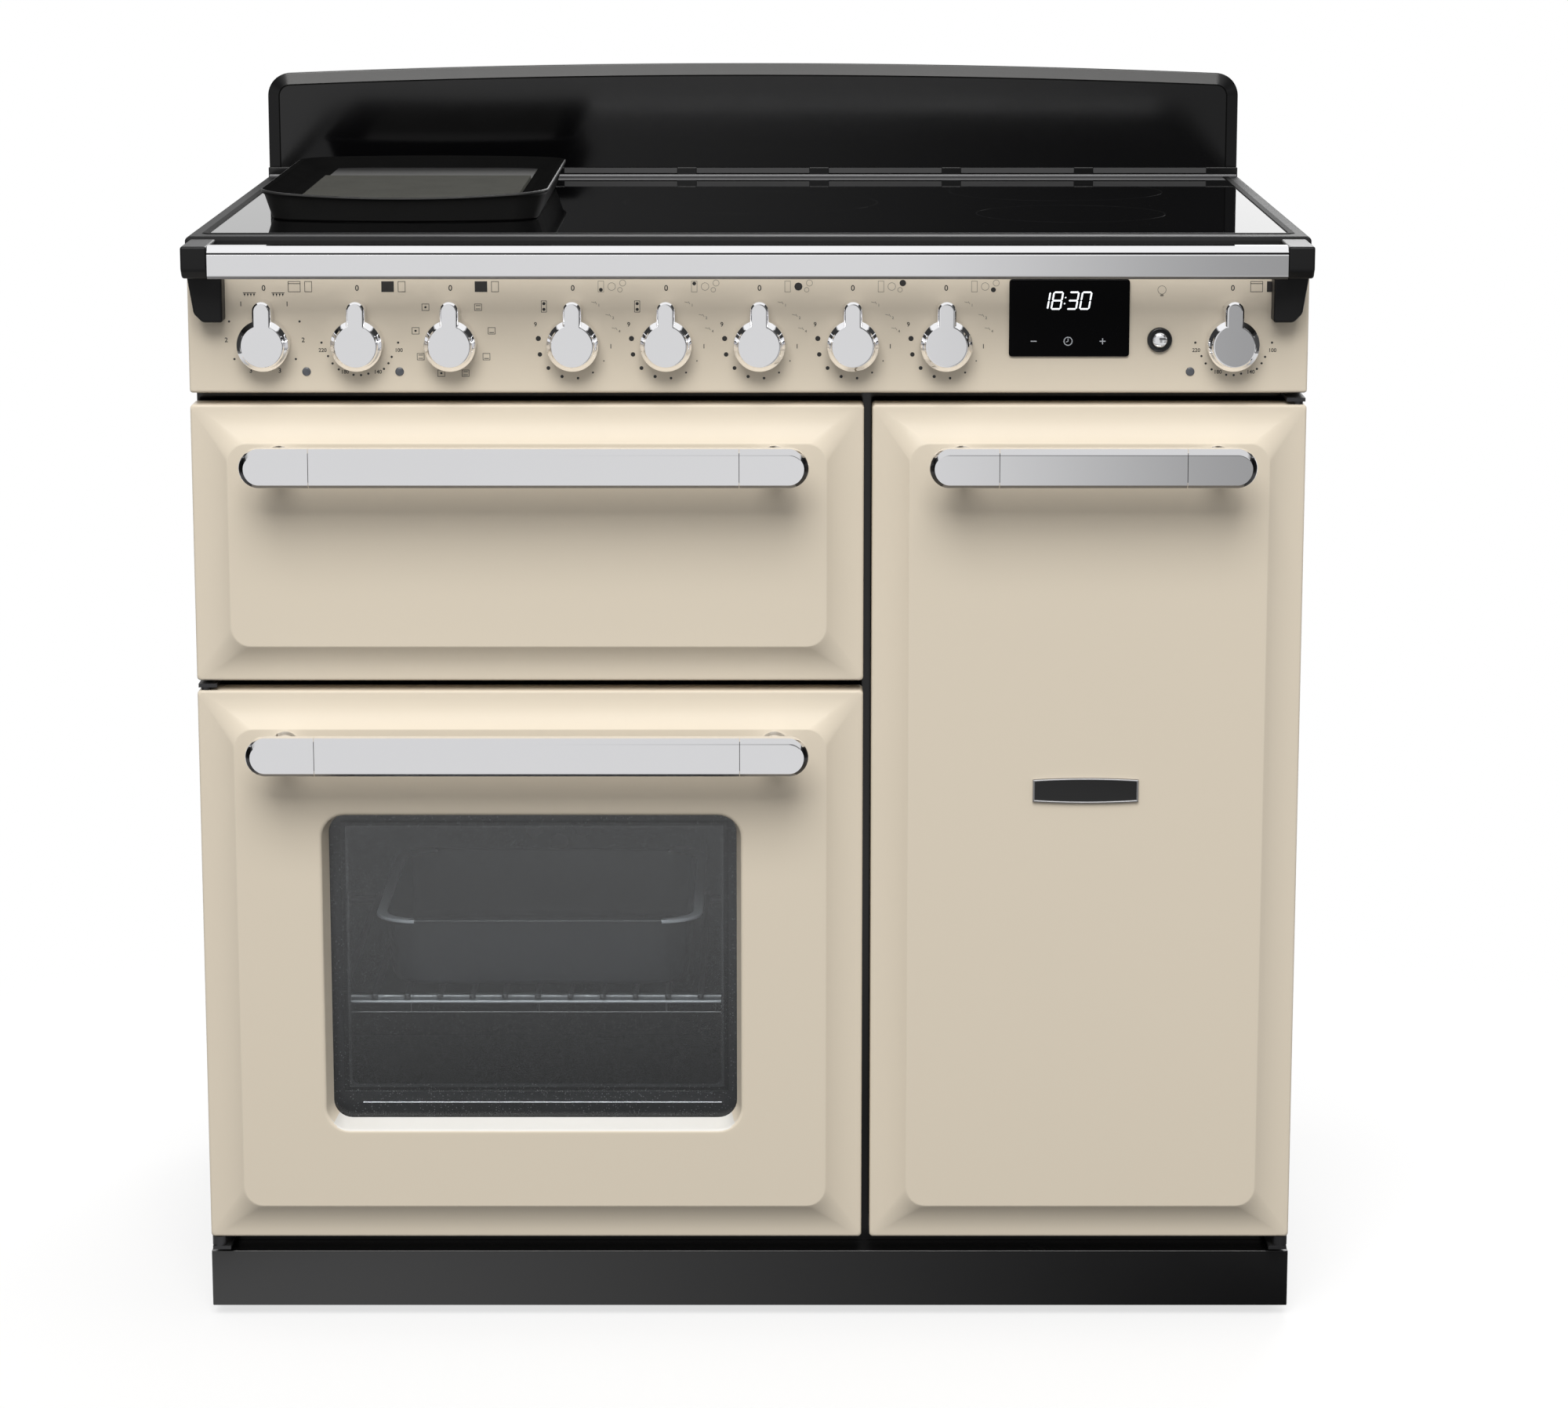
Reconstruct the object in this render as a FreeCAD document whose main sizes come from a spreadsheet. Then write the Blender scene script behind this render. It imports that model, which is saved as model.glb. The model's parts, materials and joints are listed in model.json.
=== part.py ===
import FreeCAD, Part
import math
import os
import re
import Sketcher

# Range cooker with a grill door, a windowed oven door, a tall oven door and an induction hob.
# Lengths are millimetres: +X to the right, -Y towards the cook, +Z up.
# The origin is on the floor, under the middle of the whole object.

vector = FreeCAD.Vector
doc = FreeCAD.newDocument("RangeCooker")
sizes = doc.addObject("Spreadsheet::Sheet", "Sizes")
places = doc.addObject("Spreadsheet::Sheet", "Places")

# Sizes that can each be set alone.
driving = {
    # whole object and sheet metal
    "front_width": 897,
    "casing_inset": 0.5,
    "trim_overhang": 1.5,
    "hob_height": 905,
    "body_depth": 602,
    "sheet_wall": 1.5,
    "skin_wall": 1.2,
    "cavity_wall": 1.2,
    "frame_wall": 2,
    "running_gap": 0.3,
    "pin_clearance": 0.05,
    # base
    "side_gap": 20,
    "plinth_gap": 9,
    "plinth_clear": 5,
    "plinth_setback": 12,
    "foot_inset": 48,
    "foot_setback": 40,
    "foot_radius": 19,
    "foot_pad": 8,
    "stem_radius": 5,
    "stem_rise": 12,
    "collar_radius": 9,
    "collar_height": 6,
    "roller_radius": 18,
    "roller_width": 20,
    "roller_setback": 50,
    "roller_gap": 4,
    "cheek_wall": 3,
    "cheek_width": 24,
    "cheek_clear": 8,
    # doors
    "door_bottom": 73,
    "panel_height": 111,
    "panel_gap": 9.5,
    "door_gap": 8.2,
    "split_gap": 6.7,
    "tall_door_width": 348.9,
    "grill_door_height": 225.7,
    "door_depth": 26,
    "door_corner": 3,
    "raise_inset": 30,
    "raise_height": 11,
    "raise_corner": 16,
    "liner_inset": 18,
    "liner_depth": 12,
    "seal_thickness": 2.7,
    "seal_width": 12,
    "seal_inset": 4,
    # hinges
    "pin_radius": 4,
    "hinge_inset": 6.5,
    "hinge_setback": 6,
    "hinge_plate": 3,
    "hinge_plate_width": 15,
    "hinge_block": 16,
    "hinge_collar": 6,
    "lower_plate_drop": 8,
    "arm_wall": 5,
    "arm_height": 8,
    "arm_inset": 6,
    "arm_rise": 21,
    "arm_slot_gap": 0.8,
    "arm_block_width": 12,
    # window
    "window_margin": 103.7,
    "window_drop": 105.8,
    "window_rise": 99.8,
    "window_flare": 4,
    "window_corner": 15,
    "window_recess": 14,
    "pane_wall": 4,
    "pane_overlap": 4,
    "inner_window_inset": 11,
    "inner_window_step": 20.2,
    "inner_window_drop": 14.8,
    # handles and badge
    "handle_height": 32,
    "handle_depth": 14,
    "handle_chamfer": 4,
    "handle_inset": 44.4,
    "handle_drop": 43.5,
    "handle_end": 55.5,
    "handle_reach": 60,
    "post_radius": 9,
    "badge_width": 86,
    "badge_height": 21,
    "badge_wall": 3,
    "badge_rise": 383,
    # control panel
    "knob_rise": 40,
    "knob_edge": 61.3,
    "knob_group_gap": 97.8,
    "knob_radius": 20.8,
    "knob_face_radius": 16.6,
    "knob_height": 22,
    "pointer_width": 12,
    "pointer_tip": 34,
    "pointer_draft": 1.3,
    "spindle_radius": 5,
    "spindle_length": 24,
    "switch_width": 36,
    "switch_depth": 30,
    "clock_gap": 50.45,
    "clock_width": 96.3,
    "clock_height": 62,
    "clock_rise": 29.6,
    "clock_wall": 2.5,
    "clock_lap": 4,
    "clock_depth": 24,
    "button_gap": 57.9,
    "button_clock_gap": 24.35,
    "button_rise": 43,
    "button_radius": 6,
    "button_proud": 2.5,
    "button_length": 14.5,
    "button_travel": 3,
    "bezel_radius": 9.7,
    "bezel_wall": 3,
    "barrel_radius": 7.5,
    "barrel_length": 18,
    "lamp_radius": 3.5,
    "lamp_length": 9,
    "lamp_proud": 1.2,
    "lamp_offset": 33,
    "lamp_rise": 17.3,
    # handrail
    "rail_inset": 23.5,
    "rail_height": 26,
    "rail_depth": 16,
    "rail_drop": 2,
    "rail_reach": 57,
    "rail_chamfer": 5,
    "bracket_width": 21,
    "bracket_lap": 7,
    "bracket_leg": 38,
    "bracket_leg_depth": 22,
    "bracket_taper": 5,
    "bracket_chamfer": 7,
    # hob
    "trim_setback": 5,
    "trim_side": 15.5,
    "trim_front": 24.7,
    "trim_height": 14,
    "trim_ledge": 8,
    "trim_round": 4,
    "glass_wall": 4,
    "tray_depth": 45,
    "tray_lap": 6,
    "coil_wall": 12,
    "coil_gap": 1,
    "coil_pillar": 20,
    "coil_margin": 164.5,
    "coil_front_line": 180,
    "coil_back_line": 155,
    "coil_left_radius": 92,
    "coil_middle_radius": 110,
    "coil_front_radius": 80,
    "coil_back_radius": 95,
    "board_gap": 33.5,
    "board_margin": 76.5,
    "board_height": 26,
    "splash_inset": 3,
    "splash_height": 95,
    "splash_arch": 9,
    "splash_corner": 21,
    "splash_depth": 16,
    "splash_bevel": 11,
    "splash_bevel_depth": 6,
    "vent_height": 9,
    "vent_depth": 19.3,
    "vent_end": 20,
    "vent_web": 18,
    "vent_wall": 2,
    # cavities
    "oven_margin": 43.2,
    "tall_margin": 34.45,
    "cavity_rise": 42,
    "oven_drop": 36.6,
    "grill_rise": 30.2,
    "cavity_drop": 35.5,
    "rear_room": 120.5,
    "grill_step": 40,
    "insulation_wall": 18,
    "element_radius": 3.5,
    "element_drop": 22,
    "element_inset": 50,
    "element_tail": 24,
    "ring_radius": 92,
    "ring_setback": 16,
    "ring_stub": 14,
    "fan_radius": 70,
    "fan_width": 18,
    "fan_back": 8,
    "fan_disc": 1.5,
    "hub_radius": 12,
    "blade_wall": 1.5,
    "blade_root": 30,
    "shaft_radius": 4,
    "shaft_reach": 40,
    "motor_radius": 30,
    "motor_length": 55,
    "cover_width": 230,
    "cover_depth": 34,
    "cover_hole": 9,
    "cover_ring": 90,
    "cover_eye": 8,
    "cover_eye_ring": 26,
    "lamp_lens_radius": 18,
    "lamp_lens_wall": 6,
    "lamp_lens_inset": 38,
    # shelves and loose ware
    "wire_radius": 2.5,
    "rod_radius": 3.5,
    "rack_front": 60,
    "rack_back": 60,
    "rack_foot": 30,
    "rail_offset": 4.5,
    "rail_end_gap": 6,
    "shelf_inset": 2,
    "shelf_front": 20,
    "shelf_back": 60,
    "oven_shelf_rise": 139,
    "tall_shelf_rise": 120,
    "tall_shelf_pitch": 170,
    "tin_margin": 89.5,
    "tin_rear": 133,
    "tin_height": 60,
    "tin_wall": 1.5,
    "tin_taper": 10,
    "tin_corner": 30,
    "tin_setback": 34,
    "pan_margin": 27.5,
    "pan_rear": 43,
    "pan_height": 40,
    "pan_wall": 1.5,
    "pan_taper": 6,
    "pan_corner": 14,
    "pan_setback": 24,
    "griddle_width": 240,
    "griddle_depth": 400,
    "griddle_height": 25,
    "griddle_wall": 4,
    "griddle_taper": 9,
    "griddle_corner": 24,
    "griddle_margin": 27.5,
    "griddle_rear": 62.7,
    "griddle_rib": 3,
    "griddle_rib_height": 3,
    "griddle_rib_pitch": 16,
    "griddle_rib_inset": 22,
    # rear
    "terminal_edge": 148,
    "terminal_width": 100,
    "terminal_height": 70,
    "terminal_depth": 38,
    "terminal_rise": 30,
    "gland_radius": 15,
    "gland_bore": 10,
    "gland_length": 12,
    "strap_rise": 700,
    "strap_pitch": 120,
    "strap_hole": 4,
}

# Places that follow from those sizes.
formulas = {
    # planes from front to back
    "front": "-(body_depth - handle_reach) / 2",
    "back": "front + body_depth",
    "casing_back": "back - sheet_wall",
    "door_back": "front + door_depth",
    "plug_back": "door_back + liner_depth",
    "frame_front": "plug_back + running_gap + seal_thickness",
    "frame_back": "frame_front + frame_wall",
    "face_line": "front - raise_height",
    "hinge_line": "front + hinge_setback",
    "panel_inside": "front + sheet_wall",
    "panel_depth": "frame_front - front",
    "rail_front": "front - rail_reach",
    "glass_front": "front + trim_setback + trim_front",
    "glass_back": "back - vent_depth",
    "glass_depth": "glass_back - glass_front",
    "oven_back": "casing_back - rear_room",
    "oven_depth": "oven_back - frame_back",
    "grill_back": "oven_back - grill_step",
    "grill_depth": "grill_back - frame_back",
    "foot_line": "frame_back + foot_setback",
    "roller_line": "casing_back - roller_setback",
    # levels from the floor up
    "base_height": "2 * roller_radius + roller_gap",
    "cheek_drop": "base_height - cheek_clear",
    "plinth_height": "door_bottom - lower_plate_drop - hinge_plate - plinth_clear - plinth_gap",
    "trim_bottom": "hob_height - trim_height",
    "tray_bottom": "trim_bottom - tray_depth",
    "rail_top": "hob_height - rail_drop",
    "panel_bottom": "trim_bottom - panel_height",
    "knob_height_line": "panel_bottom + knob_rise",
    "lamp_height_line": "panel_bottom + lamp_rise",
    "button_height_line": "panel_bottom + button_rise",
    "door_top": "panel_bottom - panel_gap",
    "grill_door_bottom": "door_top - grill_door_height",
    "grill_pin_height": "grill_door_bottom + arm_rise",
    "oven_door_height": "grill_door_bottom - door_gap - door_bottom",
    "tall_door_height": "door_top - door_bottom",
    "window_height": "oven_door_height - window_rise - window_drop",
    "inner_window_rise": "window_rise + inner_window_step",
    "inner_window_height": "window_height - inner_window_step - inner_window_drop",
    "oven_bottom": "door_bottom + cavity_rise",
    "oven_height": "oven_door_height - cavity_rise - oven_drop",
    "grill_bottom": "grill_door_bottom + grill_rise",
    "grill_height": "grill_door_height - grill_rise - cavity_drop",
    "tall_height": "tall_door_height - cavity_rise - cavity_drop",
    "oven_fan_height": "oven_bottom + oven_height / 2",
    "tall_fan_height": "oven_bottom + tall_height / 2",
    # widths and places across
    "casing_width": "front_width - 2 * casing_inset",
    "hob_width": "front_width + 2 * trim_overhang",
    "left_door_width": "front_width - tall_door_width - split_gap",
    "left_middle": "(left_door_width - front_width) / 2",
    "tall_middle": "(front_width - tall_door_width) / 2",
    "hinge_side": "front_width / 2 - hinge_inset",
    "foot_side": "casing_width / 2 - foot_inset",
    "oven_width": "left_door_width - 2 * oven_margin",
    "tall_width": "tall_door_width - 2 * tall_margin",
    "window_width": "left_door_width - 2 * window_margin",
    "inner_window_width": "window_width - 2 * inner_window_inset",
    "button_middle": "front_width / 2 - knob_edge - button_gap",
    "clock_middle": "button_middle - button_clock_gap - clock_width / 2",
    "hob_knob_span": "clock_middle - clock_width / 2 - clock_gap + front_width / 2 - knob_edge",
    "knob_pitch": "(hob_knob_span - knob_group_gap) / 6",
    "rail_half": "front_width / 2 - rail_inset",
    "glass_side": "hob_width / 2 - trim_side",
    "splash_width": "hob_width - 2 * splash_inset",
    "griddle_middle": "griddle_margin + griddle_width / 2 - glass_side",
    "right_zone": "glass_side - coil_margin",
    "terminal_middle": "casing_width / 2 - terminal_edge",
    # loose ware
    "tin_width": "oven_width - 2 * tin_margin",
    "tin_depth": "oven_depth - tin_setback - tin_rear",
    "pan_width": "oven_width - 2 * pan_margin",
    "pan_depth": "grill_depth - pan_setback - pan_rear",
    "bevel_radius": "(raise_inset * raise_inset + raise_height * raise_height) / (2 * raise_height)",
}

knobs = {
    "grill_knob": "-front_width / 2 + knob_edge",
    "oven_temperature_knob": "-front_width / 2 + knob_edge + knob_pitch",
    "oven_function_knob": "-front_width / 2 + knob_edge + 2 * knob_pitch",
    "hob_knob_1": "-front_width / 2 + knob_edge + knob_group_gap + 2 * knob_pitch",
    "hob_knob_2": "-front_width / 2 + knob_edge + knob_group_gap + 3 * knob_pitch",
    "hob_knob_3": "-front_width / 2 + knob_edge + knob_group_gap + 4 * knob_pitch",
    "hob_knob_4": "-front_width / 2 + knob_edge + knob_group_gap + 5 * knob_pitch",
    "hob_knob_5": "-front_width / 2 + knob_edge + knob_group_gap + 6 * knob_pitch",
    "tall_temperature_knob": "front_width / 2 - knob_edge",
}
lamps = [
    "-front_width / 2 + knob_edge + lamp_offset",
    "-front_width / 2 + knob_edge + knob_pitch + lamp_offset",
    "front_width / 2 - knob_edge - lamp_offset",
]


def full(text, own=()):
    """Puts the sheet's name in front of each size and place in an expression."""
    def name(match):
        word = match.group(0)
        if word in own:
            return word
        if word in driving:
            return "Sizes." + word
        if word in formulas:
            return "Places." + word
        return word
    return re.sub(r"[a-z_]+[a-z]", name, str(text))


for row, (alias, value) in enumerate(driving.items(), 1):
    sizes.set("A%d" % row, alias)
    sizes.set("B%d" % row, str(value))
    sizes.setAlias("B%d" % row, alias)
doc.recompute()
for row, (alias, formula) in enumerate(formulas.items(), 1):
    places.set("A%d" % row, alias)
    places.set("B%d" % row, "=" + full(formula, formulas))
    places.setAlias("B%d" % row, alias)
doc.recompute()

# The ruler reads the value of an expression, for the first draft of a sketch.
ruler = doc.addObject("Part::Vertex", "Ruler")


def measure(text):
    ruler.setExpression("X", full(text))
    ruler.recompute()
    return ruler.X.Value


def bind(item, **bound):
    for name, text in bound.items():
        item.setExpression(name.replace("__", "."), full(text))
    return item


def move(item, x=0, y=0, z=0):
    return bind(item, Placement__Base__x=x, Placement__Base__y=y, Placement__Base__z=z)


def box(label, x, y, z, width, depth, height):
    item = doc.addObject("Part::Box", label)
    bind(item, Length=width, Width=depth, Height=height)
    return move(item, x, y, z)


def cylinder(label, axis, x, y, z, radius, length):
    turns = {
        "x": FreeCAD.Rotation(vector(0, 1, 0), 90),
        "y": FreeCAD.Rotation(vector(1, 0, 0), -90),
        "z": FreeCAD.Rotation(),
    }
    item = doc.addObject("Part::Cylinder", label)
    item.Placement = FreeCAD.Placement(vector(), turns[axis])
    bind(item, Radius=radius, Height=length)
    return move(item, x, y, z)


def fuse(label, items):
    item = doc.addObject("Part::MultiFuse", label)
    item.Shapes = items
    return item


def group(label, items):
    item = doc.addObject("Part::Compound", label)
    item.Links = items
    return item


def cut(label, base, tools):
    item = doc.addObject("Part::Cut", label)
    item.Base = base
    item.Tool = tools[0] if len(tools) == 1 else fuse(label + "_tools", tools)
    return item


def new_body(label):
    return doc.addObject("PartDesign::Body", label)


def new_sketch(body, name, plane="XZ_Plane", offset=0):
    sketch = body.newObject("Sketcher::SketchObject", body.Name + "_" + name)
    support = [item for item in body.Origin.OriginFeatures if item.Role == plane][0]
    sketch.AttachmentSupport = [(support, "")]
    sketch.MapMode = "FlatFace"
    sketch.setExpression("AttachmentOffset.Base.z", full(offset))
    return sketch


def pin_point(sketch, geometry, point, x, y):
    for kind, text in (("DistanceX", x), ("DistanceY", y)):
        index = sketch.addConstraint(Sketcher.Constraint(kind, -1, 1, geometry, point, measure(text)))
        sketch.setExpression("Constraints[%d]" % index, full(text))


def size_radius(sketch, geometry, text):
    index = sketch.addConstraint(Sketcher.Constraint("Radius", geometry, measure(text)))
    sketch.setExpression("Constraints[%d]" % index, full(text))


def polygon(sketch, corners):
    points = [vector(measure(x), measure(y)) for x, y in corners]
    first = sketch.GeometryCount
    count = len(points)
    for index in range(count):
        sketch.addGeometry(Part.LineSegment(points[index], points[(index + 1) % count]), False)
    for index in range(count):
        after = first + (index + 1) % count
        sketch.addConstraint(Sketcher.Constraint("Coincident", first + index, 2, after, 1))
    for index, (x, y) in enumerate(corners):
        pin_point(sketch, first + index, 1, x, y)


def rectangle(sketch, left, bottom, width, height):
    right = "%s + (%s)" % (left, width)
    top = "%s + (%s)" % (bottom, height)
    polygon(sketch, [(left, bottom), (right, bottom), (right, top), (left, top)])


def circle(sketch, x, y, radius):
    centre = vector(measure(x), measure(y))
    index = sketch.addGeometry(Part.Circle(centre, vector(0, 0, 1), measure(radius)), False)
    pin_point(sketch, index, 3, x, y)
    size_radius(sketch, index, radius)


def rounded(sketch, x, y, width, height, radius):
    """A rectangle about the point x, y with four equal round corners."""
    left = "%s - (%s) / 2" % (x, width)
    right = "%s + (%s) / 2" % (x, width)
    bottom = "%s - (%s) / 2" % (y, height)
    top = "%s + (%s) / 2" % (y, height)
    x_low, x_high, y_low, y_high, bend = [measure(text) for text in (left, right, bottom, top, radius)]
    corners = [
        (x_high - bend, y_low + bend, -90),
        (x_high - bend, y_high - bend, 0),
        (x_low + bend, y_high - bend, 90),
        (x_low + bend, y_low + bend, 180),
    ]
    ends = [
        (vector(x_low + bend, y_low), vector(x_high - bend, y_low)),
        (vector(x_high, y_low + bend), vector(x_high, y_high - bend)),
        (vector(x_high - bend, y_high), vector(x_low + bend, y_high)),
        (vector(x_low, y_high - bend), vector(x_low, y_low + bend)),
    ]
    for side in range(4):
        sketch.addGeometry(Part.LineSegment(*ends[side]), False)
        centre_x, centre_y, start = corners[side]
        ring = Part.Circle(vector(centre_x, centre_y), vector(0, 0, 1), bend)
        arc = Part.ArcOfCircle(ring, math.radians(start), math.radians(start + 90))
        sketch.addGeometry(arc, False)
    for index in range(8):
        sketch.addConstraint(Sketcher.Constraint("Tangent", index, 2, (index + 1) % 8, 1))
    for line, kind in ((0, "Horizontal"), (2, "Vertical"), (4, "Horizontal"), (6, "Vertical")):
        sketch.addConstraint(Sketcher.Constraint(kind, line))
    for arc in (3, 5, 7):
        sketch.addConstraint(Sketcher.Constraint("Equal", 1, arc))
    size_radius(sketch, 1, radius)
    for kind, line, text in (("DistanceX", 6, left), ("DistanceX", 2, right),
                             ("DistanceY", 0, bottom), ("DistanceY", 4, top)):
        index = sketch.addConstraint(Sketcher.Constraint(kind, -1, 1, line, 1, measure(text)))
        sketch.setExpression("Constraints[%d]" % index, full(text))


def tongue(sketch, length, width, upright):
    """A strip from the sketch's origin with a half-round far end, along X or upright along Y."""
    half = "(%s) / 2" % width
    straight = "%s - %s" % (length, half)
    reach = measure(straight)
    side = measure(half)
    corners = [(0, -side), (reach, -side), (reach, side), (0, side)]
    texts = [("0", "-" + half), (straight, "-" + half), (straight, half), ("0", half)]
    turn = 0
    if upright:
        corners = [(-y, x) for x, y in corners]
        texts = [("-(%s)" % y, x) for x, y in texts]
        turn = 90
    points = [vector(x, y) for x, y in corners]
    centre = (points[1] + points[2]) / 2
    ring = Part.Circle(centre, vector(0, 0, 1), side)
    sketch.addGeometry(Part.LineSegment(points[3], points[0]), False)
    sketch.addGeometry(Part.LineSegment(points[0], points[1]), False)
    sketch.addGeometry(Part.ArcOfCircle(ring, math.radians(turn - 90), math.radians(turn + 90)), False)
    sketch.addGeometry(Part.LineSegment(points[2], points[3]), False)
    sketch.addConstraint(Sketcher.Constraint("Coincident", 0, 2, 1, 1))
    sketch.addConstraint(Sketcher.Constraint("Tangent", 1, 2, 2, 1))
    sketch.addConstraint(Sketcher.Constraint("Coincident", 2, 2, 3, 1))
    sketch.addConstraint(Sketcher.Constraint("Coincident", 3, 2, 0, 1))
    pin_point(sketch, 0, 2, *texts[0])
    pin_point(sketch, 2, 1, *texts[1])
    pin_point(sketch, 2, 2, *texts[2])
    pin_point(sketch, 3, 2, *texts[3])


def pad(body, sketch, length, backwards=False, both=False):
    item = body.newObject("PartDesign::Pad", sketch.Name + "_pad")
    item.Profile = sketch
    item.Reversed = backwards
    item.Midplane = both
    return bind(item, Length=length)


def pocket(body, sketch, length=None, backwards=False):
    """Cuts a sketch to a depth, or right through both ways."""
    item = body.newObject("PartDesign::Pocket", sketch.Name + "_pocket")
    item.Profile = sketch
    item.Reversed = backwards
    if length is None:
        item.Type = 1
        item.Midplane = True
        return item
    return bind(item, Length=length)


def loft(body, sketches, add=True, ruled=True):
    kind = "PartDesign::AdditiveLoft" if add else "PartDesign::SubtractiveLoft"
    item = body.newObject(kind, sketches[-1].Name + "_loft")
    item.Profile = sketches[0]
    item.Sections = sketches[1:]
    item.Ruled = ruled
    return item


def edges_of(feature, wanted):
    """Names the feature's edges whose bounding box passes the test."""
    names = []
    for index, edge in enumerate(feature.Shape.Edges, 1):
        if wanted(edge.BoundBox):
            names.append("Edge%d" % index)
    return names


def dress(body, kind, feature, wanted, **bound):
    """Adds a fillet or chamfer to some of a feature's edges."""
    doc.recompute()
    item = body.newObject("PartDesign::" + kind, body.Name + "_" + kind.lower())
    item.Base = (feature, edges_of(feature, wanted))
    return bind(item, **bound)


def flat(low, high, place):
    return abs(low - place) < 0.01 and abs(high - place) < 0.01


def base():
    plate_side = "casing_width / 2 - sheet_wall"
    plate = box("base_plate", "-(%s)" % plate_side, "frame_back", "base_height",
                "2 * (%s)" % plate_side, "casing_back - frame_back", "frame_wall")
    cheeks = []
    holes = []
    rollers = []
    feet = []
    cheek_place = "roller_width / 2 + running_gap"
    for side, sign in (("left", "-"), ("right", "")):
        middle = "%sfoot_side" % sign
        for name, start in (("inner", "-(%s) - cheek_wall" % cheek_place), ("outer", cheek_place)):
            cheeks.append(box("cheek_%s_%s" % (side, name), "%s + %s" % (middle, start),
                              "roller_line - cheek_width / 2", "base_height - cheek_drop",
                              "cheek_wall", "cheek_width", "cheek_drop"))
        axle_half = "(%s + cheek_wall)" % cheek_place
        holes.append(cylinder("axle_hole_" + side, "x", "%s - %s" % (middle, axle_half), "roller_line",
                              "roller_radius", "pin_radius + pin_clearance", "2 * " + axle_half))
        holes.append(cylinder("stem_hole_" + side, "z", middle, "foot_line", "base_height",
                              "stem_radius + pin_clearance", "frame_wall"))
        wheel = cylinder("wheel_" + side, "x", middle + " - roller_width / 2", "roller_line",
                         "roller_radius", "roller_radius", "roller_width")
        axle = cylinder("axle_" + side, "x", "%s - %s" % (middle, axle_half), "roller_line",
                        "roller_radius", "pin_radius", "2 * " + axle_half)
        rollers.append(fuse("roller_" + side, [wheel, axle]))
        foot = cylinder("foot_pad_" + side, "z", middle, "foot_line", "0", "foot_radius", "foot_pad")
        stem = cylinder("stem_" + side, "z", middle, "foot_line", "0", "stem_radius",
                        "base_height + frame_wall + stem_rise")
        collar = cylinder("collar_" + side, "z", middle, "foot_line", "base_height - collar_height",
                          "collar_radius", "collar_height")
        feet.append(fuse("foot_" + side, [foot, stem, collar]))
    tray = fuse("base_with_cheeks", [plate] + cheeks)
    return [cut("base_tray", tray, holes), group("rear_rollers", rollers), group("levelling_feet", feet)]


def casing():
    height = "trim_bottom - side_gap"
    sides = []
    for side, left in (("left", "-casing_width / 2"), ("right", "casing_width / 2 - sheet_wall")):
        sides.append(box("side_" + side, left, "frame_back", "side_gap",
                         "sheet_wall", "casing_back - frame_back", height))
    plate = box("rear_plate", "-casing_width / 2", "casing_back", "side_gap",
                "casing_width", "sheet_wall", height)
    holes = [cylinder("gland_hole", "y", "terminal_middle", "casing_back",
                      "base_height + terminal_rise + terminal_height / 2", "gland_radius", "sheet_wall")]
    for side, sign in (("left", "-"), ("right", "")):
        holes.append(cylinder("strap_hole_" + side, "y", sign + "strap_pitch / 2", "casing_back",
                              "strap_rise", "strap_hole", "sheet_wall"))
    shell = box("plinth_outer", "-hob_width / 2", "front + plinth_setback", "plinth_gap",
                "hob_width", "frame_front - front - plinth_setback", "plinth_height")
    inside = box("plinth_inner", "-hob_width / 2 + sheet_wall", "front + plinth_setback + sheet_wall",
                 "plinth_gap", "hob_width - 2 * sheet_wall",
                 "frame_front - front - plinth_setback - sheet_wall", "plinth_height - sheet_wall")
    return [group("side_panels", sides), cut("rear_panel", plate, holes), cut("plinth", shell, [inside])]


def front_frame():
    body = new_body("front_frame")
    sketch = new_sketch(body, "outline", offset="-frame_back")
    rectangle(sketch, "-casing_width / 2", "base_height", "casing_width", "tray_bottom - base_height")
    rectangle(sketch, "left_middle - oven_width / 2", "oven_bottom", "oven_width", "oven_height")
    rectangle(sketch, "left_middle - oven_width / 2", "grill_bottom", "oven_width", "grill_height")
    rectangle(sketch, "tall_middle - tall_width / 2", "oven_bottom", "tall_width", "tall_height")
    pad(body, sketch, "frame_wall")
    return [body]


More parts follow.
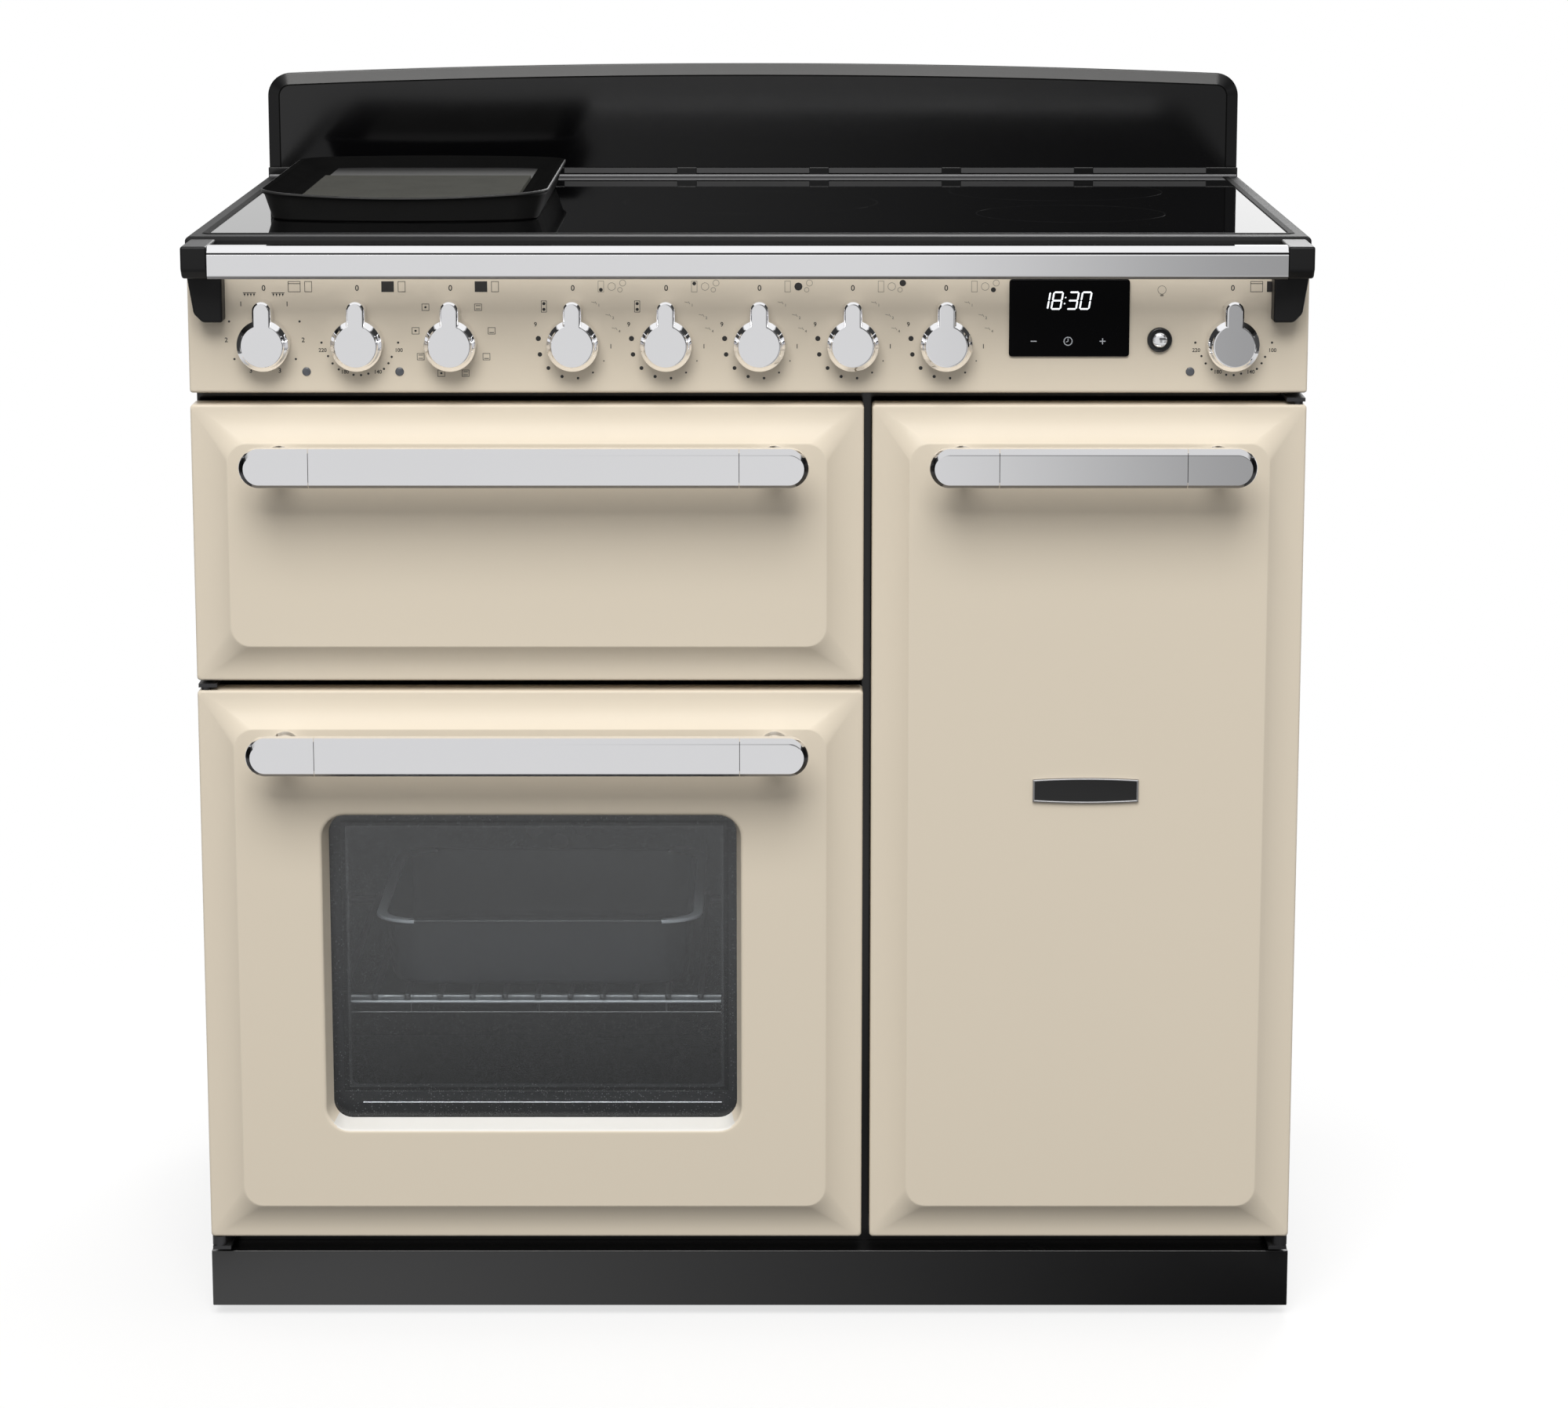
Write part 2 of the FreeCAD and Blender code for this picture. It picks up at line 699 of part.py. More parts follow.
def cavities():
    made = []
    blankets = []
    rooms = [
        ("grill_liner", "left_middle", "oven_width", "grill_bottom", "grill_height", "grill_depth"),
        ("oven_liner", "left_middle", "oven_width", "oven_bottom", "oven_height", "oven_depth"),
        ("tall_oven_liner", "tall_middle", "tall_width", "oven_bottom", "tall_height", "oven_depth"),
    ]
    for label, middle, width, bottom, height, depth in rooms:
        left = "%s - %s / 2" % (middle, width)
        outer = box(label + "_outer", left + " - cavity_wall", "frame_back", bottom + " - cavity_wall",
                    width + " + 2 * cavity_wall", depth + " + cavity_wall", height + " + 2 * cavity_wall")
        inner = box(label + "_inner", left, "frame_back", bottom, width, depth, height)
        rear = "frame_back + %s" % depth
        holes = []
        blanket_holes = []
        if label == "grill_liner":
            for side, sign in (("left", "-"), ("right", "+")):
                tail = "%s %s (%s / 2 - element_inset)" % (middle, sign, width)
                level = "grill_bottom + grill_height - element_drop"
                holes.append(cylinder("tail_hole_" + side, "y", tail, rear, level,
                                      "element_radius + running_gap", "cavity_wall"))
                blanket_holes.append(cylinder("tail_way_" + side, "y", tail, rear + " + cavity_wall", level,
                                              "element_radius + running_gap", "insulation_wall"))
        else:
            level = "%s + %s / 2" % (bottom, height)
            holes.append(cylinder(label + "_shaft_hole", "y", middle, rear, level,
                                  "shaft_radius + 2 * running_gap", "cavity_wall"))
            blanket_holes.append(cylinder(label + "_motor_way", "y", middle, rear + " + cavity_wall", level,
                                          "motor_radius + running_gap", "insulation_wall"))
            for side, sign in (("left", "-"), ("right", "+")):
                stub = "%s %s ring_stub" % (middle, sign)
                low = "%s - ring_radius" % level
                holes.append(cylinder("%s_stub_hole_%s" % (label, side), "y", stub, rear, low,
                                      "element_radius + running_gap", "cavity_wall"))
                way = cylinder("%s_stub_way_%s" % (label, side), "y", stub, rear + " + cavity_wall", low,
                               "element_radius + running_gap", "insulation_wall")
                blanket_holes.append(way)
        made.append(cut(label, cut(label + "_shell", outer, [inner]), holes))
        blanket = box(label + "_blanket_outer", left + " - cavity_wall - insulation_wall", "frame_back",
                      bottom + " - cavity_wall - insulation_wall",
                      width + " + 2 * (cavity_wall + insulation_wall)",
                      depth + " + cavity_wall + insulation_wall",
                      height + " + 2 * (cavity_wall + insulation_wall)")
        room = box(label + "_blanket_inner", left + " - cavity_wall", "frame_back", bottom + " - cavity_wall",
                   width + " + 2 * cavity_wall", depth + " + cavity_wall", height + " + 2 * cavity_wall")
        blankets.append(cut(label + "_blanket", blanket, [room] + blanket_holes))
    made.append(group("insulation", blankets))
    return made


def heating_elements():
    level = measure("grill_bottom + grill_height - element_drop")
    left = measure("left_middle - oven_width / 2 + element_inset")
    right = measure("left_middle + oven_width / 2 - element_inset")
    near = measure("frame_back + element_inset")
    far = measure("grill_back - element_inset")
    tail = measure("grill_back + cavity_wall + element_tail")
    runs = 6
    pitch = (right - left) / (runs - 1)
    bend = pitch / 2
    edges = []
    start = vector(left, tail, level)
    for run in range(runs):
        x = left + run * pitch
        forward = run % 2 == 0
        finish = vector(x, near + bend if forward else far - bend, level)
        if run == runs - 1:
            finish = vector(x, tail, level)
        edges.append(Part.LineSegment(start, finish).toShape())
        if run < runs - 1:
            crest = vector(x + bend, near if forward else far, level)
            start = vector(x + pitch, finish.y, level)
            edges.append(Part.Arc(finish, crest, start).toShape())
    path = Part.Wire(edges)
    profile = Part.Wire(Part.makeCircle(measure("element_radius"), edges[0].Vertexes[0].Point, vector(0, 1, 0)))
    grill = doc.addObject("Part::Feature", "grill_element")
    grill.Shape = path.makePipeShell([profile], True, False)
    rings = [grill]
    for name, middle, level in (("oven", "left_middle", "oven_fan_height"),
                                ("tall", "tall_middle", "tall_fan_height")):
        ring = doc.addObject("Part::Torus", name + "_ring")
        ring.Placement = FreeCAD.Placement(vector(), FreeCAD.Rotation(vector(1, 0, 0), -90))
        bind(ring, Radius1="ring_radius", Radius2="element_radius")
        move(ring, middle, "oven_back - ring_setback", level)
        stubs = []
        for side, sign in (("left", "-"), ("right", "+")):
            stubs.append(cylinder("%s_stub_%s" % (name, side), "y", "%s %s ring_stub" % (middle, sign),
                                  "oven_back - ring_setback", level + " - ring_radius", "element_radius",
                                  "ring_setback + cavity_wall + insulation_wall"))
        rings.append(fuse(name + "_ring_element", [ring] + stubs))
    return [group("heating_elements", rings)]


def fan(label, middle, level):
    """A disc with a ring of straight blades, a hub and a shaft, turning about Y."""
    blade_count = 12
    body = new_body(label)
    disc_sketch = new_sketch(body, "disc")
    circle(disc_sketch, "0", "0", "fan_radius")
    pad(body, disc_sketch, "fan_disc")
    hub_sketch = new_sketch(body, "hub")
    circle(hub_sketch, "0", "0", "hub_radius")
    pad(body, hub_sketch, "fan_width")
    shaft_sketch = new_sketch(body, "shaft")
    circle(shaft_sketch, "0", "0", "shaft_radius")
    pad(body, shaft_sketch, "fan_back + cavity_wall + shaft_reach", backwards=True)
    blade_sketch = new_sketch(body, "blade")
    rectangle(blade_sketch, "blade_root", "-blade_wall / 2", "fan_radius - blade_root", "blade_wall")
    blade = pad(body, blade_sketch, "fan_width")
    pattern = body.newObject("PartDesign::PolarPattern", label + "_blades")
    pattern.Originals = [blade]
    pattern.Axis = (blade_sketch, ["N_Axis"])
    pattern.Angle = 360
    pattern.Occurrences = blade_count
    body.Tip = pattern
    return move(body, middle, "oven_back - fan_back", level)


def fans():
    hole_count = 12
    eye_count = 6
    made = []
    motors = []
    covers = []
    for name, label, middle, level in (("oven", "oven_fan", "left_middle", "oven_fan_height"),
                                       ("tall", "tall_oven_fan", "tall_middle", "tall_fan_height")):
        made.append(fan(label, middle, level))
        case = cylinder(name + "_motor_case", "y", middle, "oven_back + cavity_wall", level,
                        "motor_radius", "motor_length")
        bore = cylinder(name + "_motor_bore", "y", middle, "oven_back + cavity_wall", level,
                        "shaft_radius + pin_clearance", "motor_length")
        motors.append(cut(name + "_motor", case, [bore]))
        outer = box(name + "_cover_outer", middle + " - cover_width / 2", "oven_back - cover_depth",
                    level + " - cover_width / 2", "cover_width", "cover_depth", "cover_width")
        inner = box(name + "_cover_inner", middle + " - cover_width / 2 + skin_wall",
                    "oven_back - cover_depth + skin_wall", level + " - cover_width / 2 + skin_wall",
                    "cover_width - 2 * skin_wall", "cover_depth - skin_wall", "cover_width - 2 * skin_wall")
        holes = [cylinder(name + "_eye", "y", middle, "oven_back - cover_depth", level,
                          "cover_eye", "skin_wall")]
        for count, ring, radius in ((hole_count, "cover_ring", "cover_hole"),
                                    (eye_count, "cover_eye_ring", "cover_eye")):
            for index in range(count):
                angle = 2 * math.pi * (index + 0.5) / count
                holes.append(cylinder("%s_%s_%d" % (name, ring, index), "y",
                                      "%s + %.6f * %s" % (middle, math.cos(angle), ring),
                                      "oven_back - cover_depth",
                                      "%s + %.6f * %s" % (level, math.sin(angle), ring), radius, "skin_wall"))
        covers.append(cut(name + "_cover", outer, [inner] + holes))
    lenses = []
    for name, middle, width, height in (("oven", "left_middle", "oven_width", "oven_height"),
                                        ("tall", "tall_middle", "tall_width", "tall_height")):
        lenses.append(cylinder(name + "_lens", "y", "%s + %s / 2 - lamp_lens_inset" % (middle, width),
                               "oven_back - lamp_lens_wall", "oven_bottom + %s - lamp_lens_inset" % height,
                               "lamp_lens_radius", "lamp_lens_wall"))
    return made + [group("fan_motors", motors), group("fan_covers", covers), group("oven_lamps", lenses)]


def wire_shelf(label, middle, half, level):
    """A shelf of two side rods and two cross rods under a row of wires."""
    wire_count = 15
    near = "frame_back + shelf_front"
    depth = "oven_depth - shelf_front - shelf_back"
    items = []
    for side, sign in (("left", "-"), ("right", "+")):
        items.append(cylinder("%s_rod_%s" % (label, side), "y", "%s %s (%s)" % (middle, sign, half),
                              near, level, "rod_radius", depth))
    for end, place in (("front", near + " + 2 * rod_radius"),
                       ("back", "%s + %s - 2 * rod_radius" % (near, depth))):
        items.append(cylinder("%s_rod_%s" % (label, end), "x", "%s - (%s)" % (middle, half), place,
                              level + " + wire_radius / 2", "rod_radius", "2 * (%s)" % half))
    for index in range(1, wire_count + 1):
        place = "%s + (%s) * %.6f" % (middle, half, 2 * index / (wire_count + 1) - 1)
        items.append(cylinder("%s_wire_%d" % (label, index), "y", place, near, level + " + rod_radius",
                              "wire_radius", depth))
    return fuse(label, items)


def racks():
    """Ladder racks on the cavity walls, and the shelves that lie on their rails."""
    runners = []
    shelves = []
    post_places = ("frame_back + rack_front", "oven_back - rack_back")
    rooms = [
        ("oven", "left_middle", "oven_width", "oven_height", ["oven_shelf_rise"]),
        ("tall", "tall_middle", "tall_width", "tall_height",
         ["tall_shelf_rise", "tall_shelf_rise + tall_shelf_pitch", "tall_shelf_rise + 2 * tall_shelf_pitch"]),
    ]
    for name, middle, width, height, rises in rooms:
        rail_half = "%s / 2 - wire_radius - rail_offset" % width
        for side, sign in (("left", "-"), ("right", "+")):
            items = []
            for index, place in enumerate(post_places):
                items.append(cylinder("%s_post_%s_%d" % (name, side, index), "z",
                                      "%s %s (%s / 2 - wire_radius)" % (middle, sign, width), place,
                                      "oven_bottom + rack_foot", "wire_radius", height + " - 2 * rack_foot"))
            for index, rise in enumerate(rises):
                items.append(cylinder("%s_rail_%s_%d" % (name, side, index), "y",
                                      "%s %s (%s)" % (middle, sign, rail_half),
                                      "frame_back + rack_front / 2", "oven_bottom + " + rise, "wire_radius",
                                      "oven_depth - rack_front / 2 - cover_depth - rail_end_gap"))
            runners.append(fuse("%s_rack_%s" % (name, side), items))
        for index, rise in enumerate(rises):
            level = "oven_bottom + %s + wire_radius + rod_radius" % rise
            shelves.append(wire_shelf("%s_shelf_%d" % (name, index + 1), middle, rail_half + " - shelf_inset",
                                      level))
    return [group("shelf_runners", runners), group("oven_shelves", shelves)]


def tray_body(label, prefix):
    """An open pan whose sides lean outwards, standing on its body's origin."""
    width, depth, height, wall, taper, corner = [
        "%s_%s" % (prefix, word) for word in ("width", "depth", "height", "wall", "taper", "corner")]
    body = new_body(label)
    foot = new_sketch(body, "foot", "XY_Plane")
    rounded(foot, "0", depth + " / 2", "%s - 2 * %s" % (width, taper), "%s - 2 * %s" % (depth, taper), corner)
    rim = new_sketch(body, "rim", "XY_Plane", height)
    rounded(rim, "0", depth + " / 2", width, depth, corner)
    loft(body, [foot, rim])
    floor = new_sketch(body, "floor", "XY_Plane", wall)
    rounded(floor, "0", depth + " / 2", "%s - 2 * %s - 2 * %s" % (width, taper, wall),
            "%s - 2 * %s - 2 * %s" % (depth, taper, wall), "%s - %s" % (corner, wall))
    mouth = new_sketch(body, "mouth", "XY_Plane", height)
    rounded(mouth, "0", depth + " / 2", "%s - 2 * %s" % (width, wall), "%s - 2 * %s" % (depth, wall),
            "%s - %s" % (corner, wall))
    loft(body, [floor, mouth], add=False)
    return body


def ware():
    tin = tray_body("roasting_tin", "tin")
    move(tin, "left_middle", "frame_back + tin_setback",
         "oven_bottom + oven_shelf_rise + wire_radius + 2 * rod_radius + wire_radius")
    pan = tray_body("grill_pan", "pan")
    move(pan, "left_middle", "frame_back + pan_setback", "grill_bottom")
    plate = tray_body("griddle", "griddle")
    rib = new_sketch(plate, "rib", "XY_Plane", "griddle_wall")
    rectangle(rib, "-griddle_width / 2 + griddle_taper + griddle_rib_inset",
              "griddle_taper + 2 * griddle_rib_inset",
              "griddle_width - 2 * (griddle_taper + griddle_rib_inset)", "griddle_rib")
    first = pad(plate, rib, "griddle_rib_height")
    doc.recompute()
    span = measure("griddle_depth - 2 * griddle_taper - 3 * griddle_rib_inset")
    pattern = plate.newObject("PartDesign::LinearPattern", "griddle_ribs")
    pattern.Originals = [first]
    pattern.Direction = (rib, ["V_Axis"])
    pattern.Occurrences = int(span / measure("griddle_rib_pitch"))
    pattern.setExpression("Length", full("griddle_rib_pitch * %d" % (pattern.Occurrences - 1)))
    plate.Tip = pattern
    move(plate, "griddle_middle", "glass_back - griddle_rear - griddle_depth", "hob_height")
    return [tin, pan, plate]


def door_sections(body, name, width, height, wall):
    """Sketches of the raised panel, from the door's edge to its face, along a hollow curve."""
    steps = 3
    made = []
    for step in range(steps + 1):
        share = step / steps
        inset = "raise_inset * %.6f + %s" % (share, wall)
        rise = "bevel_radius - sqrt(bevel_radius * bevel_radius - (raise_inset * %.6f) ^ 2)" % share
        bend = "door_corner + (raise_corner - door_corner) * %.6f" % share
        sketch = new_sketch(body, "%s_%d" % (name, step), offset="%s - %s" % (rise, wall))
        rounded(sketch, "0", height + " / 2", "%s - 2 * (%s)" % (width, inset),
                "%s - 2 * (%s)" % (height, inset), bend)
        made.append(sketch)
    return made


def door_skin(label, width, height):
    """A pressed sheet front: rim, hollow bevel and raised middle, open at the back."""
    body = new_body(label)
    rim = new_sketch(body, "rim", offset="-door_depth")
    rounded(rim, "0", height + " / 2", width, height, "door_corner")
    pad(body, rim, "door_depth")
    loft(body, door_sections(body, "face", width, height, "0"), ruled=False)
    room = new_sketch(body, "room", offset="-door_depth")
    rectangle(room, "-(%s) / 2 + skin_wall" % width, "skin_wall", width + " - 2 * skin_wall",
              height + " - 2 * skin_wall")
    pocket(body, room, "door_depth - skin_wall", backwards=True)
    loft(body, door_sections(body, "inside", width, height, "skin_wall"), add=False, ruled=False)
    return body


def window_sketch(body, name, place, margin):
    sketch = new_sketch(body, name, offset=place)
    rounded(sketch, "0", "window_rise + window_height / 2", "window_width + 2 * (%s)" % margin,
            "window_height + 2 * (%s)" % margin, "window_corner + %s" % margin)
    return sketch


def pin_holes(body, side):
    sketch = new_sketch(body, "pin", "XY_Plane")
    circle(sketch, side, "hinge_setback", "pin_radius + running_gap")
    pocket(body, sketch)


def door_liner(label, middle, width, bottom, height, blocks, cuts):
    """The sheet behind a door: a flange inside the skin's rim and a hollow plug towards the oven."""
    flange = box(label + "_flange", "%s - %s / 2 + skin_wall" % (middle, width), "door_back - skin_wall",
                 bottom + " + skin_wall", width + " - 2 * skin_wall", "skin_wall", height + " - 2 * skin_wall")
    plug = box(label + "_plug", "%s - %s / 2 + liner_inset" % (middle, width), "door_back - skin_wall",
               bottom + " + liner_inset", width + " - 2 * liner_inset", "liner_depth + skin_wall",
               height + " - 2 * liner_inset")
    hollow = box(label + "_hollow", "%s - %s / 2 + liner_inset + skin_wall" % (middle, width),
                 "door_back - skin_wall", bottom + " + liner_inset + skin_wall",
                 width + " - 2 * (liner_inset + skin_wall)", "liner_depth",
                 height + " - 2 * (liner_inset + skin_wall)")
    shell = cut(label + "_shell", fuse(label + "_sheet", [flange, plug]), [hollow])
    return cut(label, fuse(label + "_solid", [shell] + blocks), cuts)


def side_hung_parts(label, middle, width, height, side):
    """The hinge blocks at the top and bottom of a side-hung door, and the bores for their pins."""
    pin = "-hinge_side" if side < 0 else "hinge_side"
    edge = "%s - %s / 2 + skin_wall" % (middle, width)
    if side > 0:
        edge = "%s + %s / 2 - skin_wall - hinge_plate_width" % (middle, width)
    blocks = []
    for end, low in (("top", "door_bottom + %s - skin_wall - hinge_block" % height),
                     ("bottom", "door_bottom + skin_wall")):
        blocks.append(box("%s_block_%s" % (label, end), edge, "front + skin_wall", low,
                          "hinge_plate_width", "door_depth - 2 * skin_wall", "hinge_block"))
    bore = cylinder(label + "_bore", "z", pin, "hinge_line", "door_bottom",
                    "pin_radius + pin_clearance", height)
    return blocks, [bore]


def handle(label, left, length, height):
    """A straight bar between two round-ended castings, each on a post."""
    top = "%s - handle_drop" % height
    bar = new_body(label + "_bar")
    bar_sketch = new_sketch(bar, "face")
    rectangle(bar_sketch, "0", "-handle_height / 2", "%s - 2 * handle_end" % length, "handle_height")
    bar_pad = pad(bar, bar_sketch, "handle_depth", backwards=True)
    bar_span = measure("%s - 2 * handle_end" % length)
    dress(bar, "Chamfer", bar_pad, lambda b: b.XLength > bar_span - 0.01, Size="handle_chamfer")
    move(bar, "%s + handle_end" % left, "front - handle_reach", top)
    pieces = [bar]
    for side, place in (("left", "%s + handle_end" % left), ("right", "%s + %s - handle_end" % (left, length))):
        end = new_body("%s_%s" % (label, side))
        end_sketch = new_sketch(end, "face")
        tongue(end_sketch, "handle_end", "handle_height", upright=False)
        end_pad = pad(end, end_sketch, "handle_depth", backwards=True)
        depth = measure("handle_depth")
        dress(end, "Chamfer", end_pad,
              lambda b: b.XLength > 1 and (flat(b.YMin, b.YMax, 0) or flat(b.YMin, b.YMax, depth)),
              Size="handle_chamfer")
        post_sketch = new_sketch(end, "post", offset="-handle_depth")
        circle(post_sketch, "handle_end / 2", "0", "post_radius")
        pad(end, post_sketch, "handle_reach - handle_depth - raise_height", backwards=True)
        if side == "left":
            end.Placement = FreeCAD.Placement(vector(), FreeCAD.Rotation(vector(0, 1, 0), 180))
        move(end, place, "front - handle_reach", top)
        pieces.append(end)
    return group(label, pieces)


def seal(label, middle, width, bottom, height):
    inset = "liner_inset + seal_inset"
    outer = box(label + "_outer", "%s - %s / 2 + %s" % (middle, width, inset), "plug_back + running_gap",
                "%s + %s" % (bottom, inset), "%s - 2 * (%s)" % (width, inset), "seal_thickness",
                "%s - 2 * (%s)" % (height, inset))
    inset = "liner_inset + seal_inset + seal_width"
    inner = box(label + "_inner", "%s - %s / 2 + %s" % (middle, width, inset), "plug_back + running_gap",
                "%s + %s" % (bottom, inset), "%s - 2 * (%s)" % (width, inset), "seal_thickness",
                "%s - 2 * (%s)" % (height, inset))
    return cut(label, outer, [inner])


def grill_door():
    left = "left_middle - left_door_width / 2"
    skin = door_skin("grill_door_skin", "left_door_width", "grill_door_height")
    notch = new_sketch(skin, "notch", "XY_Plane")
    slot_width = "arm_wall + 2 * arm_slot_gap"
    rectangle(notch, "-left_door_width / 2 + arm_inset - arm_slot_gap", "skin_wall", slot_width,
              "door_depth - skin_wall")
    rectangle(notch, "left_door_width / 2 - arm_inset - arm_wall - arm_slot_gap", "skin_wall", slot_width,
              "door_depth - skin_wall")
    pocket(skin, notch, "skin_wall", backwards=True)
    move(skin, "left_middle", "front", "grill_door_bottom")
    blocks = []
    cuts = []
    arms = []
    for side, arm, block in (
            ("left", left + " + arm_inset", left + " + arm_inset + arm_wall + arm_slot_gap"),
            ("right", "left_middle + left_door_width / 2 - arm_inset - arm_wall",
             "left_middle + left_door_width / 2 - arm_inset - arm_wall - arm_slot_gap - arm_block_width")):
        blocks.append(box("grill_block_" + side, block, "front + skin_wall",
                          "grill_pin_height - hinge_block / 2", "arm_block_width",
                          "door_depth - 2 * skin_wall", "hinge_block"))
        cuts.append(box("grill_slot_" + side, arm + " - arm_slot_gap", "front + skin_wall",
                        "grill_door_bottom", slot_width, "door_depth - skin_wall",
                        "arm_rise + arm_height / 2 + arm_slot_gap"))
        cuts.append(cylinder("grill_bore_" + side, "x", block, "hinge_line", "grill_pin_height",
                             "pin_radius + pin_clearance", "arm_block_width"))
        pin_start = arm if side == "left" else block
        plate = box("grill_arm_" + side, arm, "hinge_line", "grill_pin_height - arm_height / 2", "arm_wall",
                    "frame_front - hinge_line", "arm_height")
        pin = cylinder("grill_pin_" + side, "x", pin_start, "hinge_line", "grill_pin_height", "pin_radius",
                       "arm_wall + arm_slot_gap + arm_block_width")
        arms.append(fuse("grill_hinge_" + side, [plate, pin]))
    liner = door_liner("grill_door_liner", "left_middle", "left_door_width", "grill_door_bottom",
                       "grill_door_height", blocks, cuts)
    bar = handle("grill_door_handle", left + " + handle_inset", "(left_door_width - 2 * handle_inset)",
                 "door_top")
    return [skin, liner, bar], arms


def oven_door():
    left = "left_middle - left_door_width / 2"
    skin = door_skin("oven_door_skin", "left_door_width", "oven_door_height")
    loft(skin, [window_sketch(skin, "funnel_front", "raise_height", "window_flare + skin_wall"),
                window_sketch(skin, "funnel_back", "-window_recess", "skin_wall")])
    loft(skin, [window_sketch(skin, "opening_front", "raise_height", "window_flare"),
                window_sketch(skin, "opening_back", "-window_recess", "0")], add=False)
    pin_holes(skin, "-left_door_width / 2 + hinge_inset")
    move(skin, "left_middle", "front", "door_bottom")
    blocks, cuts = side_hung_parts("oven_door", "left_middle", "left_door_width", "oven_door_height", -1)
    aperture = box("inner_aperture", "left_middle - inner_window_width / 2", "plug_back - skin_wall",
                   "door_bottom + inner_window_rise", "inner_window_width", "skin_wall", "inner_window_height")
    liner = door_liner("oven_door_liner", "left_middle", "left_door_width", "door_bottom", "oven_door_height",
                       blocks, cuts + [aperture])
    outer = box("oven_door_outer_glass", "left_middle - window_width / 2 - pane_overlap",
                "front + window_recess", "door_bottom + window_rise - pane_overlap",
                "window_width + 2 * pane_overlap", "pane_wall", "window_height + 2 * pane_overlap")
    inner = box("oven_door_inner_glass", "left_middle - inner_window_width / 2 - pane_overlap",
                "plug_back - skin_wall - pane_wall", "door_bottom + inner_window_rise - pane_overlap",
                "inner_window_width + 2 * pane_overlap", "pane_wall", "inner_window_height + 2 * pane_overlap")
    bar = handle("oven_door_handle", left + " + handle_inset", "(left_door_width - 2 * handle_inset)",
                 "door_bottom + oven_door_height")
    return [skin, liner, outer, inner, bar]


def tall_door():
    left = "tall_middle - tall_door_width / 2"
    skin = door_skin("tall_door_skin", "tall_door_width", "tall_door_height")
    pin_holes(skin, "tall_door_width / 2 - hinge_inset")
    move(skin, "tall_middle", "front", "door_bottom")
    blocks, cuts = side_hung_parts("tall_door", "tall_middle", "tall_door_width", "tall_door_height", 1)
    liner = door_liner("tall_door_liner", "tall_middle", "tall_door_width", "door_bottom", "tall_door_height",
                       blocks, cuts)
    bar = handle("tall_door_handle", left + " + handle_inset", "(tall_door_width - 2 * handle_inset)",
                 "door_top")
    badge = box("badge_plate", "tall_middle - badge_width / 2", "face_line - badge_wall",
                "door_bottom + badge_rise - badge_height / 2", "badge_width", "badge_wall", "badge_height")
    return [skin, liner, bar, badge]


def hinges_and_seals(arms):
    """Plates and pins of the side-hung doors, with a collar under each door, and the door seals."""
    hinges = list(arms)
    for name, side, height in (("oven", "-", "oven_door_height"), ("tall", "", "tall_door_height")):
        pin = side + "hinge_side"
        left = pin + " + hinge_inset - skin_wall - hinge_plate_width"
        if side == "-":
            left = pin + " - hinge_inset + skin_wall"
        top = "door_bottom + %s" % height
        reach = "frame_front - hinge_line + hinge_collar"
        upper = box(name + "_upper_plate", left, "hinge_line - hinge_collar",
                    top + " + (door_gap - hinge_plate) / 2", "hinge_plate_width", reach, "hinge_plate")
        upper_pin = cylinder(name + "_upper_pin", "z", pin, "hinge_line", top + " - skin_wall - hinge_block",
                             "pin_radius", "skin_wall + hinge_block + door_gap / 2")
        hinges.append(fuse(name + "_upper_hinge", [upper, upper_pin]))
        lower = box(name + "_lower_plate", left, "hinge_line - hinge_collar",
                    "door_bottom - lower_plate_drop - hinge_plate", "hinge_plate_width", reach, "hinge_plate")
        collar = cylinder(name + "_collar", "z", pin, "hinge_line", "door_bottom - lower_plate_drop",
                          "hinge_collar", "lower_plate_drop - running_gap")
        lower_pin = cylinder(name + "_lower_pin", "z", pin, "hinge_line", "door_bottom - lower_plate_drop",
                             "pin_radius", "lower_plate_drop + skin_wall + hinge_block")
        hinges.append(fuse(name + "_lower_hinge", [lower, collar, lower_pin]))
    seals = [
        seal("grill_seal", "left_middle", "left_door_width", "grill_door_bottom", "grill_door_height"),
        seal("oven_seal", "left_middle", "left_door_width", "door_bottom", "oven_door_height"),
        seal("tall_seal", "tall_middle", "tall_door_width", "door_bottom", "tall_door_height"),
    ]
    return [group("door_hinges", hinges), group("door_seals", seals)]


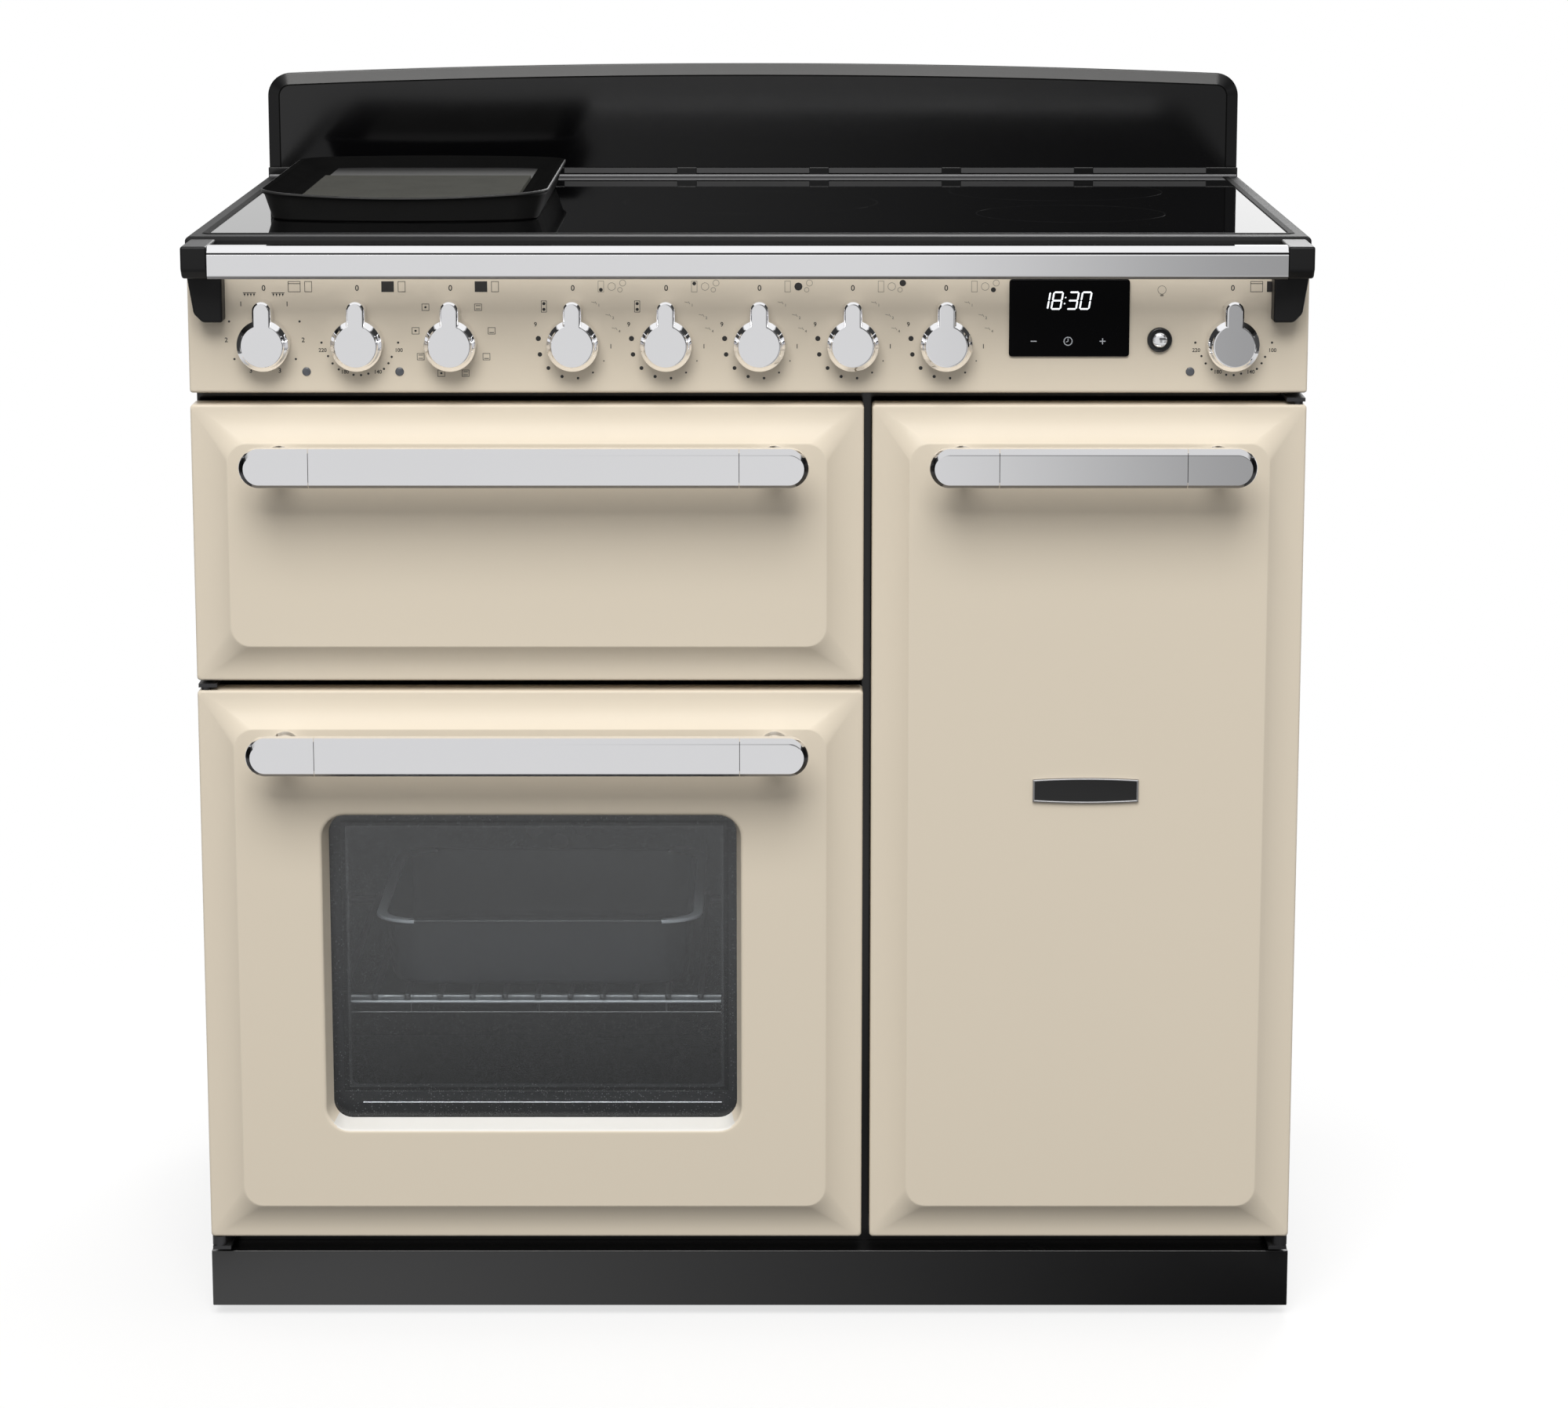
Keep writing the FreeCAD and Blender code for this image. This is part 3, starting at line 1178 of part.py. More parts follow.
def control_panel():
    body = new_body("control_panel")
    outline = new_sketch(body, "outline", offset="-panel_depth")
    rectangle(outline, "-front_width / 2", "0", "front_width", "panel_height")
    pad(body, outline, "panel_depth")
    room = new_sketch(body, "room", offset="-panel_depth")
    rectangle(room, "-front_width / 2 + sheet_wall", "sheet_wall", "front_width - 2 * sheet_wall",
              "panel_height - 2 * sheet_wall")
    pocket(body, room, "panel_depth - sheet_wall", backwards=True)
    holes = new_sketch(body, "holes")
    for place in knobs.values():
        circle(holes, place, "knob_rise", "spindle_radius + running_gap")
    for place in lamps:
        circle(holes, place, "lamp_rise", "lamp_radius + pin_clearance")
    circle(holes, "button_middle", "button_rise", "barrel_radius + pin_clearance")
    rectangle(holes, "clock_middle - clock_width / 2 + clock_lap", "clock_rise + clock_lap",
              "clock_width - 2 * clock_lap", "clock_height - 2 * clock_lap")
    pocket(body, holes, "sheet_wall")
    move(body, "0", "front", "panel_bottom")
    glass = box("clock_glass", "clock_middle - clock_width / 2", "front - clock_wall",
                "panel_bottom + clock_rise", "clock_width", "clock_wall", "clock_height")
    module = box("clock_module", "clock_middle - clock_width / 2", "panel_inside",
                 "panel_bottom + clock_rise", "clock_width", "clock_depth", "clock_height")
    lights = []
    for index, place in enumerate(lamps):
        lights.append(cylinder("lamp_%d" % index, "y", place, "front - lamp_proud", "lamp_height_line",
                               "lamp_radius", "lamp_length"))
    switches = []
    for name, place in knobs.items():
        case = box(name + "_switch_case", place + " - switch_width / 2", "panel_inside",
                   "knob_height_line - switch_width / 2", "switch_width", "switch_depth", "switch_width")
        bore = cylinder(name + "_switch_bore", "y", place, "panel_inside", "knob_height_line",
                        "spindle_radius + pin_clearance", "switch_depth")
        switches.append(cut(name + "_switch", case, [bore]))
    bezel = cylinder("bezel", "y", "button_middle", "front - bezel_wall", "button_height_line",
                     "bezel_radius", "bezel_wall")
    barrel = cylinder("barrel", "y", "button_middle", "front", "button_height_line",
                      "barrel_radius", "barrel_length")
    well = cylinder("well", "y", "button_middle", "front - bezel_wall", "button_height_line",
                    "button_radius + pin_clearance", "button_length + button_travel")
    button = cylinder("light_button", "y", "button_middle", "front - bezel_wall - button_proud",
                      "button_height_line", "button_radius", "button_length")
    switches.append(cut("light_switch", fuse("light_switch_solid", [bezel, barrel]), [well]))
    return [body, glass, group("indicator_lamps", lights), group("control_switches", switches), button], module


def knob(label, place):
    """A coned cap with a pointer that reaches up past it, and the spindle behind."""
    body = new_body(label)
    cap_back = new_sketch(body, "cap_back")
    circle(cap_back, "0", "0", "knob_radius")
    cap_front = new_sketch(body, "cap_front", offset="knob_height")
    circle(cap_front, "0", "0", "knob_face_radius")
    loft(body, [cap_back, cap_front])
    pointer_back = new_sketch(body, "pointer_back")
    tongue(pointer_back, "(pointer_tip + pointer_draft)", "(pointer_width + 2 * pointer_draft)", upright=True)
    pointer_front = new_sketch(body, "pointer_front", offset="knob_height")
    tongue(pointer_front, "pointer_tip", "pointer_width", upright=True)
    loft(body, [pointer_back, pointer_front])
    spindle = new_sketch(body, "spindle")
    circle(spindle, "0", "0", "spindle_radius")
    pad(body, spindle, "running_gap + sheet_wall + spindle_length", backwards=True)
    return move(body, place, "front - running_gap", "knob_height_line")


def handrail():
    body = new_body("handrail")
    sketch = new_sketch(body, "section", "YZ_Plane")
    polygon(sketch, [
        ("rail_front", "rail_top - rail_height"),
        ("rail_front + rail_depth", "rail_top - rail_height"),
        ("rail_front + rail_depth", "rail_top"),
        ("rail_front + rail_chamfer", "rail_top"),
        ("rail_front", "rail_top - rail_chamfer"),
    ])
    pad(body, sketch, "2 * rail_half", both=True)
    brackets = []
    for name, sign in (("left", "-1"), ("right", "1")):
        bracket = new_body("rail_bracket_" + name)
        head = new_sketch(bracket, "head", "YZ_Plane", sign + " * rail_half")
        polygon(head, [
            ("front + trim_setback", "trim_bottom"),
            ("front + trim_setback", "rail_top"),
            ("rail_front", "rail_top"),
            ("rail_front", "rail_top - rail_height + bracket_chamfer"),
            ("rail_front + bracket_chamfer", "rail_top - rail_height"),
            ("front", "rail_top - rail_height"),
            ("front", "trim_bottom"),
        ])
        pad(bracket, head, "bracket_width", backwards=sign == "-1")
        leg = new_sketch(bracket, "leg", offset="-front")
        low = "rail_top - rail_height - bracket_leg"
        outer = "rail_half + bracket_width"
        polygon(leg, [
            ("%s * (rail_half - bracket_lap)" % sign, "rail_top - rail_height"),
            ("%s * (rail_half - bracket_lap)" % sign, low),
            ("%s * (%s - bracket_taper - bracket_chamfer)" % (sign, outer), low),
            ("%s * (%s - bracket_taper)" % (sign, outer), low + " + bracket_chamfer"),
            ("%s * (%s)" % (sign, outer), "rail_top - rail_height"),
        ])
        pad(bracket, leg, "bracket_leg_depth")
        brackets.append(bracket)
    return [body, group("rail_brackets", brackets)]


def hob(module):
    """The hob, and the boards of the hob and of the clock."""
    frame = new_body("hob_frame")
    outline = new_sketch(frame, "outline", "XY_Plane")
    rectangle(outline, "-hob_width / 2", "front + trim_setback", "hob_width", "body_depth - trim_setback")
    block = pad(frame, outline, "trim_height")
    near = measure("front + trim_setback")
    side = measure("hob_width / 2")
    top = measure("trim_height")
    dress(frame, "Fillet", block,
          lambda b: flat(b.ZMin, b.ZMax, top) and (flat(b.YMin, b.YMax, near) or flat(b.XMin, b.XMax, side)
                                                   or flat(b.XMin, b.XMax, -side)), Radius="trim_round")
    recess = new_sketch(frame, "recess", "XY_Plane", "trim_height")
    rectangle(recess, "-glass_side - running_gap", "glass_front - running_gap",
              "2 * (glass_side + running_gap)", "glass_depth + 2 * running_gap")
    pocket(frame, recess, "glass_wall")
    opening = new_sketch(frame, "opening", "XY_Plane", "trim_height - glass_wall")
    rectangle(opening, "-glass_side + trim_ledge", "glass_front + trim_ledge", "2 * (glass_side - trim_ledge)",
              "glass_depth - 2 * trim_ledge")
    pocket(frame, opening, "trim_height - glass_wall")
    move(frame, "0", "0", "trim_bottom")
    glass = box("hob_glass", "-glass_side", "glass_front", "hob_height - glass_wall", "2 * glass_side",
                "glass_depth", "glass_wall")
    tray_side = "(glass_side - trim_ledge + tray_lap)"
    tray_near = "frame_front + running_gap"
    tray_far = "(glass_back - trim_ledge + tray_lap - (%s))" % tray_near
    outer = box("hob_tray_outer", "-" + tray_side, tray_near, "tray_bottom", "2 * " + tray_side, tray_far,
                "tray_depth")
    inner = box("hob_tray_inner", "-%s + sheet_wall" % tray_side, tray_near + " + sheet_wall",
                "tray_bottom + sheet_wall", "2 * %s - 2 * sheet_wall" % tray_side,
                tray_far + " - 2 * sheet_wall", "tray_depth - sheet_wall")
    coils = []
    coil_top = "hob_height - glass_wall - coil_gap"
    front_line = "glass_front + coil_front_line"
    back_line = "glass_back - coil_back_line"
    zones = [
        ("griddle_middle", front_line, "coil_left_radius"),
        ("griddle_middle", back_line, "coil_left_radius"),
        ("0", "(%s + %s) / 2" % (front_line, back_line), "coil_middle_radius"),
        ("right_zone", front_line, "coil_front_radius"),
        ("right_zone", back_line, "coil_back_radius"),
    ]
    for index, (x, y, radius) in enumerate(zones):
        disc = cylinder("coil_disc_%d" % index, "z", x, y, coil_top + " - coil_wall", radius, "coil_wall")
        pillar = cylinder("coil_pillar_%d" % index, "z", x, y, "tray_bottom + sheet_wall", "coil_pillar",
                          coil_top + " - tray_bottom - sheet_wall")
        coils.append(fuse("coil_%d" % index, [disc, pillar]))
    boards = [module]
    for name, left, right in (("left", "griddle_middle", "0"), ("right", "0", "right_zone")):
        boards.append(box("board_" + name, left + " + coil_pillar + board_gap", "glass_front + board_margin",
                          "tray_bottom + sheet_wall", "%s - %s - 2 * (coil_pillar + board_gap)" % (right, left),
                          "glass_depth - 2 * board_margin", "board_height"))
    return [frame, glass, cut("hob_tray", outer, [inner]), group("induction_coils", coils),
            group("circuit_boards", boards)]


def splashback():
    slot_count = 7
    bar = box("vent_bar", "-splash_width / 2", "glass_back + running_gap", "hob_height", "splash_width",
              "back - glass_back - running_gap", "vent_height")
    slots = []
    pitch = "(splash_width - 2 * vent_end) / %d" % slot_count
    for index in range(slot_count):
        left = "-splash_width / 2 + vent_end + vent_web / 2 + %d * %s" % (index, pitch)
        slots.append(box("vent_slot_%d" % index, left,
                         "glass_back + running_gap", "hob_height + vent_wall", pitch + " - vent_web",
                         "back - glass_back - running_gap - vent_wall", "vent_height - vent_wall"))
    body = new_body("splashback")
    sketch = new_sketch(body, "outline")
    half = "splash_width / 2"
    shoulder = "splash_height - splash_arch"
    side = measure(half)
    top = measure("splash_height")
    low = measure(shoulder)
    bend = measure("splash_corner")
    lean = math.sin(math.pi / 4)
    left_arc = Part.Arc(vector(-side + bend, low), vector(-side + bend * (1 - lean), low - bend * (1 - lean)),
                        vector(-side, low - bend))
    right_arc = Part.Arc(vector(side, low - bend), vector(side - bend * (1 - lean), low - bend * (1 - lean)),
                         vector(side - bend, low))
    top_arc = Part.Arc(vector(side - bend, low), vector(0, top), vector(-side + bend, low))
    for piece in (Part.LineSegment(vector(-side, 0), vector(side, 0)),
                  Part.LineSegment(vector(side, 0), vector(side, low - bend)), right_arc, top_arc, left_arc,
                  Part.LineSegment(vector(-side, low - bend), vector(-side, 0))):
        sketch.addGeometry(piece, False)
    for index in range(6):
        sketch.addConstraint(Sketcher.Constraint("Coincident", index, 2, (index + 1) % 6, 1))
    pin_point(sketch, 0, 1, "-" + half, "0")
    pin_point(sketch, 1, 1, half, "0")
    pin_point(sketch, 2, 1, half, shoulder + " - splash_corner")
    pin_point(sketch, 3, 1, half + " - splash_corner", shoulder)
    pin_point(sketch, 4, 1, "-%s + splash_corner" % half, shoulder)
    pin_point(sketch, 5, 1, "-" + half, shoulder + " - splash_corner")
    for arc in (2, 4):
        size_radius(sketch, arc, "splash_corner")
    arch = "((%s - splash_corner) ^ 2 + splash_arch ^ 2) / (2 * splash_arch)" % half
    size_radius(sketch, 3, arch)
    plate = pad(body, sketch, "splash_depth")
    near = -measure("splash_depth")
    dress(body, "Chamfer", plate, lambda b: flat(b.YMin, b.YMax, near) and b.ZMax > 1,
          Size="splash_bevel_depth", Size2="splash_bevel").ChamferType = 1
    move(body, "0", "back", "hob_height + vent_height")
    return [cut("vent_trim", bar, slots), body]


def mains():
    level = "base_height + terminal_rise"
    block = box("terminal_case", "terminal_middle - terminal_width / 2", "casing_back - terminal_depth", level,
                "terminal_width", "terminal_depth", "terminal_height")
    middle = level + " + terminal_height / 2"
    way = cylinder("terminal_way", "y", "terminal_middle", "back - gland_length", middle, "gland_radius",
                   "gland_length")
    ring = cylinder("gland_ring", "y", "terminal_middle", "back - gland_length", middle, "gland_radius",
                    "gland_length")
    bore = cylinder("gland_way", "y", "terminal_middle", "back - gland_length", middle, "gland_bore",
                    "gland_length")
    return [group("mains_inlet", [cut("terminal_block", block, [way]), cut("cable_gland", ring, [bore])])]


parts = []
parts += base()
parts += casing()
parts += front_frame()
parts += cavities()
parts += heating_elements()
parts += fans()
parts += racks()
parts += ware()
grill_pieces, grill_arms = grill_door()
parts += grill_pieces
parts += oven_door()
parts += tall_door()
parts += hinges_and_seals(grill_arms)
panel_pieces, clock_module = control_panel()
parts += panel_pieces
for knob_label, knob_place in knobs.items():
    parts.append(knob(knob_label, knob_place))
parts += handrail()
parts += hob(clock_module)
parts += splashback()
parts += mains()
doc.removeObject("Ruler")
doc.recompute()

for item in doc.Objects:
    if "Invalid" in item.State or "Error" in item.State:
        raise RuntimeError("%s failed: %s" % (item.Label, item.State))
for part in parts:
    if part.Shape.isNull() or not part.Shape.isValid() or not part.Shape.Solids:
        raise RuntimeError("%s has no valid solid" % part.Label)

os.makedirs("parts", exist_ok=True)
for part in parts:
    part.Shape.exportStep(os.path.join("parts", part.Label + ".step"))
print("wrote %d parts" % len(parts))
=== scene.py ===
import json
import math

import bmesh
import bpy
from mathutils import Matrix, Vector

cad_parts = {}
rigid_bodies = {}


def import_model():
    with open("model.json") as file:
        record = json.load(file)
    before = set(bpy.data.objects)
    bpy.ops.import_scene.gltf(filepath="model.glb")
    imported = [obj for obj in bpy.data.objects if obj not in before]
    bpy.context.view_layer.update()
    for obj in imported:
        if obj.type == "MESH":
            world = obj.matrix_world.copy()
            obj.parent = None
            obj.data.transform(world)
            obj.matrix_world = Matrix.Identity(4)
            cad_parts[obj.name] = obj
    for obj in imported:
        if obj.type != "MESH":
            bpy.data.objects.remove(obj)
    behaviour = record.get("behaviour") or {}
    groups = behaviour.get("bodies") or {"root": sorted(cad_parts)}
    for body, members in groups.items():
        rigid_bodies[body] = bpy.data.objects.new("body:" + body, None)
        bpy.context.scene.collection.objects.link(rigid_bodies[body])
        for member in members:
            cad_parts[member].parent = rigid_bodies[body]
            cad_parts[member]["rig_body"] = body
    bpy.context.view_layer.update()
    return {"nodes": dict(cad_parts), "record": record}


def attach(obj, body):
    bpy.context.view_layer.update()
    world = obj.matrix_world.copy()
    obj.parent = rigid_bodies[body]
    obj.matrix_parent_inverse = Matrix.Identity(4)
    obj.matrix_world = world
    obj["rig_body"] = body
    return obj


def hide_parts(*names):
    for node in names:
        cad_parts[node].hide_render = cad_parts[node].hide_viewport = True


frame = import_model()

scene = bpy.context.scene
nodes = frame["nodes"]
slotOf = {entry["node"]: entry["material_slot"] for entry in frame["record"]["subparts"]}
mm = 0.001
micron = 0.000001
front = -271.0   # plane of the door edges and of the control panel, millimetres
hobTop = 905.0   # top of the hob glass, millimetres
print("frame:", len(nodes), "nodes")


# node helpers, for shader groups and geometry trees alike
def newTree(family, name, inputs, outputs):
    tree = bpy.data.node_groups.new(name, family + "NodeTree")
    for label, kind, value in inputs:
        socket = tree.interface.new_socket(label, in_out="INPUT", socket_type="NodeSocket" + kind)
        if value is not None:
            socket.default_value = value
    for label, kind in outputs:
        tree.interface.new_socket(label, in_out="OUTPUT", socket_type="NodeSocket" + kind)
    return tree, tree.nodes.new("NodeGroupInput").outputs, tree.nodes.new("NodeGroupOutput").inputs


def addNode(tree, kind, inputs=None, family="ShaderNode", **settings):
    node = tree.nodes.new(family + kind)
    for name, value in settings.items():
        setattr(node, name, value)
    for name, value in (inputs or {}).items():
        if isinstance(value, bpy.types.NodeSocket):
            tree.links.new(value, node.inputs[name])
        else:
            node.inputs[name].default_value = value
    return node


def useGroup(tree, group, inputs):
    return addNode(tree, "Group", inputs, node_tree=group).outputs


def calc(tree, operation, first, second=0.0):
    return addNode(tree, "Math", {0: first, 1: second}, operation=operation).outputs[0]


def span(tree, value, low, high, toLow=0.0, toHigh=1.0):
    inputs = {"Value": value, "From Min": low, "From Max": high, "To Min": toLow, "To Max": toHigh}
    return addNode(tree, "MapRange", inputs, interpolation_type="SMOOTHSTEP").outputs[0]


# goes from one value to the other as the factor goes from 0 to 1
def between(tree, factor, first, second):
    return calc(tree, "ADD", first, calc(tree, "MULTIPLY", factor, calc(tree, "SUBTRACT", second, first)))


# swings both ways about nought, for a value that runs from 0 to 1
def swing(tree, value, reach):
    return calc(tree, "MULTIPLY", calc(tree, "SUBTRACT", value, 0.5), reach)


def blendColor(tree, factor, first, second, mode="MIX"):
    node = addNode(tree, "Mix", {0: factor, 6: first, 7: second}, data_type="RGBA", blend_type=mode)
    return node.outputs[2]


def objectPlace(tree):
    return addNode(tree, "TexCoord").outputs["Object"]


def splitPlace(tree, place):
    return addNode(tree, "SeparateXYZ", {0: place}).outputs


def noise(tree, place, scale, detail):
    return addNode(tree, "TexNoise", {"Vector": place, "Scale": scale, "Detail": detail}).outputs[0]


def bumpNormal(tree, height, distance):
    return addNode(tree, "Bump", {"Strength": 1.0, "Distance": distance, "Height": height}).outputs[0]


# broad tone and gloss changes, as on any sprayed, fired or plated surface
def makeMottle():
    tree, given, out = newTree("Shader", "surfaceMottle", [
        ("Color", "Color", (0.5, 0.5, 0.5, 1)), ("Scale", "Float", 20.0), ("Depth", "Float", 0.05),
        ("Roughness", "Float", 0.3), ("Spread", "Float", 0.05)], [("Color", "Color"), ("Roughness", "Float")])
    fineRatio = 7.0
    place = objectPlace(tree)
    broad = noise(tree, place, given["Scale"], 4.0)
    fine = noise(tree, place, calc(tree, "MULTIPLY", given["Scale"], fineRatio), 3.0)
    shade = calc(tree, "ADD", swing(tree, broad, calc(tree, "MULTIPLY", given["Depth"], 2.0)), 1.0)
    tree.links.new(blendColor(tree, 1.0, given["Color"], shade, "MULTIPLY"), out["Color"])
    both = calc(tree, "MULTIPLY", calc(tree, "ADD", broad, fine), 0.5)
    change = swing(tree, both, calc(tree, "MULTIPLY", given["Spread"], 2.0))
    tree.links.new(calc(tree, "ADD", given["Roughness"], change), out["Roughness"])
    return tree


# small waves in a fired or sprayed coat
def makePeel():
    tree, given, out = newTree("Shader", "coatPeel", [
        ("Scale", "Float", 300.0), ("Height", "Float", 0.00002)], [("Normal", "Vector")])
    waves = noise(tree, objectPlace(tree), given["Scale"], 2.0)
    tree.links.new(bumpNormal(tree, waves, given["Height"]), out["Normal"])
    return tree


# drawn lines of rolled or brushed metal, stretched along one axis
def makeBrush():
    tree, given, out = newTree("Shader", "brushLines", [
        ("Stretch", "Vector", (400, 20, 400)), ("Height", "Float", 0.00002)], [("Normal", "Vector")])
    place = addNode(tree, "VectorMath", {0: objectPlace(tree), 1: given["Stretch"]}, operation="MULTIPLY")
    lines = noise(tree, place.outputs[0], 1.0, 3.0)
    tree.links.new(bumpNormal(tree, lines, given["Height"]), out["Normal"])
    return tree


# pale specks in oven enamel, and grit in cast iron
def makeSpeckle():
    tree, given, out = newTree("Shader", "enamelSpeckle", [("Scale", "Float", 400.0), ("Size", "Float", 0.2)],
                               [("Mask", "Float")])
    bareShare = 0.45   # cells that stay without a speck
    cells = addNode(tree, "TexVoronoi", {"Vector": objectPlace(tree), "Scale": given["Scale"]}).outputs
    pick = addNode(tree, "SeparateColor", {0: cells["Color"]}).outputs[0]
    dot = calc(tree, "LESS_THAN", cells["Distance"], given["Size"])
    tree.links.new(calc(tree, "MULTIPLY", calc(tree, "GREATER_THAN", pick, bareShare), dot), out["Mask"])
    return tree


# rubbed edges, broken up by a fine grain
def makeEdgeRub():
    tree, given, out = newTree("Shader", "edgeRub", [("Radius", "Float", 0.002), ("Amount", "Float", 1.0)],
                               [("Mask", "Float")])
    grainScale = 160.0
    soft = addNode(tree, "Bevel", {"Radius": given["Radius"]}, samples=4).outputs[0]
    hard = addNode(tree, "NewGeometry").outputs["Normal"]
    turn = addNode(tree, "VectorMath", {0: soft, 1: hard}, operation="DOT_PRODUCT").outputs["Value"]
    edge = span(tree, calc(tree, "SUBTRACT", 1.0, turn), 0.02, 0.2)
    grain = span(tree, noise(tree, objectPlace(tree), grainScale, 3.0), 0.4, 0.65)
    tree.links.new(calc(tree, "MULTIPLY", calc(tree, "MULTIPLY", edge, grain), given["Amount"]), out["Mask"])
    return tree


# crystals of a hot-dip zinc coat
def makeSpangle():
    tree, given, out = newTree("Shader", "zincSpangle", [("Scale", "Float", 60.0), ("Depth", "Float", 0.2)],
                               [("Value", "Float")])
    cells = addNode(tree, "TexVoronoi", {"Vector": objectPlace(tree), "Scale": given["Scale"]}).outputs
    pick = addNode(tree, "SeparateColor", {0: cells["Color"]}).outputs[0]
    tree.links.new(calc(tree, "ADD", swing(tree, pick, given["Depth"]), 1.0), out["Value"])
    return tree


mottle = makeMottle()
peel = makePeel()
brush = makeBrush()
speckle = makeSpeckle()
edgeRub = makeEdgeRub()
spangle = makeSpangle()


# a colour given as 0 to 255, on the linear scale that shaders use
def paint(color):
    def linear(value):
        value = value / 255
        return value / 12.92 if value <= 0.04045 else ((value + 0.055) / 1.055) ** 2.4
    return tuple(linear(value) for value in color) + (1.0,)


def shaderOf(material):
    return material.node_tree.nodes["Principled BSDF"]


# a finish: mottled colour and gloss, waves as scale and height in microns, and constant sockets
def finish(name, color, roughness, scale=14.0, depth=0.04, spread=0.04, waves=(260, 10), metallic=0.0,
           specular=0.5, coat=None):
    material = bpy.data.materials.new(name)
    material.use_nodes = True
    tree = material.node_tree
    sockets = shaderOf(material).inputs
    tone = useGroup(tree, mottle, {"Color": paint(color), "Scale": scale, "Depth": depth,
                                   "Roughness": roughness, "Spread": spread})
    tree.links.new(tone["Color"], sockets["Base Color"])
    tree.links.new(tone["Roughness"], sockets["Roughness"])
    if waves:
        ripple = useGroup(tree, peel, {"Scale": waves[0], "Height": waves[1] * micron})
        tree.links.new(ripple["Normal"], sockets["Normal"])
    sockets["Metallic"].default_value = metallic
    sockets["Specular IOR Level"].default_value = specular
    if coat:
        sockets["Coat Weight"].default_value, sockets["Coat Roughness"].default_value = coat
    return material


def brushedFinish(name, color, roughness, stretch, height):
    material = finish(name, color, roughness, scale=9.0, depth=0.06, spread=0.06, waves=None, metallic=1.0)
    tree = material.node_tree
    lines = useGroup(tree, brush, {"Stretch": stretch, "Height": height * micron})
    tree.links.new(lines["Normal"], shaderOf(material).inputs["Normal"])
    return material


# lays a colour over a finish as far as the mask says
def overlay(material, mask, color, mode="MIX"):
    tree = material.node_tree
    base = shaderOf(material).inputs["Base Color"]
    tree.links.new(blendColor(tree, mask, base.links[0].from_socket, color, mode), base)
    return material


def addSpecks(material, color, scale, size, amount=1.0):
    tree = material.node_tree
    mask = useGroup(tree, speckle, {"Scale": scale, "Size": size})["Mask"]
    return overlay(material, calc(tree, "MULTIPLY", mask, amount), paint(color))


def addRub(material, color, radius, amount):
    mask = useGroup(material.node_tree, edgeRub, {"Radius": radius, "Amount": amount})["Mask"]
    return overlay(material, mask, paint(color))


def addSpangle(material, scale, depth):
    grain = useGroup(material.node_tree, spangle, {"Scale": scale, "Depth": depth})["Value"]
    return overlay(material, 1.0, grain, "MULTIPLY")


# a colour that takes over along one axis of the object, between two places in metres
def addFade(material, color, axis, start, end):
    tree = material.node_tree
    along = splitPlace(tree, objectPlace(tree))[axis]
    return overlay(material, span(tree, along, start, end), paint(color))


# glass that lets light through to what lies behind it
def seeThrough(name, color, roughness):
    material = finish(name, color, roughness, depth=0.02, spread=0.0, waves=None)
    tree = material.node_tree
    shader = shaderOf(material)
    shader.inputs["Transmission Weight"].default_value = 1.0
    shader.inputs["IOR"].default_value = 1.5
    clear = addNode(tree, "BsdfTransparent", {"Color": paint(color)})
    shadow = addNode(tree, "LightPath").outputs["Is Shadow Ray"]
    both = addNode(tree, "MixShader", {0: shadow, 1: shader.outputs[0], 2: clear.outputs[0]})
    tree.links.new(both.outputs[0], tree.nodes["Material Output"].inputs["Surface"])
    return material


def glow(name, color, strength):
    material = finish(name, color, 0.4, depth=0.1, spread=0.02)
    sockets = shaderOf(material).inputs
    sockets["Emission Color"].default_value = paint(color)
    sockets["Emission Strength"].default_value = strength
    return material


# finishes, with what several of them share
pressedSheet = {"scale": 5.0, "depth": 0.006, "spread": 0.02, "waves": (90, 2)}
blackGloss = {"scale": 9.0, "depth": 0.12, "spread": 0.03, "waves": (160, 2)}
smoothTrim = {"depth": 0.1, "waves": (300, 2)}
paintedShadeSettings = {"depth": 0.05, "waves": None, "metallic": 1.0}
shelfPlate = {"depth": 0.05, "spread": 0.06, "metallic": 1.0}
castIron = {"scale": 30.0, "depth": 0.2, "spread": 0.1, "waves": (700, 30)}

creamEnamel = finish("creamEnamel", (223, 212, 194), 0.3, specular=0.12, coat=(0.03, 0.08), **pressedSheet)
# whiter enamel for a painted highlight on the window's ledge
paintedHighlightEnamel = finish("paintedHighlightEnamel", (228, 226, 222), 0.28, specular=0.3, **pressedSheet)
blackEnamel = finish("blackEnamel", (6, 6, 7), 0.1, **blackGloss)
paintedSheenEnamel = finish("paintedSheenEnamel", (22, 22, 23), 0.24, specular=0.27, **blackGloss)
ovenEnamel = addSpecks(finish("ovenEnamel", (40, 41, 43), 0.24, depth=0.1, waves=(220, 20)),
                       (150, 152, 158), 520.0, 0.22, 0.5)
tinEnamel = finish("tinEnamel", (46, 47, 52), 0.22, scale=20.0, depth=0.1, waves=(180, 20))
casingPaint = finish("casingPaint", (52, 53, 55), 0.42, scale=6.0, depth=0.07, spread=0.06, waves=(900, 30))
bracketPaint = addRub(finish("bracketPaint", (20, 20, 21), 0.45, waves=(700, 10), specular=0.22),
                      (44, 44, 46), 0.0012, 0.3)
plinthPaint = finish("plinthPaint", (16, 16, 17), 0.26, scale=5.0, depth=0.1, waves=(500, 4), specular=0.8)
trimBlack = finish("trimBlack", (34, 34, 35), 0.55, specular=0.08, **smoothTrim)
bezelBlack = finish("bezelBlack", (12, 12, 13), 0.14, **smoothTrim)
ventGrey = finish("ventGrey", (66, 66, 67), 0.4, **smoothTrim)
beadSteel = finish("beadSteel", (78, 78, 80), 0.38, depth=0.06, waves=(300, 2), metallic=0.5)
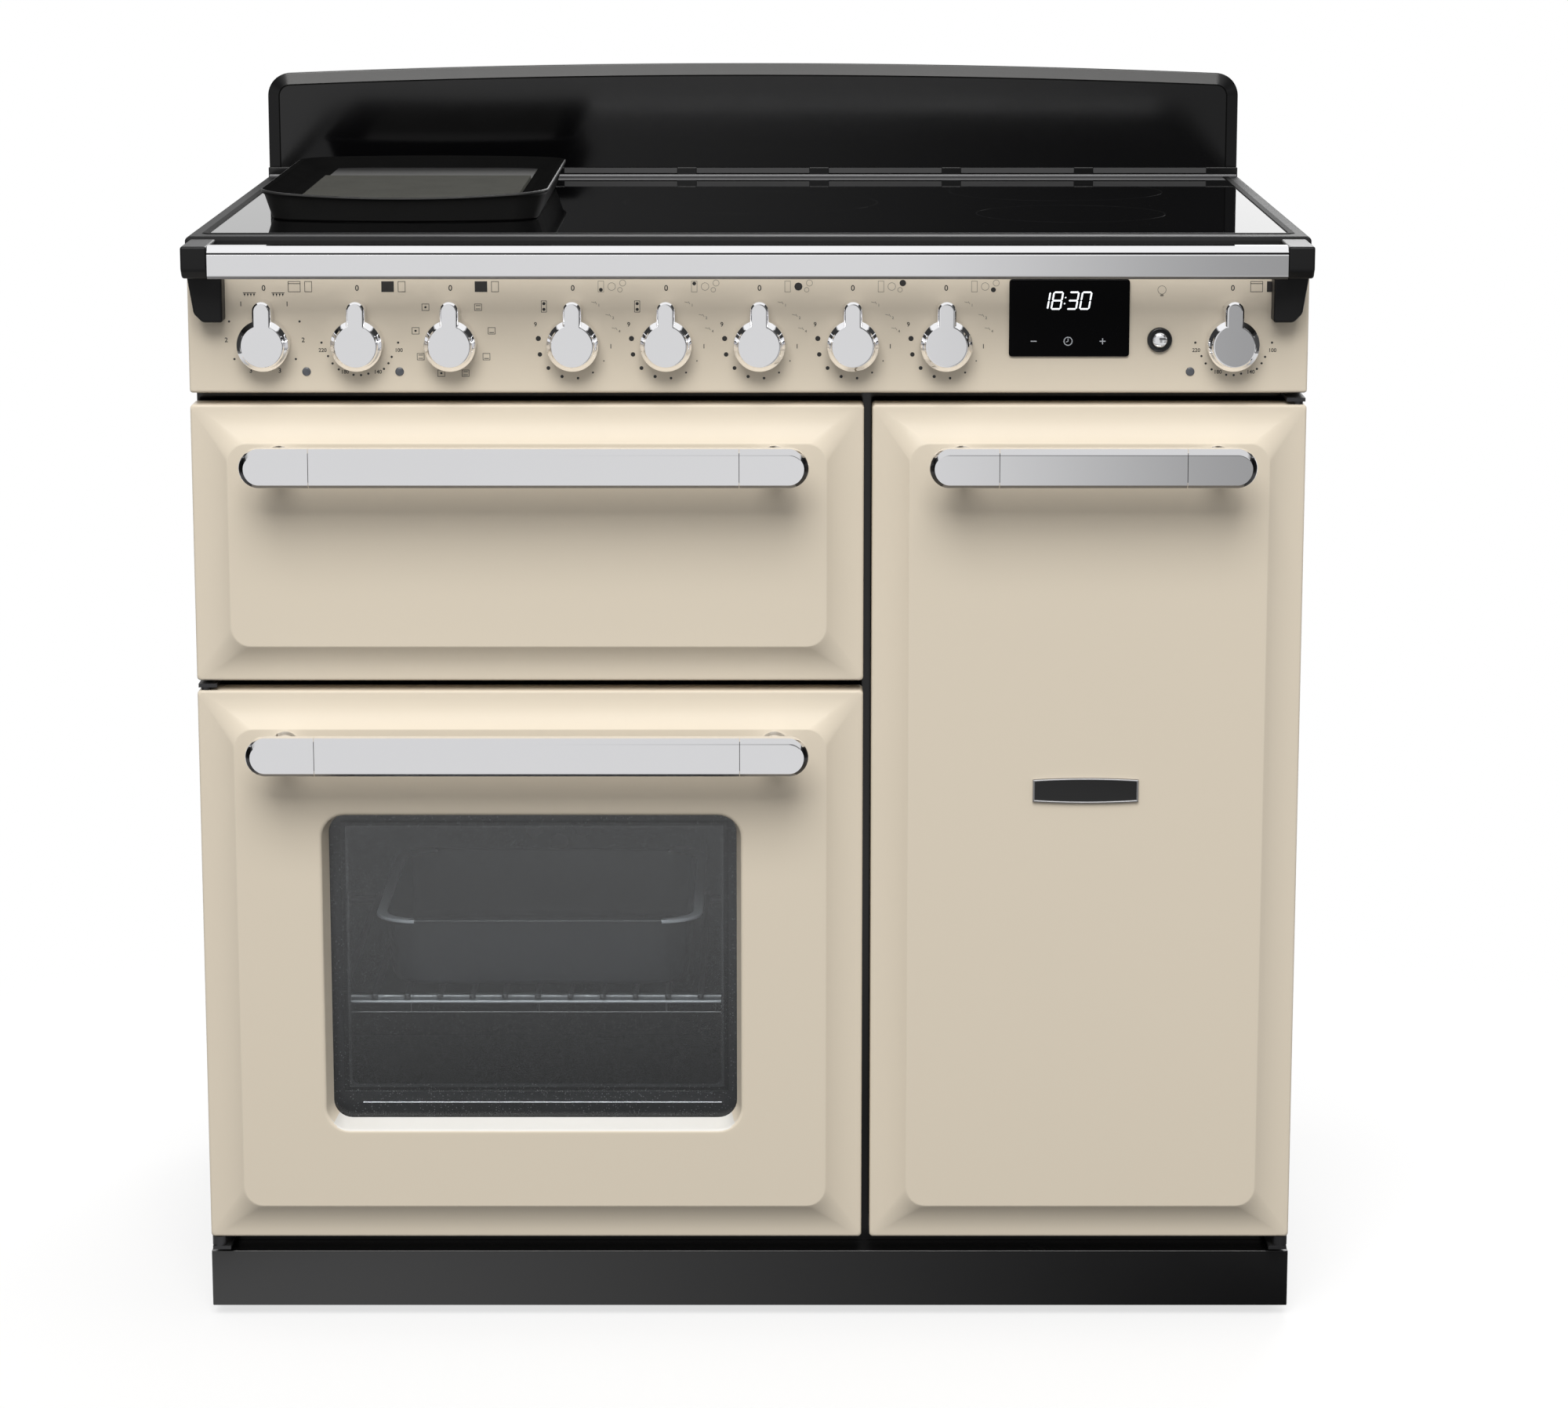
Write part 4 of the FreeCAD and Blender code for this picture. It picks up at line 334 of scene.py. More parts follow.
hingeSteel = finish("hingeSteel", (66, 66, 68), 0.42, depth=0.1, waves=(300, 10), metallic=0.8)
# matt black for the soft hob joint, and for painted shade in grooves, creases, seams, slots and holes
gasketAndShadeBlack = finish("gasketAndShadeBlack", (12, 12, 12), 0.65, depth=0.2, waves=(800, 20), specular=0.05)
chrome = finish("chrome", (241, 241, 243), 0.04, scale=11.0, depth=0.012, spread=0.035, waves=(24, 0.6),
                metallic=1.0)
# darker copies of chrome: painted shade on the lower edges of the rail and the handles and on the shelf
# wires, and a painted dark reflection round the handle ends
paintedShadeMetal = finish("paintedShadeMetal", (132, 132, 134), 0.3, **paintedShadeSettings)
paintedDarkEndMetal = finish("paintedDarkEndMetal", (72, 72, 74), 0.22, **paintedShadeSettings)
badgeSteel = finish("badgeSteel", (154, 154, 156), 0.5, scale=60.0, depth=0.08, waves=None, metallic=0.9)
# pale steel: the grill pan's rim, and a painted highlight on the tin's rim ends and on the shelf's front bar
paleSteelAndPaintedHighlight = finish("paleSteelAndPaintedHighlight", (232, 233, 240), 0.3, scale=40.0, depth=0.1, spread=0.1, metallic=0.1)
shelfSteel = finish("shelfSteel", (150, 151, 154), 0.36, **shelfPlate)
shelfChrome = finish("shelfChrome", (204, 205, 208), 0.14, **shelfPlate)
zincSheet = brushedFinish("zincSheet", (176, 180, 184), 0.36, (30, 30, 700), 20)
galvanised = addSpangle(brushedFinish("galvanised", (168, 173, 178), 0.42, (12, 12, 300), 10), 70.0, 0.22)
elementSteel = brushedFinish("elementSteel", (92, 88, 84), 0.4, (200, 200, 200), 30)
fanSteel = brushedFinish("fanSteel", (170, 171, 173), 0.3, (300, 20, 300), 20)
coilCopper = brushedFinish("coilCopper", (196, 120, 72), 0.35, (500, 500, 20), 40)
hobGlass = finish("hobGlass", (7, 7, 8), 0.03, scale=5.0, depth=0.2, spread=0.02, waves=(18, 3))
zoneInk = finish("zoneInk", (30, 30, 31), 0.06, depth=0.2, spread=0.02, waves=None)
clockGlass = finish("clockGlass", (4, 4, 5), 0.08, depth=0.15, spread=0.02, waves=(60, 1), specular=0.05)
windowGlass = seeThrough("windowGlass", (220, 222, 224), 0.0)
innerGlass = seeThrough("innerGlass", (240, 242, 241), 0.0)
lampGlass = seeThrough("lampGlass", (242, 236, 220), 0.12)
lensPlastic = finish("lensPlastic", (88, 91, 97), 0.14, scale=200.0, depth=0.25, waves=(900, 20))
blackPlastic = finish("blackPlastic", (24, 24, 25), 0.45, depth=0.1, waves=(1200, 30))
gripRubber = finish("gripRubber", (30, 30, 30), 0.7, depth=0.2, waves=(600, 60))
boardGreen = addSpecks(finish("boardGreen", (38, 92, 52), 0.5, depth=0.15), (190, 190, 180), 160.0, 0.3)
mineralWool = finish("mineralWool", (206, 196, 160), 0.95, scale=60.0, depth=0.35, waves=(300, 800))
sealBraid = finish("sealBraid", (58, 58, 60), 0.85, scale=120.0, depth=0.4, waves=(900, 300))
griddleIron = addSpecks(finish("griddleIron", (26, 26, 26), 0.55, specular=0.3, **castIron),
                        (36, 36, 36), 900.0, 0.25, 0.5)
panIron = addSpecks(finish("panIron", (16, 16, 16), 0.6, specular=0.0, **castIron),
                    (24, 24, 24), 900.0, 0.25, 0.5)
paintedHighlightIron = finish("paintedHighlightIron", (67, 67, 63), 0.55, specular=0.03, **castIron)
# a painted sheen on the iron: grey, fading to dark towards the back
paintedSheenIron = addFade(finish("paintedSheenIron", (66, 66, 65), 0.5, specular=0.05, **castIron),
                   (18, 18, 18), "Y", 0.135, 0.215)
panelInk = finish("panelInk", (34, 32, 31), 0.5, scale=60.0, depth=0.15, waves=None)
paleInk = finish("paleInk", (128, 121, 110), 0.5, scale=60.0, depth=0.1, waves=None)
displayWhite = glow("displayWhite", (236, 240, 244), 0.9)
displayGrey = glow("displayGrey", (150, 153, 158), 0.35)
print("finishes:", len(bpy.data.materials))


# mesh helpers, in millimetres
def addObject(name, data):
    thing = bpy.data.objects.new(name, data)
    scene.collection.objects.link(thing)
    return thing


def dropObject(thing):
    data = thing.data
    bpy.data.objects.remove(thing)
    bpy.data.batch_remove([data])


# what an object's modifiers, or a text, come to as a plain mesh
def evaluatedMesh(thing):
    bpy.context.view_layer.update()
    return bpy.data.meshes.new_from_object(thing.evaluated_get(bpy.context.evaluated_depsgraph_get()))


def pieceFrom(bm, name, *materials, sharp=32.0, weighted=True):
    bmesh.ops.remove_doubles(bm, verts=bm.verts, dist=micron)
    bmesh.ops.recalc_face_normals(bm, faces=bm.faces)
    mesh = bpy.data.meshes.new(name)
    bm.to_mesh(mesh)
    bm.free()
    for material in materials:
        mesh.materials.append(material)
    mesh.shade_smooth()
    mesh.set_sharp_from_angle(angle=math.radians(sharp))
    piece = addObject(name, mesh)
    if weighted:
        even = piece.modifiers.new("evenNormals", "WEIGHTED_NORMAL")
        even.keep_sharp = True
        even.weight = 100
    return piece


def settle(piece, body, slot, *replaced):
    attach(piece, body)
    if replaced:
        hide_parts(*replaced)


def inMetres(point):
    return [value * mm for value in point]


# a skin over rings of points, closed at both ends or joined round into a loop
def loft(bm, rings, capStart=True, capEnd=True, loop=False, material=0):
    rows = [[bm.verts.new(inMetres(point)) for point in ring] for ring in rings]
    count = len(rows[0])
    pairs = list(zip(rows, rows[1:]))
    if loop:
        pairs.append((rows[-1], rows[0]))
    made = []
    for near, far in pairs:
        for index in range(count):
            after = (index + 1) % count
            made.append(bm.faces.new((near[index], near[after], far[after], far[index])))
    if capStart and not loop:
        made.append(bm.faces.new(rows[0]))
    if capEnd and not loop:
        made.append(bm.faces.new(rows[-1]))
    for face in made:
        face.material_index = material


def circlePoints(radius, count):
    angles = [math.tau * step / count for step in range(count)]
    return [(radius * math.cos(angle), radius * math.sin(angle)) for angle in angles]


# a turned form about a line from back to front; the profile runs as radius and depth
def lathe(bm, cx, cz, profile, count=32, loop=False, material=0):
    rings = [[(cx + x, y, cz + z) for x, z in circlePoints(radius, count)] for radius, y in profile]
    loft(bm, rings, loop=loop, material=material)


def rectangle(left, right, low, high):
    return [(left, low), (right, low), (right, high), (left, high)]


def roundRect(cx, cz, width, height, radius, y, turns=8):
    points = []
    radius = max(0.01, min(radius, width / 2, height / 2))
    for index, (sideX, sideZ) in enumerate(((1, 1), (-1, 1), (-1, -1), (1, -1))):
        for step in range(turns + 1):
            angle = math.pi / 2 * (index + step / turns)
            points.append((cx + sideX * (width / 2 - radius) + radius * math.cos(angle), y,
                           cz + sideZ * (height / 2 - radius) + radius * math.sin(angle)))
    return points


# a rounded rectangle drawn in by an inset, its corner with it
def insetRect(cx, cz, width, height, corner, inset, y):
    return roundRect(cx, cz, width - 2 * inset, height - 2 * inset, max(0.5, corner - inset), y, 4)


# a quarter round from (0, 1) to (1, 0): pairs that run from the side to the face
def quarter(steps):
    angles = [math.pi / 2 * step / steps for step in range(steps + 1)]
    return [(1 - math.cos(angle), 1 - math.sin(angle)) for angle in angles]


def prism(bm, points, near, far, material=0):
    loft(bm, [[(x, y, z) for x, z in points] for y in (near, far)], material=material)


# one section run from left to right
def crossBar(bm, section, left, right):
    loft(bm, [[(x, y, z) for y, z in section] for x in (left, right)])


# a copy of a solid with rounded edges
def softCopy(node, material, width, segments=2):
    bm = bmesh.new()
    bm.from_mesh(nodes[node].data)
    bmesh.ops.remove_doubles(bm, verts=bm.verts, dist=10 * micron)
    if width:
        flat, sharp = math.radians(0.5), math.radians(30.0)
        bmesh.ops.dissolve_limit(bm, angle_limit=flat, verts=bm.verts, edges=bm.edges)
        edges = [edge for edge in bm.edges if len(edge.link_faces) == 2 and edge.calc_face_angle(0.0) > sharp]
        bmesh.ops.bevel(bm, geom=edges, offset=width * mm, offset_type="OFFSET", segments=segments,
                        profile=0.5, affect="EDGES", clamp_overlap=True)
    for face in bm.faces:
        face.material_index = 0
    settle(pieceFrom(bm, node + "_finished", material), nodes[node]["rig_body"], slotOf[node], node)


# boxes taken out of a closed mesh, each given by its two corners
def cutBoxes(bm, boxes):
    cutter = bmesh.new()
    for low, high in boxes:
        plan = rectangle(low[0], high[0], low[1], high[1])
        loft(cutter, [[(x, y, z) for x, y in plan] for z in (low[2], high[2])])
    parts = []
    for source in (bm, cutter):
        bmesh.ops.recalc_face_normals(source, faces=source.faces)
        mesh = bpy.data.meshes.new("cutSource")
        source.to_mesh(mesh)
        source.free()
        parts.append(addObject("cutSource", mesh))
    cut = parts[0].modifiers.new("cut", "BOOLEAN")
    cut.operation = "DIFFERENCE"
    cut.solver = "EXACT"
    cut.object = parts[1]
    result = evaluatedMesh(parts[0])
    changed = bmesh.new()
    changed.from_mesh(result)
    bpy.data.meshes.remove(result)
    for part in parts:
        dropObject(part)
    return changed


# doors: rim, rounded edge, hollow bevel, crease and raised middle
doorSizes = {"rim": 26.0, "hem": 0.5, "edgeRound": 2.2, "inset": 30.0, "rise": 11.0, "outerCorner": 3.0,
             "innerCorner": 16.0, "wall": 1.2, "creaseRound": 2.2, "margin": 1.5, "bevelSteps": 12,
             "roundSteps": 5}
windowSizes = {"width": 334.0, "height": 258.0, "bottom": 172.8, "flare": 4.0, "corner": 15.0, "lip": 3.0,
               "back": -257.0, "seat": 0.4, "ledgeLow": 9.0, "ledgeHigh": 3.0, "ledgeDeep": 14.0}
doorPlaces = {"grill_door": (-177.8, 544.8, 541.4, 225.7), "oven_door": (-177.8, 73.0, 541.4, 463.6),
              "tall_door": (274.05, 73.0, 348.9, 697.5)}   # middle, bottom, width, height
# room for the hinge arms at the foot of the grill door: two corners of each box
armNotches = [((x, -269.6, 540.0), (x + 6.6, -240.0, 546.6)) for x in (-443.3, 81.1)]


def doorSkin(name, door, window=None, notches=()):
    size = doorSizes
    cx, bottom, width, height = doorPlaces[door]
    cz = bottom + height / 2
    faceY = front - size["rise"]
    rear, inside = front + size["rim"], front + size["wall"]
    bend = (size["inset"] ** 2 + size["rise"] ** 2) / (2 * size["rise"])
    slope = math.asin(size["inset"] / bend)
    tangent = size["creaseRound"] * math.tan(slope / 2)

    def ring(inset, y, corner):
        return roundRect(cx, cz, width - 2 * inset, height - 2 * inset, corner, y)

    def bevelRing(inset, y):
        share = min(1.0, inset / size["inset"])
        corner = size["outerCorner"] + (size["innerCorner"] - size["outerCorner"]) * share
        return ring(inset, y, corner - max(0.0, inset - size["inset"]))

    innerCorner = size["outerCorner"] - size["hem"]
    innerRing = ring(size["wall"], inside, innerCorner)
    rings = [ring(size["wall"], rear, innerCorner), ring(0.3, rear, size["outerCorner"]),
             ring(0.0, rear - size["hem"], size["outerCorner"])]
    for across, along in quarter(size["roundSteps"]):
        rings.append(bevelRing(across * size["edgeRound"], front + along * size["edgeRound"]))
    last = size["inset"] - tangent * math.cos(slope)
    for step in range(1, size["bevelSteps"] + 1):
        inset = size["edgeRound"] + (last - size["edgeRound"]) * step / size["bevelSteps"]
        rings.append(bevelRing(inset, front - bend + math.sqrt(bend ** 2 - inset ** 2)))
    for step in range(1, size["roundSteps"] + 1):
        turn = slope * (1 - step / size["roundSteps"])
        inset = size["inset"] + tangent - size["creaseRound"] * math.sin(turn)
        rings.append(bevelRing(inset, faceY + size["creaseRound"] * (1 - math.cos(turn))))
    bm = bmesh.new()
    if window:
        middle = window["bottom"] + window["height"] / 2
        lip, seat = window["lip"], window["seat"]

        def pane(margin, y):
            return roundRect(cx, middle, window["width"] + 2 * margin, window["height"] + 2 * margin,
                             window["corner"] + margin, y)

        rings.append(pane(window["flare"] + lip + size["margin"], faceY))
        for across, along in reversed(quarter(size["roundSteps"])):
            rings.append(pane(window["flare"] + across * lip, faceY + along * lip))
        rings += [pane(seat, window["back"] - seat), pane(2 * seat, window["back"]),
                  pane(size["wall"] + seat, window["back"]), pane(window["flare"] + size["wall"], inside),
                  innerRing]
        loft(bm, rings, loop=True)
    else:
        rings.append(bevelRing(size["inset"] + tangent + size["margin"], faceY))
        loft(bm, [innerRing] + rings)
    if notches:
        bm = cutBoxes(bm, notches)
    bmesh.ops.recalc_face_normals(bm, faces=bm.faces)
    # the upward faces of the window's ledge take a whiter enamel, as a painted highlight
    if window:
        low, high = window["bottom"] - window["ledgeLow"], window["bottom"] + window["ledgeHigh"]
        for face in bm.faces:
            spot = face.calc_center_median() / mm
            upward = face.normal.z > 0.6
            if upward and low < spot.z < high and spot.y < front + window["ledgeDeep"]:
                face.material_index = 1
    piece = pieceFrom(bm, name, creamEnamel, paintedHighlightEnamel, sharp=38.0)
    settle(piece, door, "cream_enamel", door + "_skin")


doorSkin("grillDoorFront", "grill_door", notches=armNotches)
doorSkin("ovenDoorFront", "oven_door", windowSizes)
doorSkin("tallDoorFront", "tall_door")
print("doors made")

# handles: a bar between two round-ended castings on posts
handleSizes = {"height": 32.0, "chamfer": 4.0, "end": 55.5, "front": -331.0, "back": -317.0, "face": -282.0,
               "seam": 0.5, "crisp": 0.5, "facet": 5.0, "facetDepth": 1.1, "lower": 3.0, "turns": 32,
               "core": 1.0, "coreDepth": 2.0, "postSunk": 3.0,
               "post": ((9.0, 9.0), (9.9, 4.0), (12.0, 1.0), (12.0, 0.0))}   # radius, height over the door
handlePlaces = {"grill_door": (-404.1, 48.5, 727.0), "oven_door": (-404.1, 48.5, 493.1),
                "tall_door": (144.0, 404.1, 727.0)}   # left end, right end, height of the middle


# levels from the back to the face: depth, then how far the ends, the top and the bottom are drawn in
def handleSection():
    size = handleSizes
    chamfer, crisp, facet, lower = size["chamfer"], size["crisp"], size["facet"], size["lower"]
    rear = [(0.0, chamfer + crisp), (0.0, chamfer), (crisp * 0.7, chamfer - crisp), (chamfer - crisp, crisp),
            (chamfer + crisp, 0.0)]
    section = [(size["back"] - depth, inset, inset, inset) for depth, inset in rear]
    for depth in (chamfer + crisp, chamfer - crisp, size["facetDepth"], crisp * 0.5, 0.0):
        share = max(0.0, 1.0 - depth / chamfer)
        top = facet * max(0.0, 1.0 - depth / size["facetDepth"])
        section.append((size["front"] + depth, chamfer * share, top, lower * share))
    for extra in (crisp, 2 * crisp):
        section.append((size["front"], chamfer + extra, facet + extra, lower + extra))
    return section


def handlePiece(name, door):
    size = handleSizes
    left, right, z = handlePlaces[door]
    half = size["height"] / 2
    section = handleSection()
    gap = size["seam"] / 2
    seamLeft, seamRight = left + size["end"], right - size["end"]

    def castingRing(seam, tip, y, end, top, bottom):
        side = 1 if tip > seam else -1
        centre = tip - side * half
        points = [(seam, y, z - half + bottom)]
        for step in range(size["turns"] + 1):
            angle = -math.pi / 2 + math.pi * step / size["turns"]
            rise = (half - (top if angle > 0 else bottom)) * math.sin(angle)
            points.append((centre + side * (half - end) * math.cos(angle), y, z + rise))
        points.append((seam, y, z + half - top))
        return points

    bm = bmesh.new()
    profile = [(size["post"][0][0], size["back"] - size["postSunk"])]
    profile += [(radius, size["face"] - height) for radius, height in size["post"]]
    for seam, tip in ((seamLeft - gap, left), (seamRight + gap, right)):
        loft(bm, [castingRing(seam, tip, *level) for level in section])
        lathe(bm, (seam + tip) / 2, z, profile)
    bars = []
    for y, _, top, bottom in section:
        outline = rectangle(seamLeft + gap, seamRight - gap, z - half + bottom, z + half - top)
        bars.append([(x, y, high) for x, high in outline])
    loft(bm, bars)
    bmesh.ops.recalc_face_normals(bm, faces=bm.faces)
    # the chamfers of the front: a painted dark reflection round the ends, and a less dark painted shade along
    # the bottom
    for face in bm.faces:
        if face.normal.y > -0.2 or face.calc_center_median().y > (size["front"] + size["chamfer"]) * mm:
            continue
        if abs(face.normal.x) > 0.3 and face.normal.z < 0.45:
            face.material_index = 3
        elif face.normal.z < -0.45:
            face.material_index = 2
    # a black core behind the seams, as painted shade in the seam gaps
    core, sunk = half - size["chamfer"] - size["core"], size["coreDepth"]
    outline = rectangle(left + half, right - half, z - core, z + core)
    prism(bm, outline, size["back"] - sunk, size["front"] + sunk, 1)
    piece = pieceFrom(bm, name, chrome, gasketAndShadeBlack, paintedShadeMetal, paintedDarkEndMetal, sharp=20.0)
    settle(piece, door, "chrome", door + "_handle")


handlePiece("grillDoorHandle", "grill_door")
handlePiece("ovenDoorHandle", "oven_door")
handlePiece("tallDoorHandle", "tall_door")

# knobs: a coned cap whose pointer reaches up past it
knobSizes = {"z": 820.0, "base": 20.8, "face": 16.6, "height": 22.0, "gap": 0.3, "pointer": 6.0, "tip": 34.0,
             "draft": 1.4, "chamfer": 4.2, "round": 0.7, "spindle": 5.0, "spindleBack": 25.5,
             "spindleFront": 4.0, "discSteps": 56, "tipSteps": 14}
knobPlaces = {"grill_knob": -387.2, "oven_temperature_knob": -312.6, "oven_function_knob": -238.0,
              "hob_knob_1": -140.2, "hob_knob_2": -65.6, "hob_knob_3": 9.0, "hob_knob_4": 83.6,
              "hob_knob_5": 158.2, "tall_temperature_knob": 387.2}


def knobRing(cx, y, radius, half, tip):
    size = knobSizes
    start = math.acos(half / radius)
    points = []
    for step in range(size["discSteps"] + 1):
        angle = start - (math.pi + 2 * start) * step / size["discSteps"]
        points.append((cx + radius * math.cos(angle), y, size["z"] + radius * math.sin(angle)))
    for step in range(size["tipSteps"] + 1):
        angle = math.pi - math.pi * step / size["tipSteps"]
        points.append((cx + half * math.cos(angle), y, size["z"] + tip - half + half * math.sin(angle)))
    return points


def knobPiece(node, cx):
    size = knobSizes
    back = front - size["gap"]
    top = back - size["height"]
    base, face, draft, bend = size["base"], size["face"], size["draft"], size["round"]
    brow = top + size["chamfer"]
    # depth, disc radius and how far the pointer's outline grows, from the back to the face
    levels = [(back, base - 0.4, draft - 0.2), (back - 0.4, base, draft), (brow + 0.9, base, draft),
              (brow + 0.5, base - 0.1, draft), (brow + 0.1, base - 0.4, draft),
              (top + draft + 0.3, face + draft, draft), (top + draft, face + draft - 0.3, draft - 0.1),
              (top + 0.35, face + 0.35, 0.3), (top + 0.1, face + 0.05, 0.0), (top, face - 0.4, -bend * 0.6),
              (top, face - 1.0, -bend * 1.6)]
    bm = bmesh.new()
    loft(bm, [knobRing(cx, y, radius, size["pointer"] + grow, size["tip"] + grow)
              for y, radius, grow in levels])
    lathe(bm, cx, size["z"], [(size["spindle"], back + size["spindleBack"]),
                              (size["spindle"], back - size["spindleFront"])])
    settle(pieceFrom(bm, node + "_cap", chrome, sharp=26.0), nodes[node]["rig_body"], "chrome", node)


for knobNode, knobX in knobPlaces.items():
    knobPiece(knobNode, knobX)
print("handles and knobs made")

# control panel, a folded sheet with rounded edges, and the black pane of the clock on it
panelSizes = {"width": 897.0, "bottom": 780.0, "height": 111.0, "back": -230.0, "corner": 2.5, "round": 2.4,
              "margin": 1.0, "steps": 5}
clockSizes = {"x": 256.8, "z": 840.6, "width": 96.3, "height": 62.0, "proud": 2.5, "corner": 2.5,
              "round": 0.8, "margin": 0.8, "steps": 3}


# a plate with a rounded front edge
def facePlate(size, cx, cz, back, face):
    outline = (cx, cz, size["width"], size["height"], size["corner"])
    rings = [insetRect(*outline, 0.0, back)]
    for across, along in quarter(size["steps"]):
        rings.append(insetRect(*outline, across * size["round"], face + along * size["round"]))
    rings.append(insetRect(*outline, size["round"] + size["margin"], face))
    bm = bmesh.new()
    loft(bm, rings)
    return bm


clockFace = front - clockSizes["proud"]
panelMiddle = panelSizes["bottom"] + panelSizes["height"] / 2
panelPlate = facePlate(panelSizes, 0.0, panelMiddle, panelSizes["back"], front)
panelPiece = pieceFrom(panelPlate, "controlPanel", creamEnamel, sharp=38.0)
settle(panelPiece, "carcass", "cream_enamel", "control_panel")
clockPlate = facePlate(clockSizes, clockSizes["x"], clockSizes["z"], front, clockFace)
settle(pieceFrom(clockPlate, "clockPane", clockGlass), "carcass", "hob_glass", "clock_glass")


# flat marks, each in a layer that is given by its two depths
def stroke(bm, x0, z0, x1, z1, width, layer, lean=0.0, base=0.0, trim=0.0, material=0):
    length = math.hypot(x1 - x0, z1 - z0)
    ux, uz = (x1 - x0) / length, (z1 - z0) / length
    x0, z0, x1, z1 = x0 + ux * trim, z0 + uz * trim, x1 - ux * trim, z1 - uz * trim
    dx, dz = ux * width / 2, uz * width / 2
    corners = [(x0 - dz, z0 + dx), (x0 - dx, z0 - dz), (x0 + dz, z0 - dx),
               (x1 + dz, z1 - dx), (x1 + dx, z1 + dz), (x1 - dz, z1 + dx)]
    prism(bm, [(x + (z - base) * lean, z) for x, z in corners], *layer, material)


def ringMark(bm, cx, cz, radius, width, layer, material=0):
    near, far = layer
    profile = [(radius - width, near), (radius, near), (radius, far), (radius - width, far)]
    lathe(bm, cx, cz, profile, 28, loop=True, material=material)


def discMark(bm, cx, cz, radius, layer, count=20):
    lathe(bm, cx, cz, [(radius, y) for y in layer], count)


def frameMark(bm, cx, cz, width, height, line, layer, material=0):
    near, far = layer
    levels = ((line, near), (0.0, near), (0.0, far), (line, far))
    loft(bm, [roundRect(cx, cz, width - 2 * inset, height - 2 * inset, 0.1, y, 1) for inset, y in levels],
         loop=True, material=material)


def boxMark(bm, cx, cz, width, height, layer, material=0):
    prism(bm, rectangle(cx - width / 2, cx + width / 2, cz - height / 2, cz + height / 2), *layer, material)


# lit figures of the clock: leaning strokes on a grid of two by three points
figureSizes = {"x": 252.3, "z": 854.6, "width": 7.2, "height": 13.4, "gap": 3.0, "colonGap": 2.4,
               "stroke": 1.35, "trim": 0.75, "lean": 0.17, "colon": 1.3, "colonRises": (0.32, 0.68),
               "time": "1830", "layer": (clockFace + 0.02, clockFace - 0.06)}
segments = {"a": (0, 2, 1, 2), "b": (1, 1, 1, 2), "c": (1, 0, 1, 1), "d": (0, 0, 1, 0), "e": (0, 0, 0, 1),
            "f": (0, 1, 0, 2), "g": (0, 1, 1, 1)}
figures = {"1": "bc", "8": "abcdefg", "3": "abcdg", "0": "abcdef"}
# key signs under the figures: place, then strokes as two ends and a width
keySizes = {"z": 822.0, "timer": (255.9, 3.6, 0.7), "signs": (
    (228.3, ((-2.2, 0.0, 2.2, 0.0, 0.8),)),
    (255.9, ((0.0, 0.0, 0.0, 2.2, 0.6), (-1.5, -0.6, -0.3, -0.2, 0.6))),
    (283.5, ((-2.2, 0.0, 2.2, 0.0, 0.8), (0.0, 0.5, 0.0, 2.2, 0.8), (0.0, -2.2, 0.0, -0.5, 0.8))))}


def clockFigures():
    size = figureSizes
    wide, layer = size["width"], size["layer"]
    low = size["z"] - size["height"] / 2
    rise = size["height"] / 2
    lefts = [size["x"] + (index - 2) * (wide + size["gap"]) + (size["colonGap"] if index > 1 else 0.0)
             for index in range(4)]
    bm = bmesh.new()
    for left, figure in zip(lefts, size["time"]):
        for name in figures[figure]:
            x0, z0, x1, z1 = segments[name]
            stroke(bm, left + x0 * wide, low + z0 * rise, left + x1 * wide, low + z1 * rise, size["stroke"],
                   layer, size["lean"], low, size["trim"])
    middle = (lefts[1] + wide + lefts[2]) / 2
    for share in size["colonRises"]:
        z = low + share * size["height"]
        stroke(bm, middle - 0.1, z, middle + 0.1, z, size["colon"], layer, size["lean"], low)
    settle(pieceFrom(bm, "clockFigures", displayWhite, weighted=False), "carcass", "lamp_glass")
    bm = bmesh.new()
    keyZ = keySizes["z"]
    for x, strokes in keySizes["signs"]:
        for x0, z0, x1, z1, width in strokes:
            stroke(bm, x + x0, keyZ + z0, x + x1, keyZ + z1, width, layer)
    timerX, radius, width = keySizes["timer"]
    ringMark(bm, timerX, keyZ, radius, width, layer)
    settle(pieceFrom(bm, "clockKeys", displayGrey, weighted=False), "carcass", "lamp_glass")


clockFigures()

